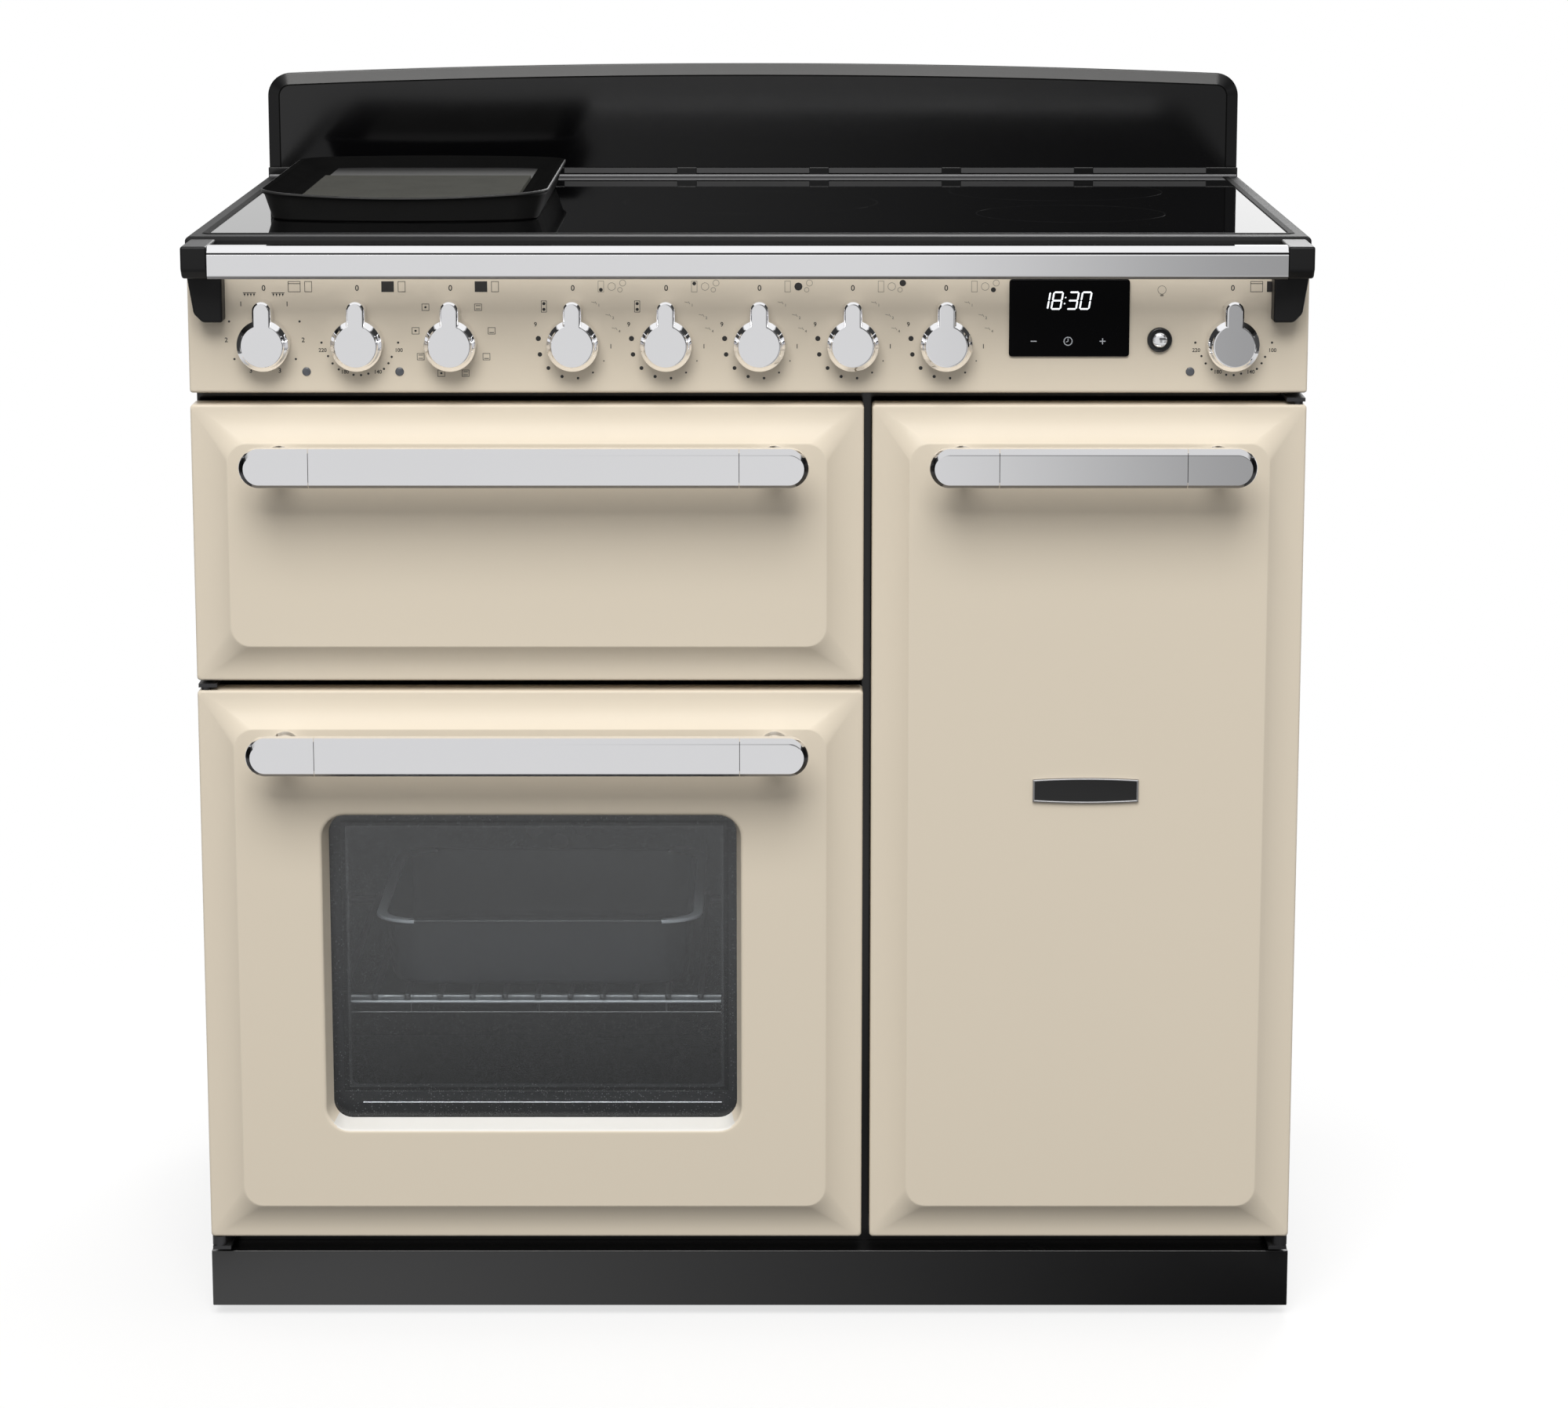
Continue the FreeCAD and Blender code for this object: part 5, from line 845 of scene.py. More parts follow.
# printed marks round the knobs; places are across and up from a knob's middle, only the bulb has its own
inkSizes = {
    "layer": (front + 0.02, front - 0.08), "line": 0.42, "fineLine": 0.35, "zero": (44.2, 4.6),
    "textScale": 1.4, "textBold": 0.02, "signRise": 45.5, "signAcross": 24.5, "tallSignAcross": 19.0,
    "ovenSign": {"height": 8.6, "left": 10.0, "right": 6.0, "step": 11.2, "bar": (2.4, 9.2, 0.5)},
    "zoneSign": {"across": 22.5, "rise": 45.6, "griddle": (4.8, 9.0), "lit": (1, 0, 2, 4, 3), "zones": (
        (0.0, 2.4, 1.5), (0.0, -2.6, 1.5), (8.6, 0.0, 3.2), (15.2, -2.6, 2.0), (17.4, 2.8, 2.6))},
    "grillFigures": (("1", 18.5, 31.5), ("2", 30.8, 2.6), ("3", 11.6, -22.0)), "grillFigure": 3.8,
    "grillDots": ((28.2, 17.6), (24.6, -12.6)), "grillDot": 0.9,
    "flames": {"across": 11.5, "pitch": 2.5, "half": 0.9, "top": 40.0, "tip": 37.6, "bar": (40.6, 10.4, 0.5)},
    "heatFigures": (("220", -28.4, -5.6), ("180", -10.8, -23.0), ("140", 15.6, -23.0), ("100", 32.6, -5.6)),
    "heatFigure": 3.1, "heatDots": ((-29.2, 0.6), (32.2, 0.6)), "heatDot": 0.92,
    "modes": ((-20.1, 29.0), (22.0, 29.0), (32.6, 10.1), (-28.3, 10.1), (-24.5, -10.7), (28.2, -10.7),
              (-8.2, -24.0), (11.3, -24.0)), "mode": (6.0, 5.6), "modeFan": 0.9,
    "modeBars": ((), ((1.3, 3.6, 0.5), (-1.3, 3.6, 0.5)), ((-1.4, 3.8, 0.55),)),
    "hobFigures": (("9", -30.1, 15.1), ("1", 30.1, -2.5)), "hobFigure": 3.6,
    "hobLevels": (("1", 18.2, 32.1), ("2", 29.5, 22.0), ("4", 34.5, 11.3)), "hobLevel": 2.2,
    "levelSign": {"strokes": ((-3.4, 1.2, -0.6, 0.6), (-0.4, 1.4, 0.8, -0.6)), "figure": (2.6, -1.6)},
    "pair": {"place": (-23.2, 29.6), "frame": (4.6, 9.4), "rise": 2.3, "dot": 1.25},
    "bulb": {"x": 330.6, "z": 862.9, "radius": 3.5, "line": 0.4, "foot": (-4.3, 2.6, 1.4)}}
inkLayer = inkSizes["layer"]


def addText(bm, words, cx, cz, height, material=0):
    near, far = inkLayer
    curve = bpy.data.curves.new("figure", "FONT")
    curve.body = words
    curve.size = height * inkSizes["textScale"]
    curve.align_x = "CENTER"
    curve.align_y = "CENTER"
    curve.extrude = (near - far) / 2
    curve.resolution_u = 3
    curve.offset = height * inkSizes["textBold"]
    holder = addObject("figure", curve)
    mesh = evaluatedMesh(holder)
    dropObject(holder)
    upright = Matrix.Translation((cx, (near + far) / 2, cz)) @ Matrix.Rotation(math.pi / 2, 4, "X")
    mesh.transform(Matrix.Scale(mm, 4) @ upright)
    first = len(bm.faces)
    bm.from_mesh(mesh)
    bpy.data.meshes.remove(mesh)
    bm.faces.ensure_lookup_table()
    for face in bm.faces[first:]:
        face.material_index = material


# two ovens side by side, each filled or in outline
def ovenMark(bm, x, z, leftFull, rightFull):
    size = inkSizes["ovenSign"]
    for full, cx, width in ((leftFull, x, size["left"]), (rightFull, x + size["step"], size["right"])):
        if full:
            boxMark(bm, cx, z, width, size["height"], inkLayer)
        else:
            frameMark(bm, cx, z, width, size["height"], inkSizes["line"], inkLayer)
    if not leftFull:
        rise, width, height = size["bar"]
        boxMark(bm, x, z + rise, width, height, inkLayer)


# plan of the hob with one zone filled; the two left zones show only then
def zoneMark(bm, x, z, lit):
    size = inkSizes["zoneSign"]
    fine = inkSizes["fineLine"]
    frameMark(bm, x, z, *size["griddle"], fine, inkLayer, material=1)
    for index, (dx, dz, radius) in enumerate(size["zones"]):
        if index == lit:
            discMark(bm, x + dx, z + dz, radius, inkLayer)
        elif index > 1:
            ringMark(bm, x + dx, z + dz, radius, fine, inkLayer, material=1)


def grillMarks(bm, knobX, z):
    size = inkSizes
    flames = size["flames"]
    for side in (-1, 1):
        for words, dx, dz in size["grillFigures"]:
            addText(bm, words, knobX + side * dx, z + dz, size["grillFigure"])
        for dx, dz in size["grillDots"]:
            discMark(bm, knobX + side * dx, z + dz, size["grillDot"], inkLayer)
        middle = knobX + side * flames["across"]
        for index in range(4):
            x = middle + (index - 1.5) * flames["pitch"]
            prism(bm, [(x - flames["half"], z + flames["top"]), (x + flames["half"], z + flames["top"]),
                       (x, z + flames["tip"])], *inkLayer)
        rise, width, height = flames["bar"]
        boxMark(bm, middle, z + rise, width, height, inkLayer)


def heatMarks(bm, knobX, z):
    for words, dx, dz in inkSizes["heatFigures"]:
        addText(bm, words, knobX + dx, z + dz, inkSizes["heatFigure"])
    for dx, dz in inkSizes["heatDots"]:
        discMark(bm, knobX + dx, z + dz, inkSizes["heatDot"], inkLayer)


# small oven signs: a fan, two bars or one bar, in turn
def modeMarks(bm, knobX, z):
    size = inkSizes
    for index, (dx, dz) in enumerate(size["modes"]):
        x, high = knobX + dx, z + dz
        frameMark(bm, x, high, *size["mode"], size["line"], inkLayer)
        for rise, width, height in size["modeBars"][index % 3]:
            boxMark(bm, x, high + rise, width, height, inkLayer)
        if index % 3 == 0:
            discMark(bm, x, high, size["modeFan"], inkLayer)


def hobMarks(bm, index, knobX, z):
    size = inkSizes
    sign, level, pair = size["zoneSign"], size["levelSign"], size["pair"]
    for words, dx, dz in size["hobFigures"]:
        addText(bm, words, knobX + dx, z + dz, size["hobFigure"])
    zoneMark(bm, knobX + sign["across"], z + sign["rise"], sign["lit"][index])
    for words, dx, dz in size["hobLevels"]:
        x, high = knobX + dx, z + dz
        for x0, z0, x1, z1 in level["strokes"]:
            stroke(bm, x + x0, high + z0, x + x1, high + z1, size["fineLine"], inkLayer, material=1)
        addText(bm, words, x + level["figure"][0], high + level["figure"][1], size["hobLevel"], material=1)
    # the two left zones can be joined under the griddle
    if index < 2:
        x, high = knobX + pair["place"][0], z + pair["place"][1]
        frameMark(bm, x, high, *pair["frame"], size["line"], inkLayer)
        for rise in (-pair["rise"], pair["rise"]):
            discMark(bm, x, high + rise, pair["dot"], inkLayer)


def panelMarks():
    size = inkSizes
    z = knobSizes["z"]
    places = list(knobPlaces.values())
    grill, ovenHeat, ovenMode, tallHeat = places[0], places[1], places[2], places[8]
    bm = bmesh.new()
    for x in places:
        addText(bm, "0", x, z + size["zero"][0], size["zero"][1])
    grillMarks(bm, grill, z)
    across, high = size["signAcross"], z + size["signRise"]
    ovenMark(bm, ovenHeat + across, high, True, False)
    ovenMark(bm, ovenMode + across, high, True, False)
    ovenMark(bm, grill + across, high, False, False)
    ovenMark(bm, tallHeat + size["tallSignAcross"], high, False, True)
    for x in (ovenHeat, tallHeat):
        heatMarks(bm, x, z)
    modeMarks(bm, ovenMode, z)
    for index, x in enumerate(places[3:8]):
        hobMarks(bm, index, x, z)
    # lamp sign over the light button
    bulb = size["bulb"]
    drop, width, height = bulb["foot"]
    ringMark(bm, bulb["x"], bulb["z"], bulb["radius"], bulb["line"], inkLayer, material=1)
    boxMark(bm, bulb["x"], bulb["z"] + drop, width, height, inkLayer, material=1)
    settle(pieceFrom(bm, "panelMarks", panelInk, paleInk, weighted=False), "carcass", "black_plastic")


panelMarks()


# rows and arcs of repeated parts are made with geometry nodes
def geoNode(tree, kind, inputs=None, **settings):
    return addNode(tree, kind, inputs, "GeometryNode", **settings).outputs


def newPartTree(name, inputs):
    partInputs = [("Source", "Object", None), ("Material", "Material", None)]
    return newTree("Geometry", name, partInputs + inputs, [("Geometry", "Geometry")])


# copies of the source part on the points, made real and painted
def endTree(tree, given, out, points, scale):
    part = geoNode(tree, "ObjectInfo", {"Object": given["Source"]})["Geometry"]
    copies = geoNode(tree, "InstanceOnPoints", {"Points": points, "Instance": part, "Scale": scale})[0]
    real = geoNode(tree, "RealizeInstances", {"Geometry": copies})[0]
    painted = geoNode(tree, "SetMaterial", {"Geometry": real, "Material": given["Material"]})[0]
    tree.links.new(painted, out["Geometry"])
    return tree


def makeGridTree():
    nought = (0.0, 0.0, 0.0)
    tree, given, out = newPartTree("partGrid", [
        ("Start", "Vector", nought), ("Step", "Vector", nought), ("Count", "Int", 2),
        ("Row Step", "Vector", nought), ("Rows", "Int", 1)])
    line = geoNode(tree, "MeshLine", {"Count": given["Count"], "Start Location": given["Start"],
                                      "Offset": given["Step"]})[0]
    row = geoNode(tree, "MeshLine", {"Count": given["Rows"], "Offset": given["Row Step"]})[0]
    spread = geoNode(tree, "InstanceOnPoints", {"Points": row, "Instance": line})[0]
    points = geoNode(tree, "RealizeInstances", {"Geometry": spread})[0]
    return endTree(tree, given, out, points, (1.0, 1.0, 1.0))


def makeArcTree():
    tree, given, out = newPartTree("dotArc", [
        ("Centre", "Vector", (0.0, 0.0, 0.0)), ("Radius", "Float", 0.026), ("Start", "Float", 0.0),
        ("Sweep", "Float", 1.0), ("Count", "Int", 3), ("First Size", "Float", 1.0),
        ("Last Size", "Float", 1.0)])
    arc = geoNode(tree, "CurveArc", {"Resolution": given["Count"], "Radius": given["Radius"],
                                     "Start Angle": given["Start"], "Sweep Angle": given["Sweep"]})[0]
    points = geoNode(tree, "CurveToPoints", {"Curve": arc}, mode="EVALUATED")[0]
    upright = geoNode(tree, "Transform", {"Geometry": points, "Translation": given["Centre"],
                                          "Rotation": (math.pi / 2, 0.0, 0.0)})[0]
    index = geoNode(tree, "InputIndex")[0]
    last = calc(tree, "SUBTRACT", given["Count"], 1.0)
    size = addNode(tree, "MapRange", {"Value": index, "From Min": 0.0, "From Max": last,
                                      "To Min": given["First Size"], "To Max": given["Last Size"]}).outputs[0]
    return endTree(tree, given, out, upright, size)


gridTree = makeGridTree()
arcTree = makeArcTree()


def runTree(name, tree, values):
    sockets = {item.name: item.identifier for item in tree.interface.items_tree if item.in_out == "INPUT"}
    holder = addObject(name + "Holder", bpy.data.meshes.new(name + "Holder"))
    rows = holder.modifiers.new("rows", "NODES")
    rows.node_group = tree
    for label, value in values.items():
        rows[sockets[label]] = value
    holder.update_tag()
    mesh = evaluatedMesh(holder)
    holder.modifiers.remove(rows)
    dropObject(holder)
    return mesh


def joinMeshes(name, meshes, material):
    bm = bmesh.new()
    for mesh in meshes:
        bm.from_mesh(mesh)
        bpy.data.meshes.remove(mesh)
    for face in bm.faces:
        face.material_index = 0
    return pieceFrom(bm, name, material)


# one part in rows on the grid tree; a row gives start, step and count, then step and count of further rows
def repeatPart(name, source, material, rows, body, slot):
    part = pieceFrom(source, name + "Source", material, weighted=False)
    meshes = []
    for start, step, count, rowStep, rowCount in rows:
        meshes.append(runTree(name, gridTree, {
            "Source": part, "Material": material, "Start": inMetres(start), "Step": inMetres(step),
            "Count": count, "Row Step": inMetres(rowStep), "Rows": rowCount}))
    dropObject(part)
    settle(joinMeshes(name, meshes, material), body, slot)


# dots along the knob scales: radius, start and sweep in degrees, count, first and last size
dotSizes = {"radius": 1.0, "thick": 0.1, "sunk": 0.02, "arcs": {
    "hob_knob": ((28.2, 172.0, 158.0, 7, 2.05, 0.55),),
    "temperature_knob": ((26.2, 203.0, 30.0, 3, 0.92, 0.92), (25.6, 261.0, 27.0, 3, 0.92, 0.92),
                         (29.0, 315.0, 23.0, 3, 0.92, 0.92))}}


def scaleDots():
    size = dotSizes
    bm = bmesh.new()
    discMark(bm, 0.0, 0.0, size["radius"], (0.0, -size["thick"]), 16)
    dot = pieceFrom(bm, "dotSource", panelInk, weighted=False)
    rows = [(x, *arc) for kind, arcs in size["arcs"].items() for node, x in knobPlaces.items() if kind in node
            for arc in arcs]
    meshes = []
    for x, radius, start, sweep, count, first, last in rows:
        centre = inMetres((x, front + size["sunk"], knobSizes["z"]))
        meshes.append(runTree("scaleDots", arcTree, {
            "Source": dot, "Material": panelInk, "Centre": centre, "Radius": radius * mm,
            "Start": math.radians(start), "Sweep": math.radians(sweep), "Count": count,
            "First Size": first, "Last Size": last}))
    dropObject(dot)
    settle(joinMeshes("scaleDots", meshes, panelInk), "carcass", "black_plastic")


scaleDots()
print("panel marks made")

# light button, its ring, and the three lamp lenses
buttonSizes = {"x": (329.3,), "z": 823.0, "radius": 6.0, "back": 9.0, "crown": 3.2, "dome": 2.3,
               "domeSteps": 14, "count": 40}
bezelSizes = {"ring": 10.0, "foot": 1.6, "round": 1.7, "bore": 6.3, "boreEdge": 0.6, "proud": 3.3}
lampSizes = {"x": (-354.2, -279.6, 354.2), "z": 797.3, "radius": 3.5, "back": 7.8, "crown": 0.3, "dome": 0.9,
             "domeSteps": 6, "count": 28}


# round pins with a domed end
def domedPins(size):
    radius, base = size["radius"], front - size["crown"]
    profile = [(radius, front + size["back"]), (radius, base)]
    for step in range(1, size["domeSteps"] + 1):
        angle = math.pi / 2 * step / size["domeSteps"]
        profile.append((max(0.05, radius * math.cos(angle)), base - size["dome"] * math.sin(angle)))
    bm = bmesh.new()
    for x in size["x"]:
        lathe(bm, x, size["z"], profile, size["count"])
    return bm


def bezelRing():
    size = bezelSizes
    ring, bore, bend = size["ring"], size["bore"], size["round"]
    crest = front - size["proud"]
    profile = [(bore, front), (ring, front), (ring, front - size["foot"])]
    profile += [(ring - across * bend, crest + along * bend) for across, along in quarter(5)]
    profile += [(bore + size["boreEdge"], crest), (bore, crest + size["boreEdge"])]
    bm = bmesh.new()
    lathe(bm, buttonSizes["x"][0], buttonSizes["z"], profile, 48, loop=True)
    return bm


settle(pieceFrom(bezelRing(), "buttonRing", bezelBlack), "carcass", "black_plastic")
settle(pieceFrom(domedPins(buttonSizes), "lightButtonCap", chrome), "light_button", "chrome", "light_button")
settle(pieceFrom(domedPins(lampSizes), "lampLenses", lensPlastic), "carcass", "lamp_lens", "indicator_lamps")

# handrail: a flat bar with a wide upper chamfer and a groove under it; the groove is painted black and the
# lower edge darker, as painted shade
railSizes = {"half": 425.0, "top": 903.0, "bottom": 877.0, "front": -328.0, "back": -312.0, "upper": 5.0,
             "lower": 2.6, "rear": 1.0, "crisp": 0.45, "grooveDrop": 0.6,
             "groove": ((0.0, -1.0), (1.1, -0.6), (1.1, 0.1), (0.5, 0.6))}   # depth and rise


def railPiece():
    size = railSizes
    near, far, low, top = size["front"], size["back"], size["bottom"], size["top"]
    upper, lower, rear = size["upper"], size["lower"], size["rear"]
    groove = top - upper - size["grooveDrop"]
    corners = [(near, low + lower)]
    corners += [(near + depth, groove + rise) for depth, rise in size["groove"]]
    corners += [(near + upper, top), (far - rear, top), (far, top - rear), (far, low + rear),
                (far - rear, low), (near + lower, low)]
    outline = []
    for index, (y, z) in enumerate(corners):
        for other in (corners[index - 1], corners[(index + 1) % len(corners)]):
            away = Vector((other[0] - y, other[1] - z))
            away = away.normalized() * min(size["crisp"], away.length * 0.4)
            outline.append((y + away.x, z + away.y))
    bm = bmesh.new()
    crossBar(bm, outline, -size["half"], size["half"])
    # groove faces in matt black and lower edge faces in darker metal: painted shade
    for face in bm.faces:
        middle = face.calc_center_median() / mm
        if near < middle.y < near + 1.2 and groove - 0.95 < middle.z < groove + 0.6:
            face.material_index = 1
        if middle.z < low + lower and middle.y < near + lower + 0.5:
            face.material_index = 2
    piece = pieceFrom(bm, "handrailBar", chrome, gasketAndShadeBlack, paintedShadeMetal, sharp=20.0)
    settle(piece, "carcass", "chrome", "handrail")


railPiece()
softCopy("rail_brackets", bracketPaint, 2.0, 3)
print("rail made")

# splashback: a plate with an arched top and a bevel round its sides and top; the bevel is a lighter black as
# painted sheen, and the crease between bevel and face black as painted shade
splashSizes = {"half": 447.0, "bottom": 914.0, "shoulder": 1000.0, "top": 1008.8, "corner": 21.0,
               "back": 331.0, "front": 315.0, "bevel": 11.0, "bevelDepth": 6.0, "lean": 0.02,
               "cornerSteps": 12, "archSteps": 48}


def splashPiece():
    size = splashSizes
    half, low, top = size["half"], size["bottom"], size["top"]
    reach = half - size["corner"]
    level = size["shoulder"] - size["corner"]
    arch = top - size["shoulder"]
    bend = (reach ** 2 + arch ** 2) / (2 * arch)
    turns = [math.pi / 2 * step / size["cornerSteps"] for step in range(size["cornerSteps"] + 1)]

    def ring(inset, y, lean=0.0):
        radius = size["corner"] - inset
        points = [(-half + inset, low), (half - inset, low)]
        points += [(reach + radius * math.cos(turn), level + radius * math.sin(turn)) for turn in turns]
        for step in range(1, size["archSteps"]):
            x = reach * (1 - 2 * step / size["archSteps"])
            points.append((x, top - bend + math.sqrt((bend - inset) ** 2 - x ** 2)))
        points += [(-reach - radius * math.sin(turn), level + radius * math.cos(turn)) for turn in turns]
        return [(x, y + lean * (top - z), z) for x, z in points]

    face, back, bevel, lean = size["front"], size["back"], size["bevel"], size["lean"]
    deep = face + size["bevelDepth"]
    sides = [ring(0.6, back), ring(0.0, back - 0.6), ring(0.0, deep + 0.5), ring(0.25, deep),
             ring(0.8, deep - 0.4)]
    crease = [ring(bevel - 0.9, face + 0.4, lean), ring(bevel - 0.3, face + 0.6, lean),
              ring(bevel + 0.4, face, lean)]
    bm = bmesh.new()
    loft(bm, sides, capEnd=False)
    # bevel in lighter black, a painted sheen; crease in matt black, painted shade
    loft(bm, [sides[-1], crease[0]], capStart=False, capEnd=False, material=2)
    loft(bm, crease, capStart=False, capEnd=False, material=1)
    loft(bm, [crease[-1], ring(bevel + 1.4, face, lean)], capStart=False)
    piece = pieceFrom(bm, "splashbackPlate", blackEnamel, gasketAndShadeBlack, paintedSheenEnamel, sharp=22.0)
    settle(piece, "carcass", "black_enamel", "splashback")


splashPiece()
softCopy("vent_trim", bezelBlack, 0.5)

# a bead behind the hob and the grey plate over it
ventSizes = {"half": 446.0, "near": 309.9, "far": 312.6, "low": 905.0, "high": 907.8, "back": 312.7,
             "top": 913.6, "plateEnd": 18.0, "plateThick": 1.2, "plateGap": 1.0}


def ventBed():
    size = ventSizes
    near, far, low, high = size["near"], size["far"], size["low"], size["high"]
    middle = (near + far) / 2
    bead = [(far, low), (near, low), (near, high - 1.6), (near + 0.3, high - 0.7), (middle - 0.5, high - 0.1),
            (middle, high), (far, high)]
    back, foot = size["back"], high + size["plateGap"]
    plate = [(back, foot), (back, size["top"]), (back + size["plateThick"], size["top"]),
             (back + size["plateThick"], foot)]
    for name, section, half, material in (("ventBead", bead, size["half"], beadSteel),
                                          ("ventPlate", plate, size["half"] - size["plateEnd"], ventGrey)):
        bm = bmesh.new()
        crossBar(bm, section, -half, half)
        settle(pieceFrom(bm, name, material), "carcass", "black_enamel")


ventBed()


# an upright outline laid flat at one height
def laidFlat(outline, cx, cy, z):
    return [(cx + x, cy + y, z) for x, _, y in outline]


# hob: the pane, the soft joint round it, its printed zones and its trim
hobSizes = {"halfX": 434.5, "near": -241.3, "far": 311.7, "thick": 4.0, "corner": 2.0, "joint": 5.0,
            "jointCorner": 3.0, "jointRise": 0.7}
zoneSizes = {"line": 1.1, "high": 0.04, "sunk": 0.02, "steps": 72, "zones": (
    (-287.0, -61.3, 92.0), (-287.0, 156.7, 92.0), (0.0, 47.7, 110.0), (270.0, -61.3, 80.0),
    (270.0, 156.7, 95.0))}


def hobPieces():
    size = hobSizes
    low, wide, rise = hobTop - size["thick"], size["joint"], size["jointRise"]
    middle = (size["far"] + size["near"]) / 2

    def ring(inset, z, corner):
        plan = insetRect(0.0, 0.0, 2 * size["halfX"], size["far"] - size["near"], corner, inset, 0.0)
        return laidFlat(plan, 0.0, middle, z)

    paneLevels = ((0.3, low), (0.0, low + 0.3), (0.0, hobTop - 0.8), (0.25, hobTop - 0.25), (0.8, hobTop),
                  (1.6, hobTop))
    bm = bmesh.new()
    loft(bm, [ring(inset, z, size["corner"]) for inset, z in paneLevels])
    settle(pieceFrom(bm, "hobPane", hobGlass), "carcass", "hob_glass", "hob_glass")
    jointLevels = ((-wide, hobTop + 0.05), (-wide + 0.8, hobTop + rise), (0.4, hobTop + rise),
                   (1.0, hobTop + 0.02))
    bm = bmesh.new()
    loft(bm, [ring(inset, z, size["jointCorner"]) for inset, z in jointLevels], loop=True)
    settle(pieceFrom(bm, "hobJoint", gasketAndShadeBlack), "carcass", "black_plastic")


def zoneRings():
    size = zoneSizes
    low, high = hobTop - size["sunk"], hobTop + size["high"]
    bm = bmesh.new()
    for cx, cy, radius in size["zones"]:
        inner = radius - size["line"]
        loft(bm, [[(cx + x, cy + y, z) for x, y in circlePoints(reach, size["steps"])]
                  for reach, z in ((inner, low), (inner, high), (radius, high), (radius, low))], loop=True)
    settle(pieceFrom(bm, "hobZones", zoneInk, weighted=False), "carcass", "hob_glass")


hobPieces()
zoneRings()
softCopy("hob_frame", trimBlack, 1.4, 3)
print("hob made")

# griddle: a shallow cast pan with a ribbed floor
griddleSizes = {"x": -287.0, "near": -151.0, "width": 240.0, "depth": 400.0, "height": 25.0, "taper": 9.0,
                "wall": 4.0, "lip": 6.0, "bow": 24.0, "dip": 4.5, "floor": 15.5, "turns": 8, "bowSteps": 12,
                "restEnd": 222.0, "restHeight": 0.4}
ribSizes = {"width": 3.6, "height": 4.0, "pitch": 8.2, "count": 28, "half": 90.0, "start": -126.0,
            "x": -283.0, "sunk": 0.2}


# one level of the pan: its ends bow out and the rim dips at the front
def griddleRing(inset, z, corner):
    size = griddleSizes
    turns, steps = size["turns"], size["bowSteps"]
    plan = roundRect(0.0, 0.0, size["width"] - 2 * inset, size["depth"] - 2 * inset, corner, 0.0, turns)
    outline = []
    for index, (x, _, y) in enumerate(plan):
        outline.append((x, y))
        if index in (turns, 3 * turns + 2):   # the back and front edges begin here
            run = plan[index + 1][0] - x
            outline += [(x + run * step / steps, y) for step in range(1, steps)]
    lift = max(0.0, (z - hobTop - size["floor"]) / (size["height"] - size["floor"]))
    middle = size["near"] + size["depth"] / 2
    points = []
    for x, y in outline:
        side = (2 * x / size["width"]) ** 2
        drop = size["dip"] * lift * (1 - side) if y < -size["depth"] / 4 else 0.0
        if abs(y) > size["depth"] / 4:
            y -= math.copysign(size["bow"] * side, y)
        points.append((size["x"] + x, middle + y, z - drop))
    return points


def griddlePiece():
    size, rib = griddleSizes, ribSizes
    floor, top = hobTop + size["floor"], hobTop + size["height"]
    foot, lip, wall = size["taper"], size["lip"], size["taper"] + size["wall"]
    outside = ((foot + 1.5, hobTop, 20.0), (foot, hobTop + 1.5, 21.0), (3.0, top - 5.0, 24.0),
               (0.6, top - 3.2, 25.0), (0.0, top - 1.8, 25.0), (0.5, top - 0.5, 25.0), (1.4, top, 24.0))
    inside = (outside[-1], (lip - 1.5, top, 20.0), (lip, top - 0.6, 19.0), (lip + 1.2, top - 2.5, 18.0),
              (wall + 3.0, floor + 4.0, 18.0), (wall + 5.0, floor + 1.2, 17.0), (wall + 9.0, floor, 15.0))
    bm = bmesh.new()
    loft(bm, [griddleRing(*level) for level in outside], capEnd=False)
    loft(bm, [griddleRing(*level) for level in inside], capStart=False, material=2)
    # smooth resting place behind the ribs, painted grey as a sheen that fades to dark towards the back
    near = rib["start"] + rib["pitch"] * (rib["count"] - 0.5)
    plan = rectangle(rib["x"] - rib["half"], rib["x"] + rib["half"], near, size["restEnd"])
    heights = (floor - rib["sunk"], floor + size["restHeight"])
    loft(bm, [[(x, y, z) for x, y in plan] for z in heights], material=1)
    pan = pieceFrom(bm, "griddlePan", griddleIron, paintedSheenIron, panIron, sharp=50.0)
    settle(pan, "griddle", "griddle_iron", "griddle")
    # the ribs are the same iron painted lighter, as a painted highlight
    half, high = rib["width"] / 2, rib["height"]
    section = [(-half, 0.0), (-half * 0.8, high * 0.7), (-half * 0.4, high), (half * 0.4, high),
               (half * 0.8, high * 0.7), (half, 0.0)]
    bm = bmesh.new()
    crossBar(bm, section, -rib["half"], rib["half"])
    start = (rib["x"], rib["start"], floor - rib["sunk"])
    repeatPart("griddleRibs", bm, paintedHighlightIron, [(start, (0, rib["pitch"], 0), rib["count"], (0, 0, 0), 1)],
               "griddle", "griddle_iron")


griddlePiece()

# badge: a bowed bright rim round a bare black field
badgeSizes = {"x": 274.05, "z": 456.0, "width": 86.0, "height": 21.0, "bow": 1.3, "rim": 1.7, "front": -285.0,
              "back": -282.0, "sunk": 1.0, "steps": 16}


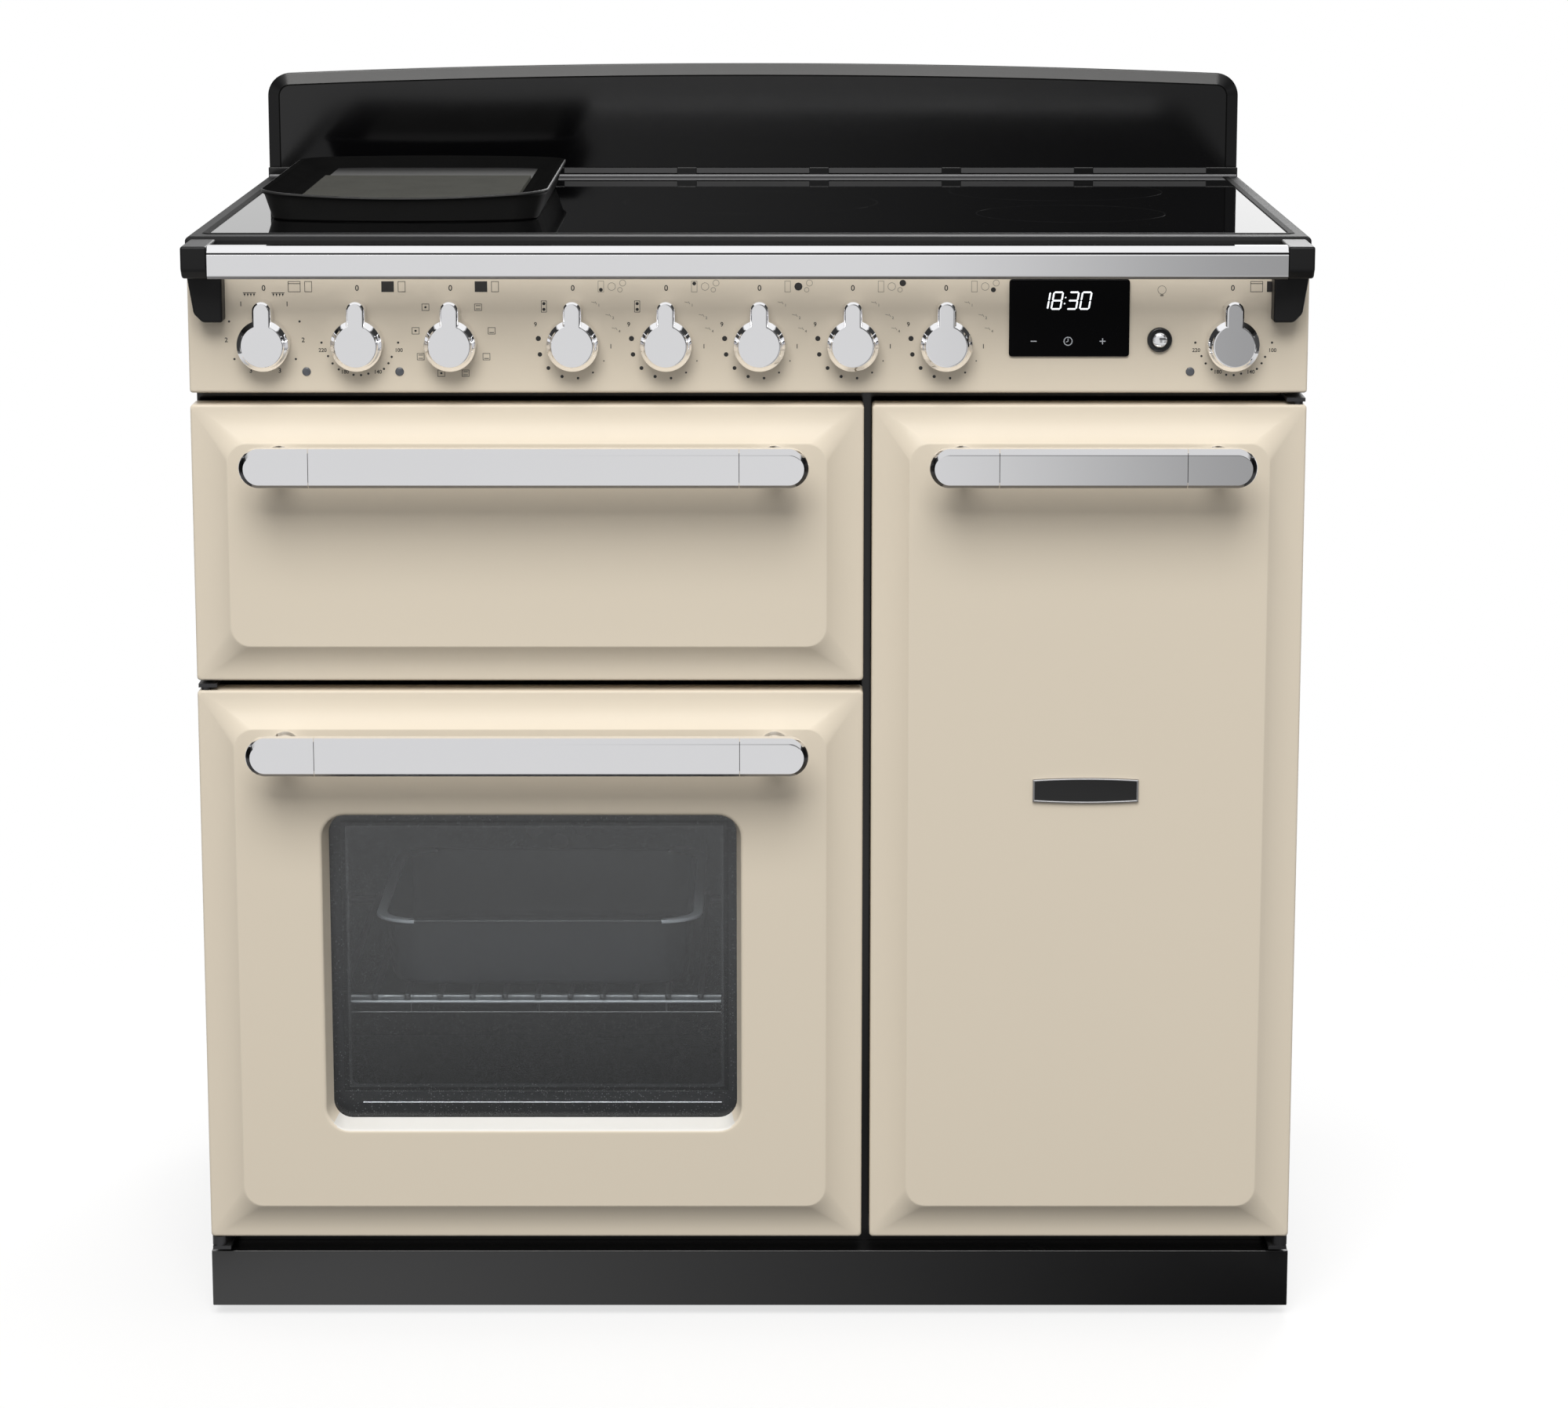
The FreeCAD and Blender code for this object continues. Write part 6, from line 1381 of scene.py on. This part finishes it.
def badgePiece():
    size = badgeSizes

    def ring(inset, y):
        half = size["width"] / 2 - inset
        flat = size["height"] / 2 - size["bow"] - inset
        points = []
        for side in (1, -1):
            for step in range(size["steps"] + 1):
                x = half * (1 - 2 * step / size["steps"])
                bulge = size["bow"] * (1 - (x / half) ** 2)
                points.append((size["x"] + side * x, y, size["z"] + side * (flat + bulge)))
        return points

    near, far, rim, sunk = size["front"], size["back"], size["rim"], size["sunk"]
    edge = ring(rim, near + sunk)
    bm = bmesh.new()
    loft(bm, [ring(0.0, far), ring(0.0, near + 1.0), ring(0.3, near + 0.3), ring(0.7, near), ring(1.1, near),
              ring(rim - 0.2, near + 0.3), edge], capEnd=False)
    loft(bm, [edge, ring(rim + 0.6, near + sunk - 0.05)], capStart=False, material=1)
    piece = pieceFrom(bm, "badgeRim", badgeSteel, blackEnamel, sharp=28.0)
    settle(piece, "tall_door", "chrome", "badge_plate")


badgePiece()
print("griddle and badge made")

# roasting tin and grill pan, pressed from sheet
panSizes = {
    "roasting_tin": {"x": -177.8, "near": -194.0, "z": 266.0, "width": 276.0, "depth": 270.0, "height": 60.0,
                     "taper": 12.0, "corner": 34.0, "wall": 1.5, "rim": 7.0, "paintedEndHighlights": True},
    "grill_pan": {"x": -177.8, "near": -204.0, "z": 575.0, "width": 400.0, "depth": 330.0, "height": 40.0,
                  "taper": 6.0, "corner": 14.0, "wall": 1.5, "rim": 3.0, "paintedEndHighlights": False},
}


def panPiece(node, material):
    size = panSizes[node]
    middle = size["near"] + size["depth"] / 2

    def ring(inset, z, corner):
        plan = roundRect(0.0, 0.0, size["width"] - 2 * inset, size["depth"] - 2 * inset, corner, 0.0)
        return laidFlat(plan, size["x"], middle, z)

    low, top = size["z"], size["z"] + size["height"]
    taper, wall, rim, corner = size["taper"], size["wall"], size["rim"], size["corner"]
    inner = taper + wall
    outside = [ring(taper + 8.0, low, corner - 6), ring(taper + 3.0, low + 1.0, corner - 3),
               ring(taper, low + 6.0, corner), ring(rim, top - 3.4, corner), ring(0.4, top - 3.0, corner)]
    edge = [outside[-1], ring(0.0, top - 2.0, corner), ring(0.3, top - 0.5, corner), ring(1.2, top, corner),
            ring(rim - 0.6, top - 0.3, corner), ring(rim + wall, top - 1.8, corner - 1)]
    inside = [edge[-1], ring(inner, low + 7.0, corner - 2), ring(inner + 3.0, low + 2.6, corner - 4),
              ring(inner + 8.0, low + wall, corner - 8)]
    bm = bmesh.new()
    loft(bm, outside, capEnd=False)
    loft(bm, edge, capStart=False, capEnd=False, material=1)
    loft(bm, inside, capStart=False)
    # the tin's rim is pale only at the two ends, a painted highlight; elsewhere it keeps the tin's enamel
    if size["paintedEndHighlights"]:
        for face in bm.faces:
            if abs(face.calc_center_median().x / mm - size["x"]) < size["width"] / 2 - corner:
                face.material_index = 0
    settle(pieceFrom(bm, node + "_pressed", material, paleSteelAndPaintedHighlight, sharp=50.0), "carcass", slotOf[node], node)


panPiece("roasting_tin", tinEnamel)
panPiece("grill_pan", ovenEnamel)

# bright strip low in the oven window, and the wires at the front of the shelf; the wires take darker metal as
# painted shade and the front bar pale steel as a painted highlight
stripSizes = {"left": -322.0, "right": -23.0, "y": -246.8, "z": 182.6, "radius": 0.7}
wireSizes = {"left": -394.0, "right": 40.0, "y": -204.5, "z": 249.2, "radius": 0.6, "top": 262.0,
             "stays": (-390.0, -284.0, -177.0, -70.0, 36.0)}
barSizes = {"left": -394.0, "right": 40.0, "y": -205.6, "z": 258.6, "radius": 1.2}


# a rod from left to right with eased ends
def rodAlong(bm, size):
    left, right, radius = size["left"], size["right"], size["radius"]
    ease, end = radius * 0.4, radius * 0.6
    levels = ((left, end), (left + ease, radius), (right - ease, radius), (right, end))
    loft(bm, [[(x, size["y"] + y, size["z"] + z) for y, z in circlePoints(reach, 12)] for x, reach in levels])


def shelfWires(bm):
    size = wireSizes
    rodAlong(bm, size)
    for stay in size["stays"]:
        loft(bm, [[(stay + x, size["y"] + y, z) for x, y in circlePoints(size["radius"], 12)]
                  for z in (size["z"], size["top"])])


stripMesh, wireMesh, barMesh = bmesh.new(), bmesh.new(), bmesh.new()
rodAlong(stripMesh, stripSizes)
shelfWires(wireMesh)
rodAlong(barMesh, barSizes)
settle(pieceFrom(stripMesh, "paneStrip", shelfChrome), "oven_door", "chrome")
settle(pieceFrom(wireMesh, "shelfRails", paintedShadeMetal), "carcass", "chrome")
settle(pieceFrom(barMesh, "shelfFrontBar", paleSteelAndPaintedHighlight), "carcass", "chrome")

# solids that keep their shape: copies with edges rounded by this width, and hidden ones with only a finish
roundedSolids = (
    ("plinth", plinthPaint, 1.0), ("side_panels", casingPaint, 0.6), ("base_tray", galvanised, 0.6),
    ("levelling_feet", gripRubber, 1.2), ("rear_rollers", gripRubber, 1.2), ("front_frame", blackEnamel, 0.6),
    ("door_hinges", hingeSteel, 0.5), ("fan_covers", ovenEnamel, 0.4), ("grill_door_liner", ovenEnamel, 0.4),
    ("oven_door_liner", ovenEnamel, 0.4), ("tall_door_liner", ovenEnamel, 0.4),
    ("door_seals", sealBraid, 1.0), ("oven_shelves", shelfSteel, 0.0), ("shelf_runners", shelfChrome, 0.0),
    ("heating_elements", elementSteel, 0.0), ("mains_inlet", blackPlastic, 1.0),
    ("oven_door_outer_glass", windowGlass, 0.6), ("oven_door_inner_glass", innerGlass, 0.6),
    ("oven_fan", fanSteel, 0.2), ("tall_oven_fan", fanSteel, 0.2), ("oven_lamps", lampGlass, 1.0))
plainSolids = (
    ("grill_liner", ovenEnamel), ("oven_liner", ovenEnamel), ("tall_oven_liner", ovenEnamel),
    ("insulation", mineralWool), ("fan_motors", fanSteel), ("control_switches", blackPlastic),
    ("hob_tray", zincSheet), ("induction_coils", coilCopper), ("circuit_boards", boardGreen))
for solidNode, solidFinish, edgeWidth in roundedSolids:
    softCopy(solidNode, solidFinish, edgeWidth)
for solidNode, solidFinish in plainSolids:
    for solidSlot in nodes[solidNode].material_slots:
        solidSlot.material = solidFinish
print("solids finished")

# back sheet with pressed beads, louvres, a terminal cover and screws
rearSizes = {"half": 448.0, "low": 20.0, "high": 891.0, "inner": 329.5, "field": 330.1, "proud": 330.95,
             "corner": 2.0, "edge": 0.3, "beadHalf": 380.0, "beadWidth": 20.0, "beadEdge": 4.0,
             "beads": (250.0, 590.0, 800.0), "sunk": 0.05, "screwIn": 11.0, "screwsAcross": 7, "screwsUp": 4}
coverSizes = {"x": 300.0, "z": 105.0, "width": 150.0, "height": 100.0, "corner": 6.0,
              "rise": 0.35, "gland": 7.0, "screwIn": 9.0, "screw": ((3.4, 0.23), (3.4, 0.48), (2.2, 0.78))}
holeSizes = {"places": ((-60.0, 700.0), (60.0, 700.0)), "radius": 4.0}
louvreSizes = {"x": (-310.0, 180.0), "z": 330.0, "width": 86.0, "drop": 9.0, "pitch": 15.0, "rows": 8,
               "columns": 2, "step": 110.0, "slot": (-2.4, -0.1)}
screwSizes = {"radius": 4.2, "height": 0.8, "slot": 0.9, "slotReach": 0.55, "slotDepths": (0.8, 1.06),
              "profile": ((1.0, 0.0), (1.0, 0.25), (0.9, 0.6), (0.62, 0.9), (0.3, 1.0))}


# a low pressed form: straight at first, then rounded over its edge
def plateRings(cx, cz, width, height, corner, start, end, edge):
    rise = end - start
    return [roundRect(cx, cz, width, height, corner, start),
            roundRect(cx, cz, width, height, corner, end - rise * 0.4),
            roundRect(cx, cz, width - edge, height - edge, corner, end - rise * 0.08),
            roundRect(cx, cz, width - 2 * edge, height - 2 * edge, corner, end)]


# a point of a screw in the back sheet, turned to the side that the screw is in
def turned(side, x, y, z):
    if side == "right":
        return (y, -x, z)
    if side == "left":
        return (-y, x, z)
    return (x, y, z)


def screwRows(name, side, rows, body="carcass"):
    size = screwSizes
    radius, height = size["radius"], size["height"]
    head, cross = bmesh.new(), bmesh.new()
    loft(head, [[turned(side, x, height * high, z) for x, z in circlePoints(radius * reach, 16)]
                for reach, high in size["profile"]])
    # a black cross on each head, as painted shade in its slot
    half, wide = radius * size["slotReach"], size["slot"] / 2
    for across, up in ((half, wide), (wide, half)):
        outline = rectangle(-across, across, -up, up)
        loft(cross, [[turned(side, x, height * share, z) for x, z in outline]
                     for share in size["slotDepths"]])
    repeatPart(name, head, zincSheet, rows, body, "zinc_sheet")
    repeatPart(name + "Slots", cross, gasketAndShadeBlack, rows, body, "zinc_sheet")


def rearSheet():
    size, cover = rearSizes, coverSizes
    field = size["field"]
    base = field - size["sunk"]
    middle, height = (size["low"] + size["high"]) / 2, size["high"] - size["low"]
    bm = bmesh.new()
    edge, bead = size["edge"], size["beadWidth"]
    loft(bm, plateRings(0.0, middle, 2 * size["half"], height, size["corner"], size["inner"], field, edge))
    for z in size["beads"]:
        loft(bm, plateRings(0.0, z, 2 * size["beadHalf"], bead, bead / 2, base, size["proud"],
                            size["beadEdge"]))
    loft(bm, plateRings(cover["x"], cover["z"], cover["width"], cover["height"], cover["corner"], base,
                        field + cover["rise"], edge))
    settle(pieceFrom(bm, "rearSheet", galvanised, sharp=50.0), "carcass", "zinc_sheet", "rear_panel")
    # black discs for the holes of the straps and the lead, as painted shade; no holes are cut
    bm = bmesh.new()
    for x, z in holeSizes["places"]:
        discMark(bm, x, z, holeSizes["radius"], (base, field + 0.03))
    discMark(bm, cover["x"], cover["z"], cover["gland"], (field + 0.3, field + 0.5), 32)
    settle(pieceFrom(bm, "rearHoles", gasketAndShadeBlack, weighted=False), "carcass", "black_plastic")


def rearLouvres():
    size = louvreSizes
    field, sunk = rearSizes["field"], rearSizes["sunk"]
    half, drop, lift = size["width"] / 2, size["drop"], rearSizes["proud"] - rearSizes["field"]
    hood = bmesh.new()
    loft(hood, [[(-half, -sunk, 0.0), (half, -sunk, 0.0), (half, -sunk, drop), (-half, -sunk, drop)],
                [(-half + 0.5, lift * 0.9, 0.0), (half - 0.5, lift * 0.9, 0.0), (half - 2.0, 0.02, drop),
                 (-half + 2.0, 0.02, drop)],
                [(-half + 5.0, lift, 0.4), (half - 5.0, lift, 0.4), (half - 6.0, lift * 0.35, drop * 0.75),
                 (-half + 6.0, lift * 0.35, drop * 0.75)]])
    # thin black plates under the hoods, as painted shade in the louvre openings
    slot = bmesh.new()
    prism(slot, rectangle(-half + 1.0, half - 1.0, *size["slot"]), -sunk, 0.04)
    rows = [((x, field, size["z"]), (0, 0, size["pitch"]), size["rows"], (size["step"], 0, 0),
             size["columns"]) for x in size["x"]]
    repeatPart("rearLouvres", hood, galvanised, rows, "carcass", "zinc_sheet")
    repeatPart("rearLouvreSlots", slot, gasketAndShadeBlack, rows, "carcass", "zinc_sheet")


def rearScrews():
    size, cover = rearSizes, coverSizes
    inset, wide, tall = size["screwIn"], size["screwsAcross"], size["screwsUp"]
    across, up = 2 * (size["half"] - inset), size["high"] - size["low"] - 2 * inset
    left, low, y = -size["half"] + inset, size["low"] + inset, size["field"] - 0.02
    run, rise = across / (wide - 1), up / (tall + 1)
    screwRows("rearScrews", "back", [((left, y, low), (run, 0, 0), wide, (0, 0, up), 2),
                                     ((left, y, low + rise), (0, 0, rise), tall, (across, 0, 0), 2)])
    reachX, reachZ = cover["width"] / 2 - cover["screwIn"], cover["height"] / 2 - cover["screwIn"]
    profile = [(radius, size["field"] + rise) for radius, rise in cover["screw"]]
    bm = bmesh.new()
    for x in (cover["x"] - reachX, cover["x"] + reachX):
        for z in (cover["z"] - reachZ, cover["z"] + reachZ):
            lathe(bm, x, z, profile, 16)
    settle(pieceFrom(bm, "coverScrews", zincSheet), "carcass", "zinc_sheet")


rearSheet()
rearLouvres()
rearScrews()

# insides of the doors: pressed fields, and a screwed frame round the inner pane
linerSizes = {"start": -233.1, "end": -231.4, "corner": 16.0, "edge": 5.0, "fields": {
    "grill_door": (-177.8, 655.0, 390.0, 108.0), "tall_door": (274.05, 425.0, 216.0, 540.0)}}
frameSizes = {"x": -177.8, "z": 304.5, "width": 308.0, "height": 219.0, "corner": 6.0, "frame": 24.0,
              "round": 0.5, "lip": 0.6}


def doorInsides():
    start, end = linerSizes["start"], linerSizes["end"]
    for body, place in linerSizes["fields"].items():
        bm = bmesh.new()
        loft(bm, plateRings(*place, linerSizes["corner"], start, end, linerSizes["edge"]))
        settle(pieceFrom(bm, body + "_field", ovenEnamel, sharp=60.0), body, slotOf[body + "_liner"])
    size = frameSizes
    wide, bend = size["frame"], size["round"]
    levels = ((wide, start), (wide, end - bend), (wide - bend, end), (size["lip"], end), (0.0, end - bend),
              (0.0, start))
    bm = bmesh.new()
    loft(bm, [roundRect(size["x"], size["z"], size["width"] + 2 * margin, size["height"] + 2 * margin,
                        size["corner"] + margin, y) for margin, y in levels], loop=True)
    settle(pieceFrom(bm, "innerPaneFrame", ovenEnamel), "oven_door", slotOf["oven_door_liner"])
    across, up = size["width"] + wide, size["height"] + wide
    corner = (size["x"] - across / 2, end - 0.05, size["z"] - up / 2)
    screwRows("paneScrews", "back", [(corner, (across / 2, 0, 0), 3, (0, 0, up), 2)], "oven_door")


doorInsides()

# screws of the side panels: up the rear edge and along the bottom
sideSizes = {"face": 447.95, "rear": 316.0, "low": 36.0, "high": 872.0, "near": -205.0, "up": 6, "along": 4}


def sideScrews(side, sign):
    size = sideSizes
    face, single = sign * size["face"], (0, 0, 0)
    rise = (size["high"] - size["low"]) / (size["up"] - 1)
    run = (size["rear"] - size["near"]) / size["along"]
    screwRows(side + "Screws", side, [
        ((face, size["rear"], size["low"]), (0, 0, rise), size["up"], single, 1),
        ((face, size["near"], size["low"]), (0, run, 0), size["along"], single, 1)])


sideScrews("right", 1)
sideScrews("left", -1)
print("back and sides dressed")

# floor: white to the camera away from the object, a grey card to the light, a pale sheen to metal and glass
floorSizes = {"radius": 2.4, "sides": 96, "paper": 0.9, "fadeStart": 0.5, "fadeEnd": 1.2, "nearWhite": 0.7,
              "bounce": 0.13, "shineStart": 0.5, "shineEnd": 1.83, "shineNear": 0.23, "shineFar": 0.745,
              "leftLift": 2.8, "rightLift": -0.95, "liftHalf": 0.5, "liftStart": 0.55, "liftEnd": 0.85}


def grey(level):
    return (level, level, level, 1.0)


# rays that metal and glass send out
def shinyRays(tree, path):
    return calc(tree, "MAXIMUM", path["Is Glossy Ray"], path["Is Transmission Ray"])


def makeFloor():
    size = floorSizes
    bm = bmesh.new()
    bmesh.ops.create_circle(bm, cap_ends=True, segments=size["sides"], radius=size["radius"])
    mesh = bpy.data.meshes.new("studioFloor")
    bm.to_mesh(mesh)
    bm.free()
    material = bpy.data.materials.new("studioPaper")
    material.use_nodes = True
    mesh.materials.append(material)
    tree = material.node_tree
    tree.nodes.clear()
    place = objectPlace(tree)
    path = addNode(tree, "LightPath").outputs
    away = addNode(tree, "VectorMath", {0: place}, operation="LENGTH").outputs["Value"]
    pale = addNode(tree, "BsdfDiffuse", {"Color": grey(size["paper"])}).outputs[0]
    white = addNode(tree, "Emission", {"Color": grey(1.0), "Strength": 1.0}).outputs[0]
    far = span(tree, away, size["fadeStart"], size["fadeEnd"], size["nearWhite"], 1.0)
    seen = addNode(tree, "MixShader", {0: far, 1: pale, 2: white}).outputs[0]
    matt = addNode(tree, "BsdfDiffuse", {"Color": grey(size["bounce"])}).outputs[0]
    across = span(tree, splitPlace(tree, place)["X"], -size["liftHalf"], size["liftHalf"], size["leftLift"],
                  size["rightLift"])
    across = calc(tree, "MULTIPLY", across, span(tree, away, size["liftStart"], size["liftEnd"], 1.0, 0.0))
    near = calc(tree, "MULTIPLY", calc(tree, "ADD", across, 1.0), size["shineNear"])
    reach = span(tree, away, size["shineStart"], size["shineEnd"])
    sheen = addNode(tree, "Emission", {"Strength": between(tree, reach, near, size["shineFar"])}).outputs[0]
    unseen = addNode(tree, "MixShader", {0: shinyRays(tree, path), 1: matt, 2: sheen}).outputs[0]
    last = addNode(tree, "MixShader", {0: path["Is Camera Ray"], 1: unseen, 2: seen}).outputs[0]
    tree.links.new(last, addNode(tree, "OutputMaterial").inputs["Surface"])
    addObject("studioFloor", mesh)


# world: white to the camera and a soft sky to the light. Metal and glass see a pale front, dim on the right
# and behind a flag, dark sides, a white box overhead and a window behind; a range gives a start and an end
worldSizes = {
    "front": 0.745, "frontRange": (-0.6, -0.3), "rightRange": (0.015, 0.115), "rightEnd": (0.25, 0.42),
    "rightTop": (0.0, 0.15), "rightDim": 0.4, "flagRange": (-0.06, 0.08), "flagLow": (-0.095, -0.065),
    "flagTop": (0.12, 0.22), "flagDim": 0.62, "behindRange": (-0.1, 0.25), "windowRange": (-0.12, 0.12),
    "window": (0.86, 1.42), "sideRange": (0.42, 0.66), "sideDim": 0.95, "sideEnd": (0.86, 0.94),
    "tiltRange": (0.22, 0.38), "tiltLeast": 0.32, "aboveRange": (0.66, 0.74), "skyRange": (-0.3, 0.5),
    "sky": (0.23, 0.6)}


def makeWorld():
    size = worldSizes
    world = bpy.data.worlds.new("studioWorld")
    scene.world = world
    world.use_nodes = True
    tree = world.node_tree
    tree.nodes.clear()
    x, y, z = splitPlace(tree, addNode(tree, "TexCoord").outputs["Generated"])
    path = addNode(tree, "LightPath").outputs

    def times(first, second):
        return calc(tree, "MULTIPLY", first, second)

    right = times(span(tree, x, *size["rightRange"], 0.0, size["rightDim"]),
                  span(tree, x, *size["rightEnd"], 1.0, 0.0))
    right = times(right, span(tree, z, *size["rightTop"], 1.0, 0.0))
    flag = times(span(tree, x, *size["flagRange"]), span(tree, z, *size["flagLow"], 0.0, size["flagDim"]))
    flag = times(flag, span(tree, z, *size["flagTop"], 1.0, 0.0))
    dim = times(span(tree, y, *size["frontRange"], 1.0, 0.0), calc(tree, "MAXIMUM", right, flag))
    ahead = calc(tree, "SUBTRACT", size["front"], dim)
    window = span(tree, x, *size["windowRange"], *size["window"])
    around = between(tree, span(tree, y, *size["behindRange"]), ahead, window)
    across = calc(tree, "ABSOLUTE", x)
    tilt = span(tree, calc(tree, "ABSOLUTE", z), *size["tiltRange"], size["tiltLeast"], 1.0)
    depth = calc(tree, "MAXIMUM", tilt, span(tree, across, *size["sideEnd"]))
    dark = times(span(tree, across, *size["sideRange"]), depth)
    level = times(around, calc(tree, "SUBTRACT", 1.0, times(dark, size["sideDim"])))
    shiny = between(tree, span(tree, z, *size["aboveRange"]), level, 1.0)
    sky = span(tree, z, *size["skyRange"], *size["sky"])
    ambient = between(tree, shinyRays(tree, path), sky, shiny)
    strength = between(tree, path["Is Camera Ray"], ambient, 1.0)
    back = addNode(tree, "Background", {"Color": grey(1.0), "Strength": strength}).outputs[0]
    tree.links.new(back, addNode(tree, "OutputWorld").inputs["Surface"])


# two soft boxes: one over the camera, a weak one behind the object
lightSizes = {
    "overheadBox": {"place": (-0.6, -7.2, 7.9), "aim": (0.0, -0.28, 0.45), "width": 6.0, "depth": 6.0,
                    "power": 860.0, "color": (1.0, 0.99, 0.965)},
    "rearBox": {"place": (0.8, 3.6, 3.2), "aim": (0.0, 0.2, 0.5), "width": 2.4, "depth": 2.0,
                "power": 110.0, "color": (1.0, 1.0, 1.0)}}


def addLight(name, size):
    light = bpy.data.lights.new(name, "AREA")
    light.shape = "RECTANGLE"
    light.size = size["width"]
    light.size_y = size["depth"]
    light.energy = size["power"]
    light.color = size["color"]
    lamp = addObject(name, light)
    lamp.location = size["place"]
    lamp.rotation_euler = (Vector(size["aim"]) - Vector(size["place"])).to_track_quat("-Z", "Y").to_euler()


# camera at the photograph's place, with its tilt and lens
cameraSizes = {"place": (0.0286, -3.8931, 1.2488), "tilt": 11.293, "lens": 104.24, "sensor": 36.0}


def addCamera():
    size = cameraSizes
    data = bpy.data.cameras.new("photoCamera")
    data.sensor_fit = "HORIZONTAL"
    data.sensor_width = size["sensor"]
    data.lens = size["lens"]
    camera = addObject("photoCamera", data)
    camera.location = size["place"]
    camera.rotation_euler = (math.radians(90.0 - size["tilt"]), 0.0, 0.0)
    scene.camera = camera


makeFloor()
makeWorld()
for lightName, lightSize in lightSizes.items():
    addLight(lightName, lightSize)
addCamera()
scene.view_settings.view_transform = "Standard"
print("studio made")
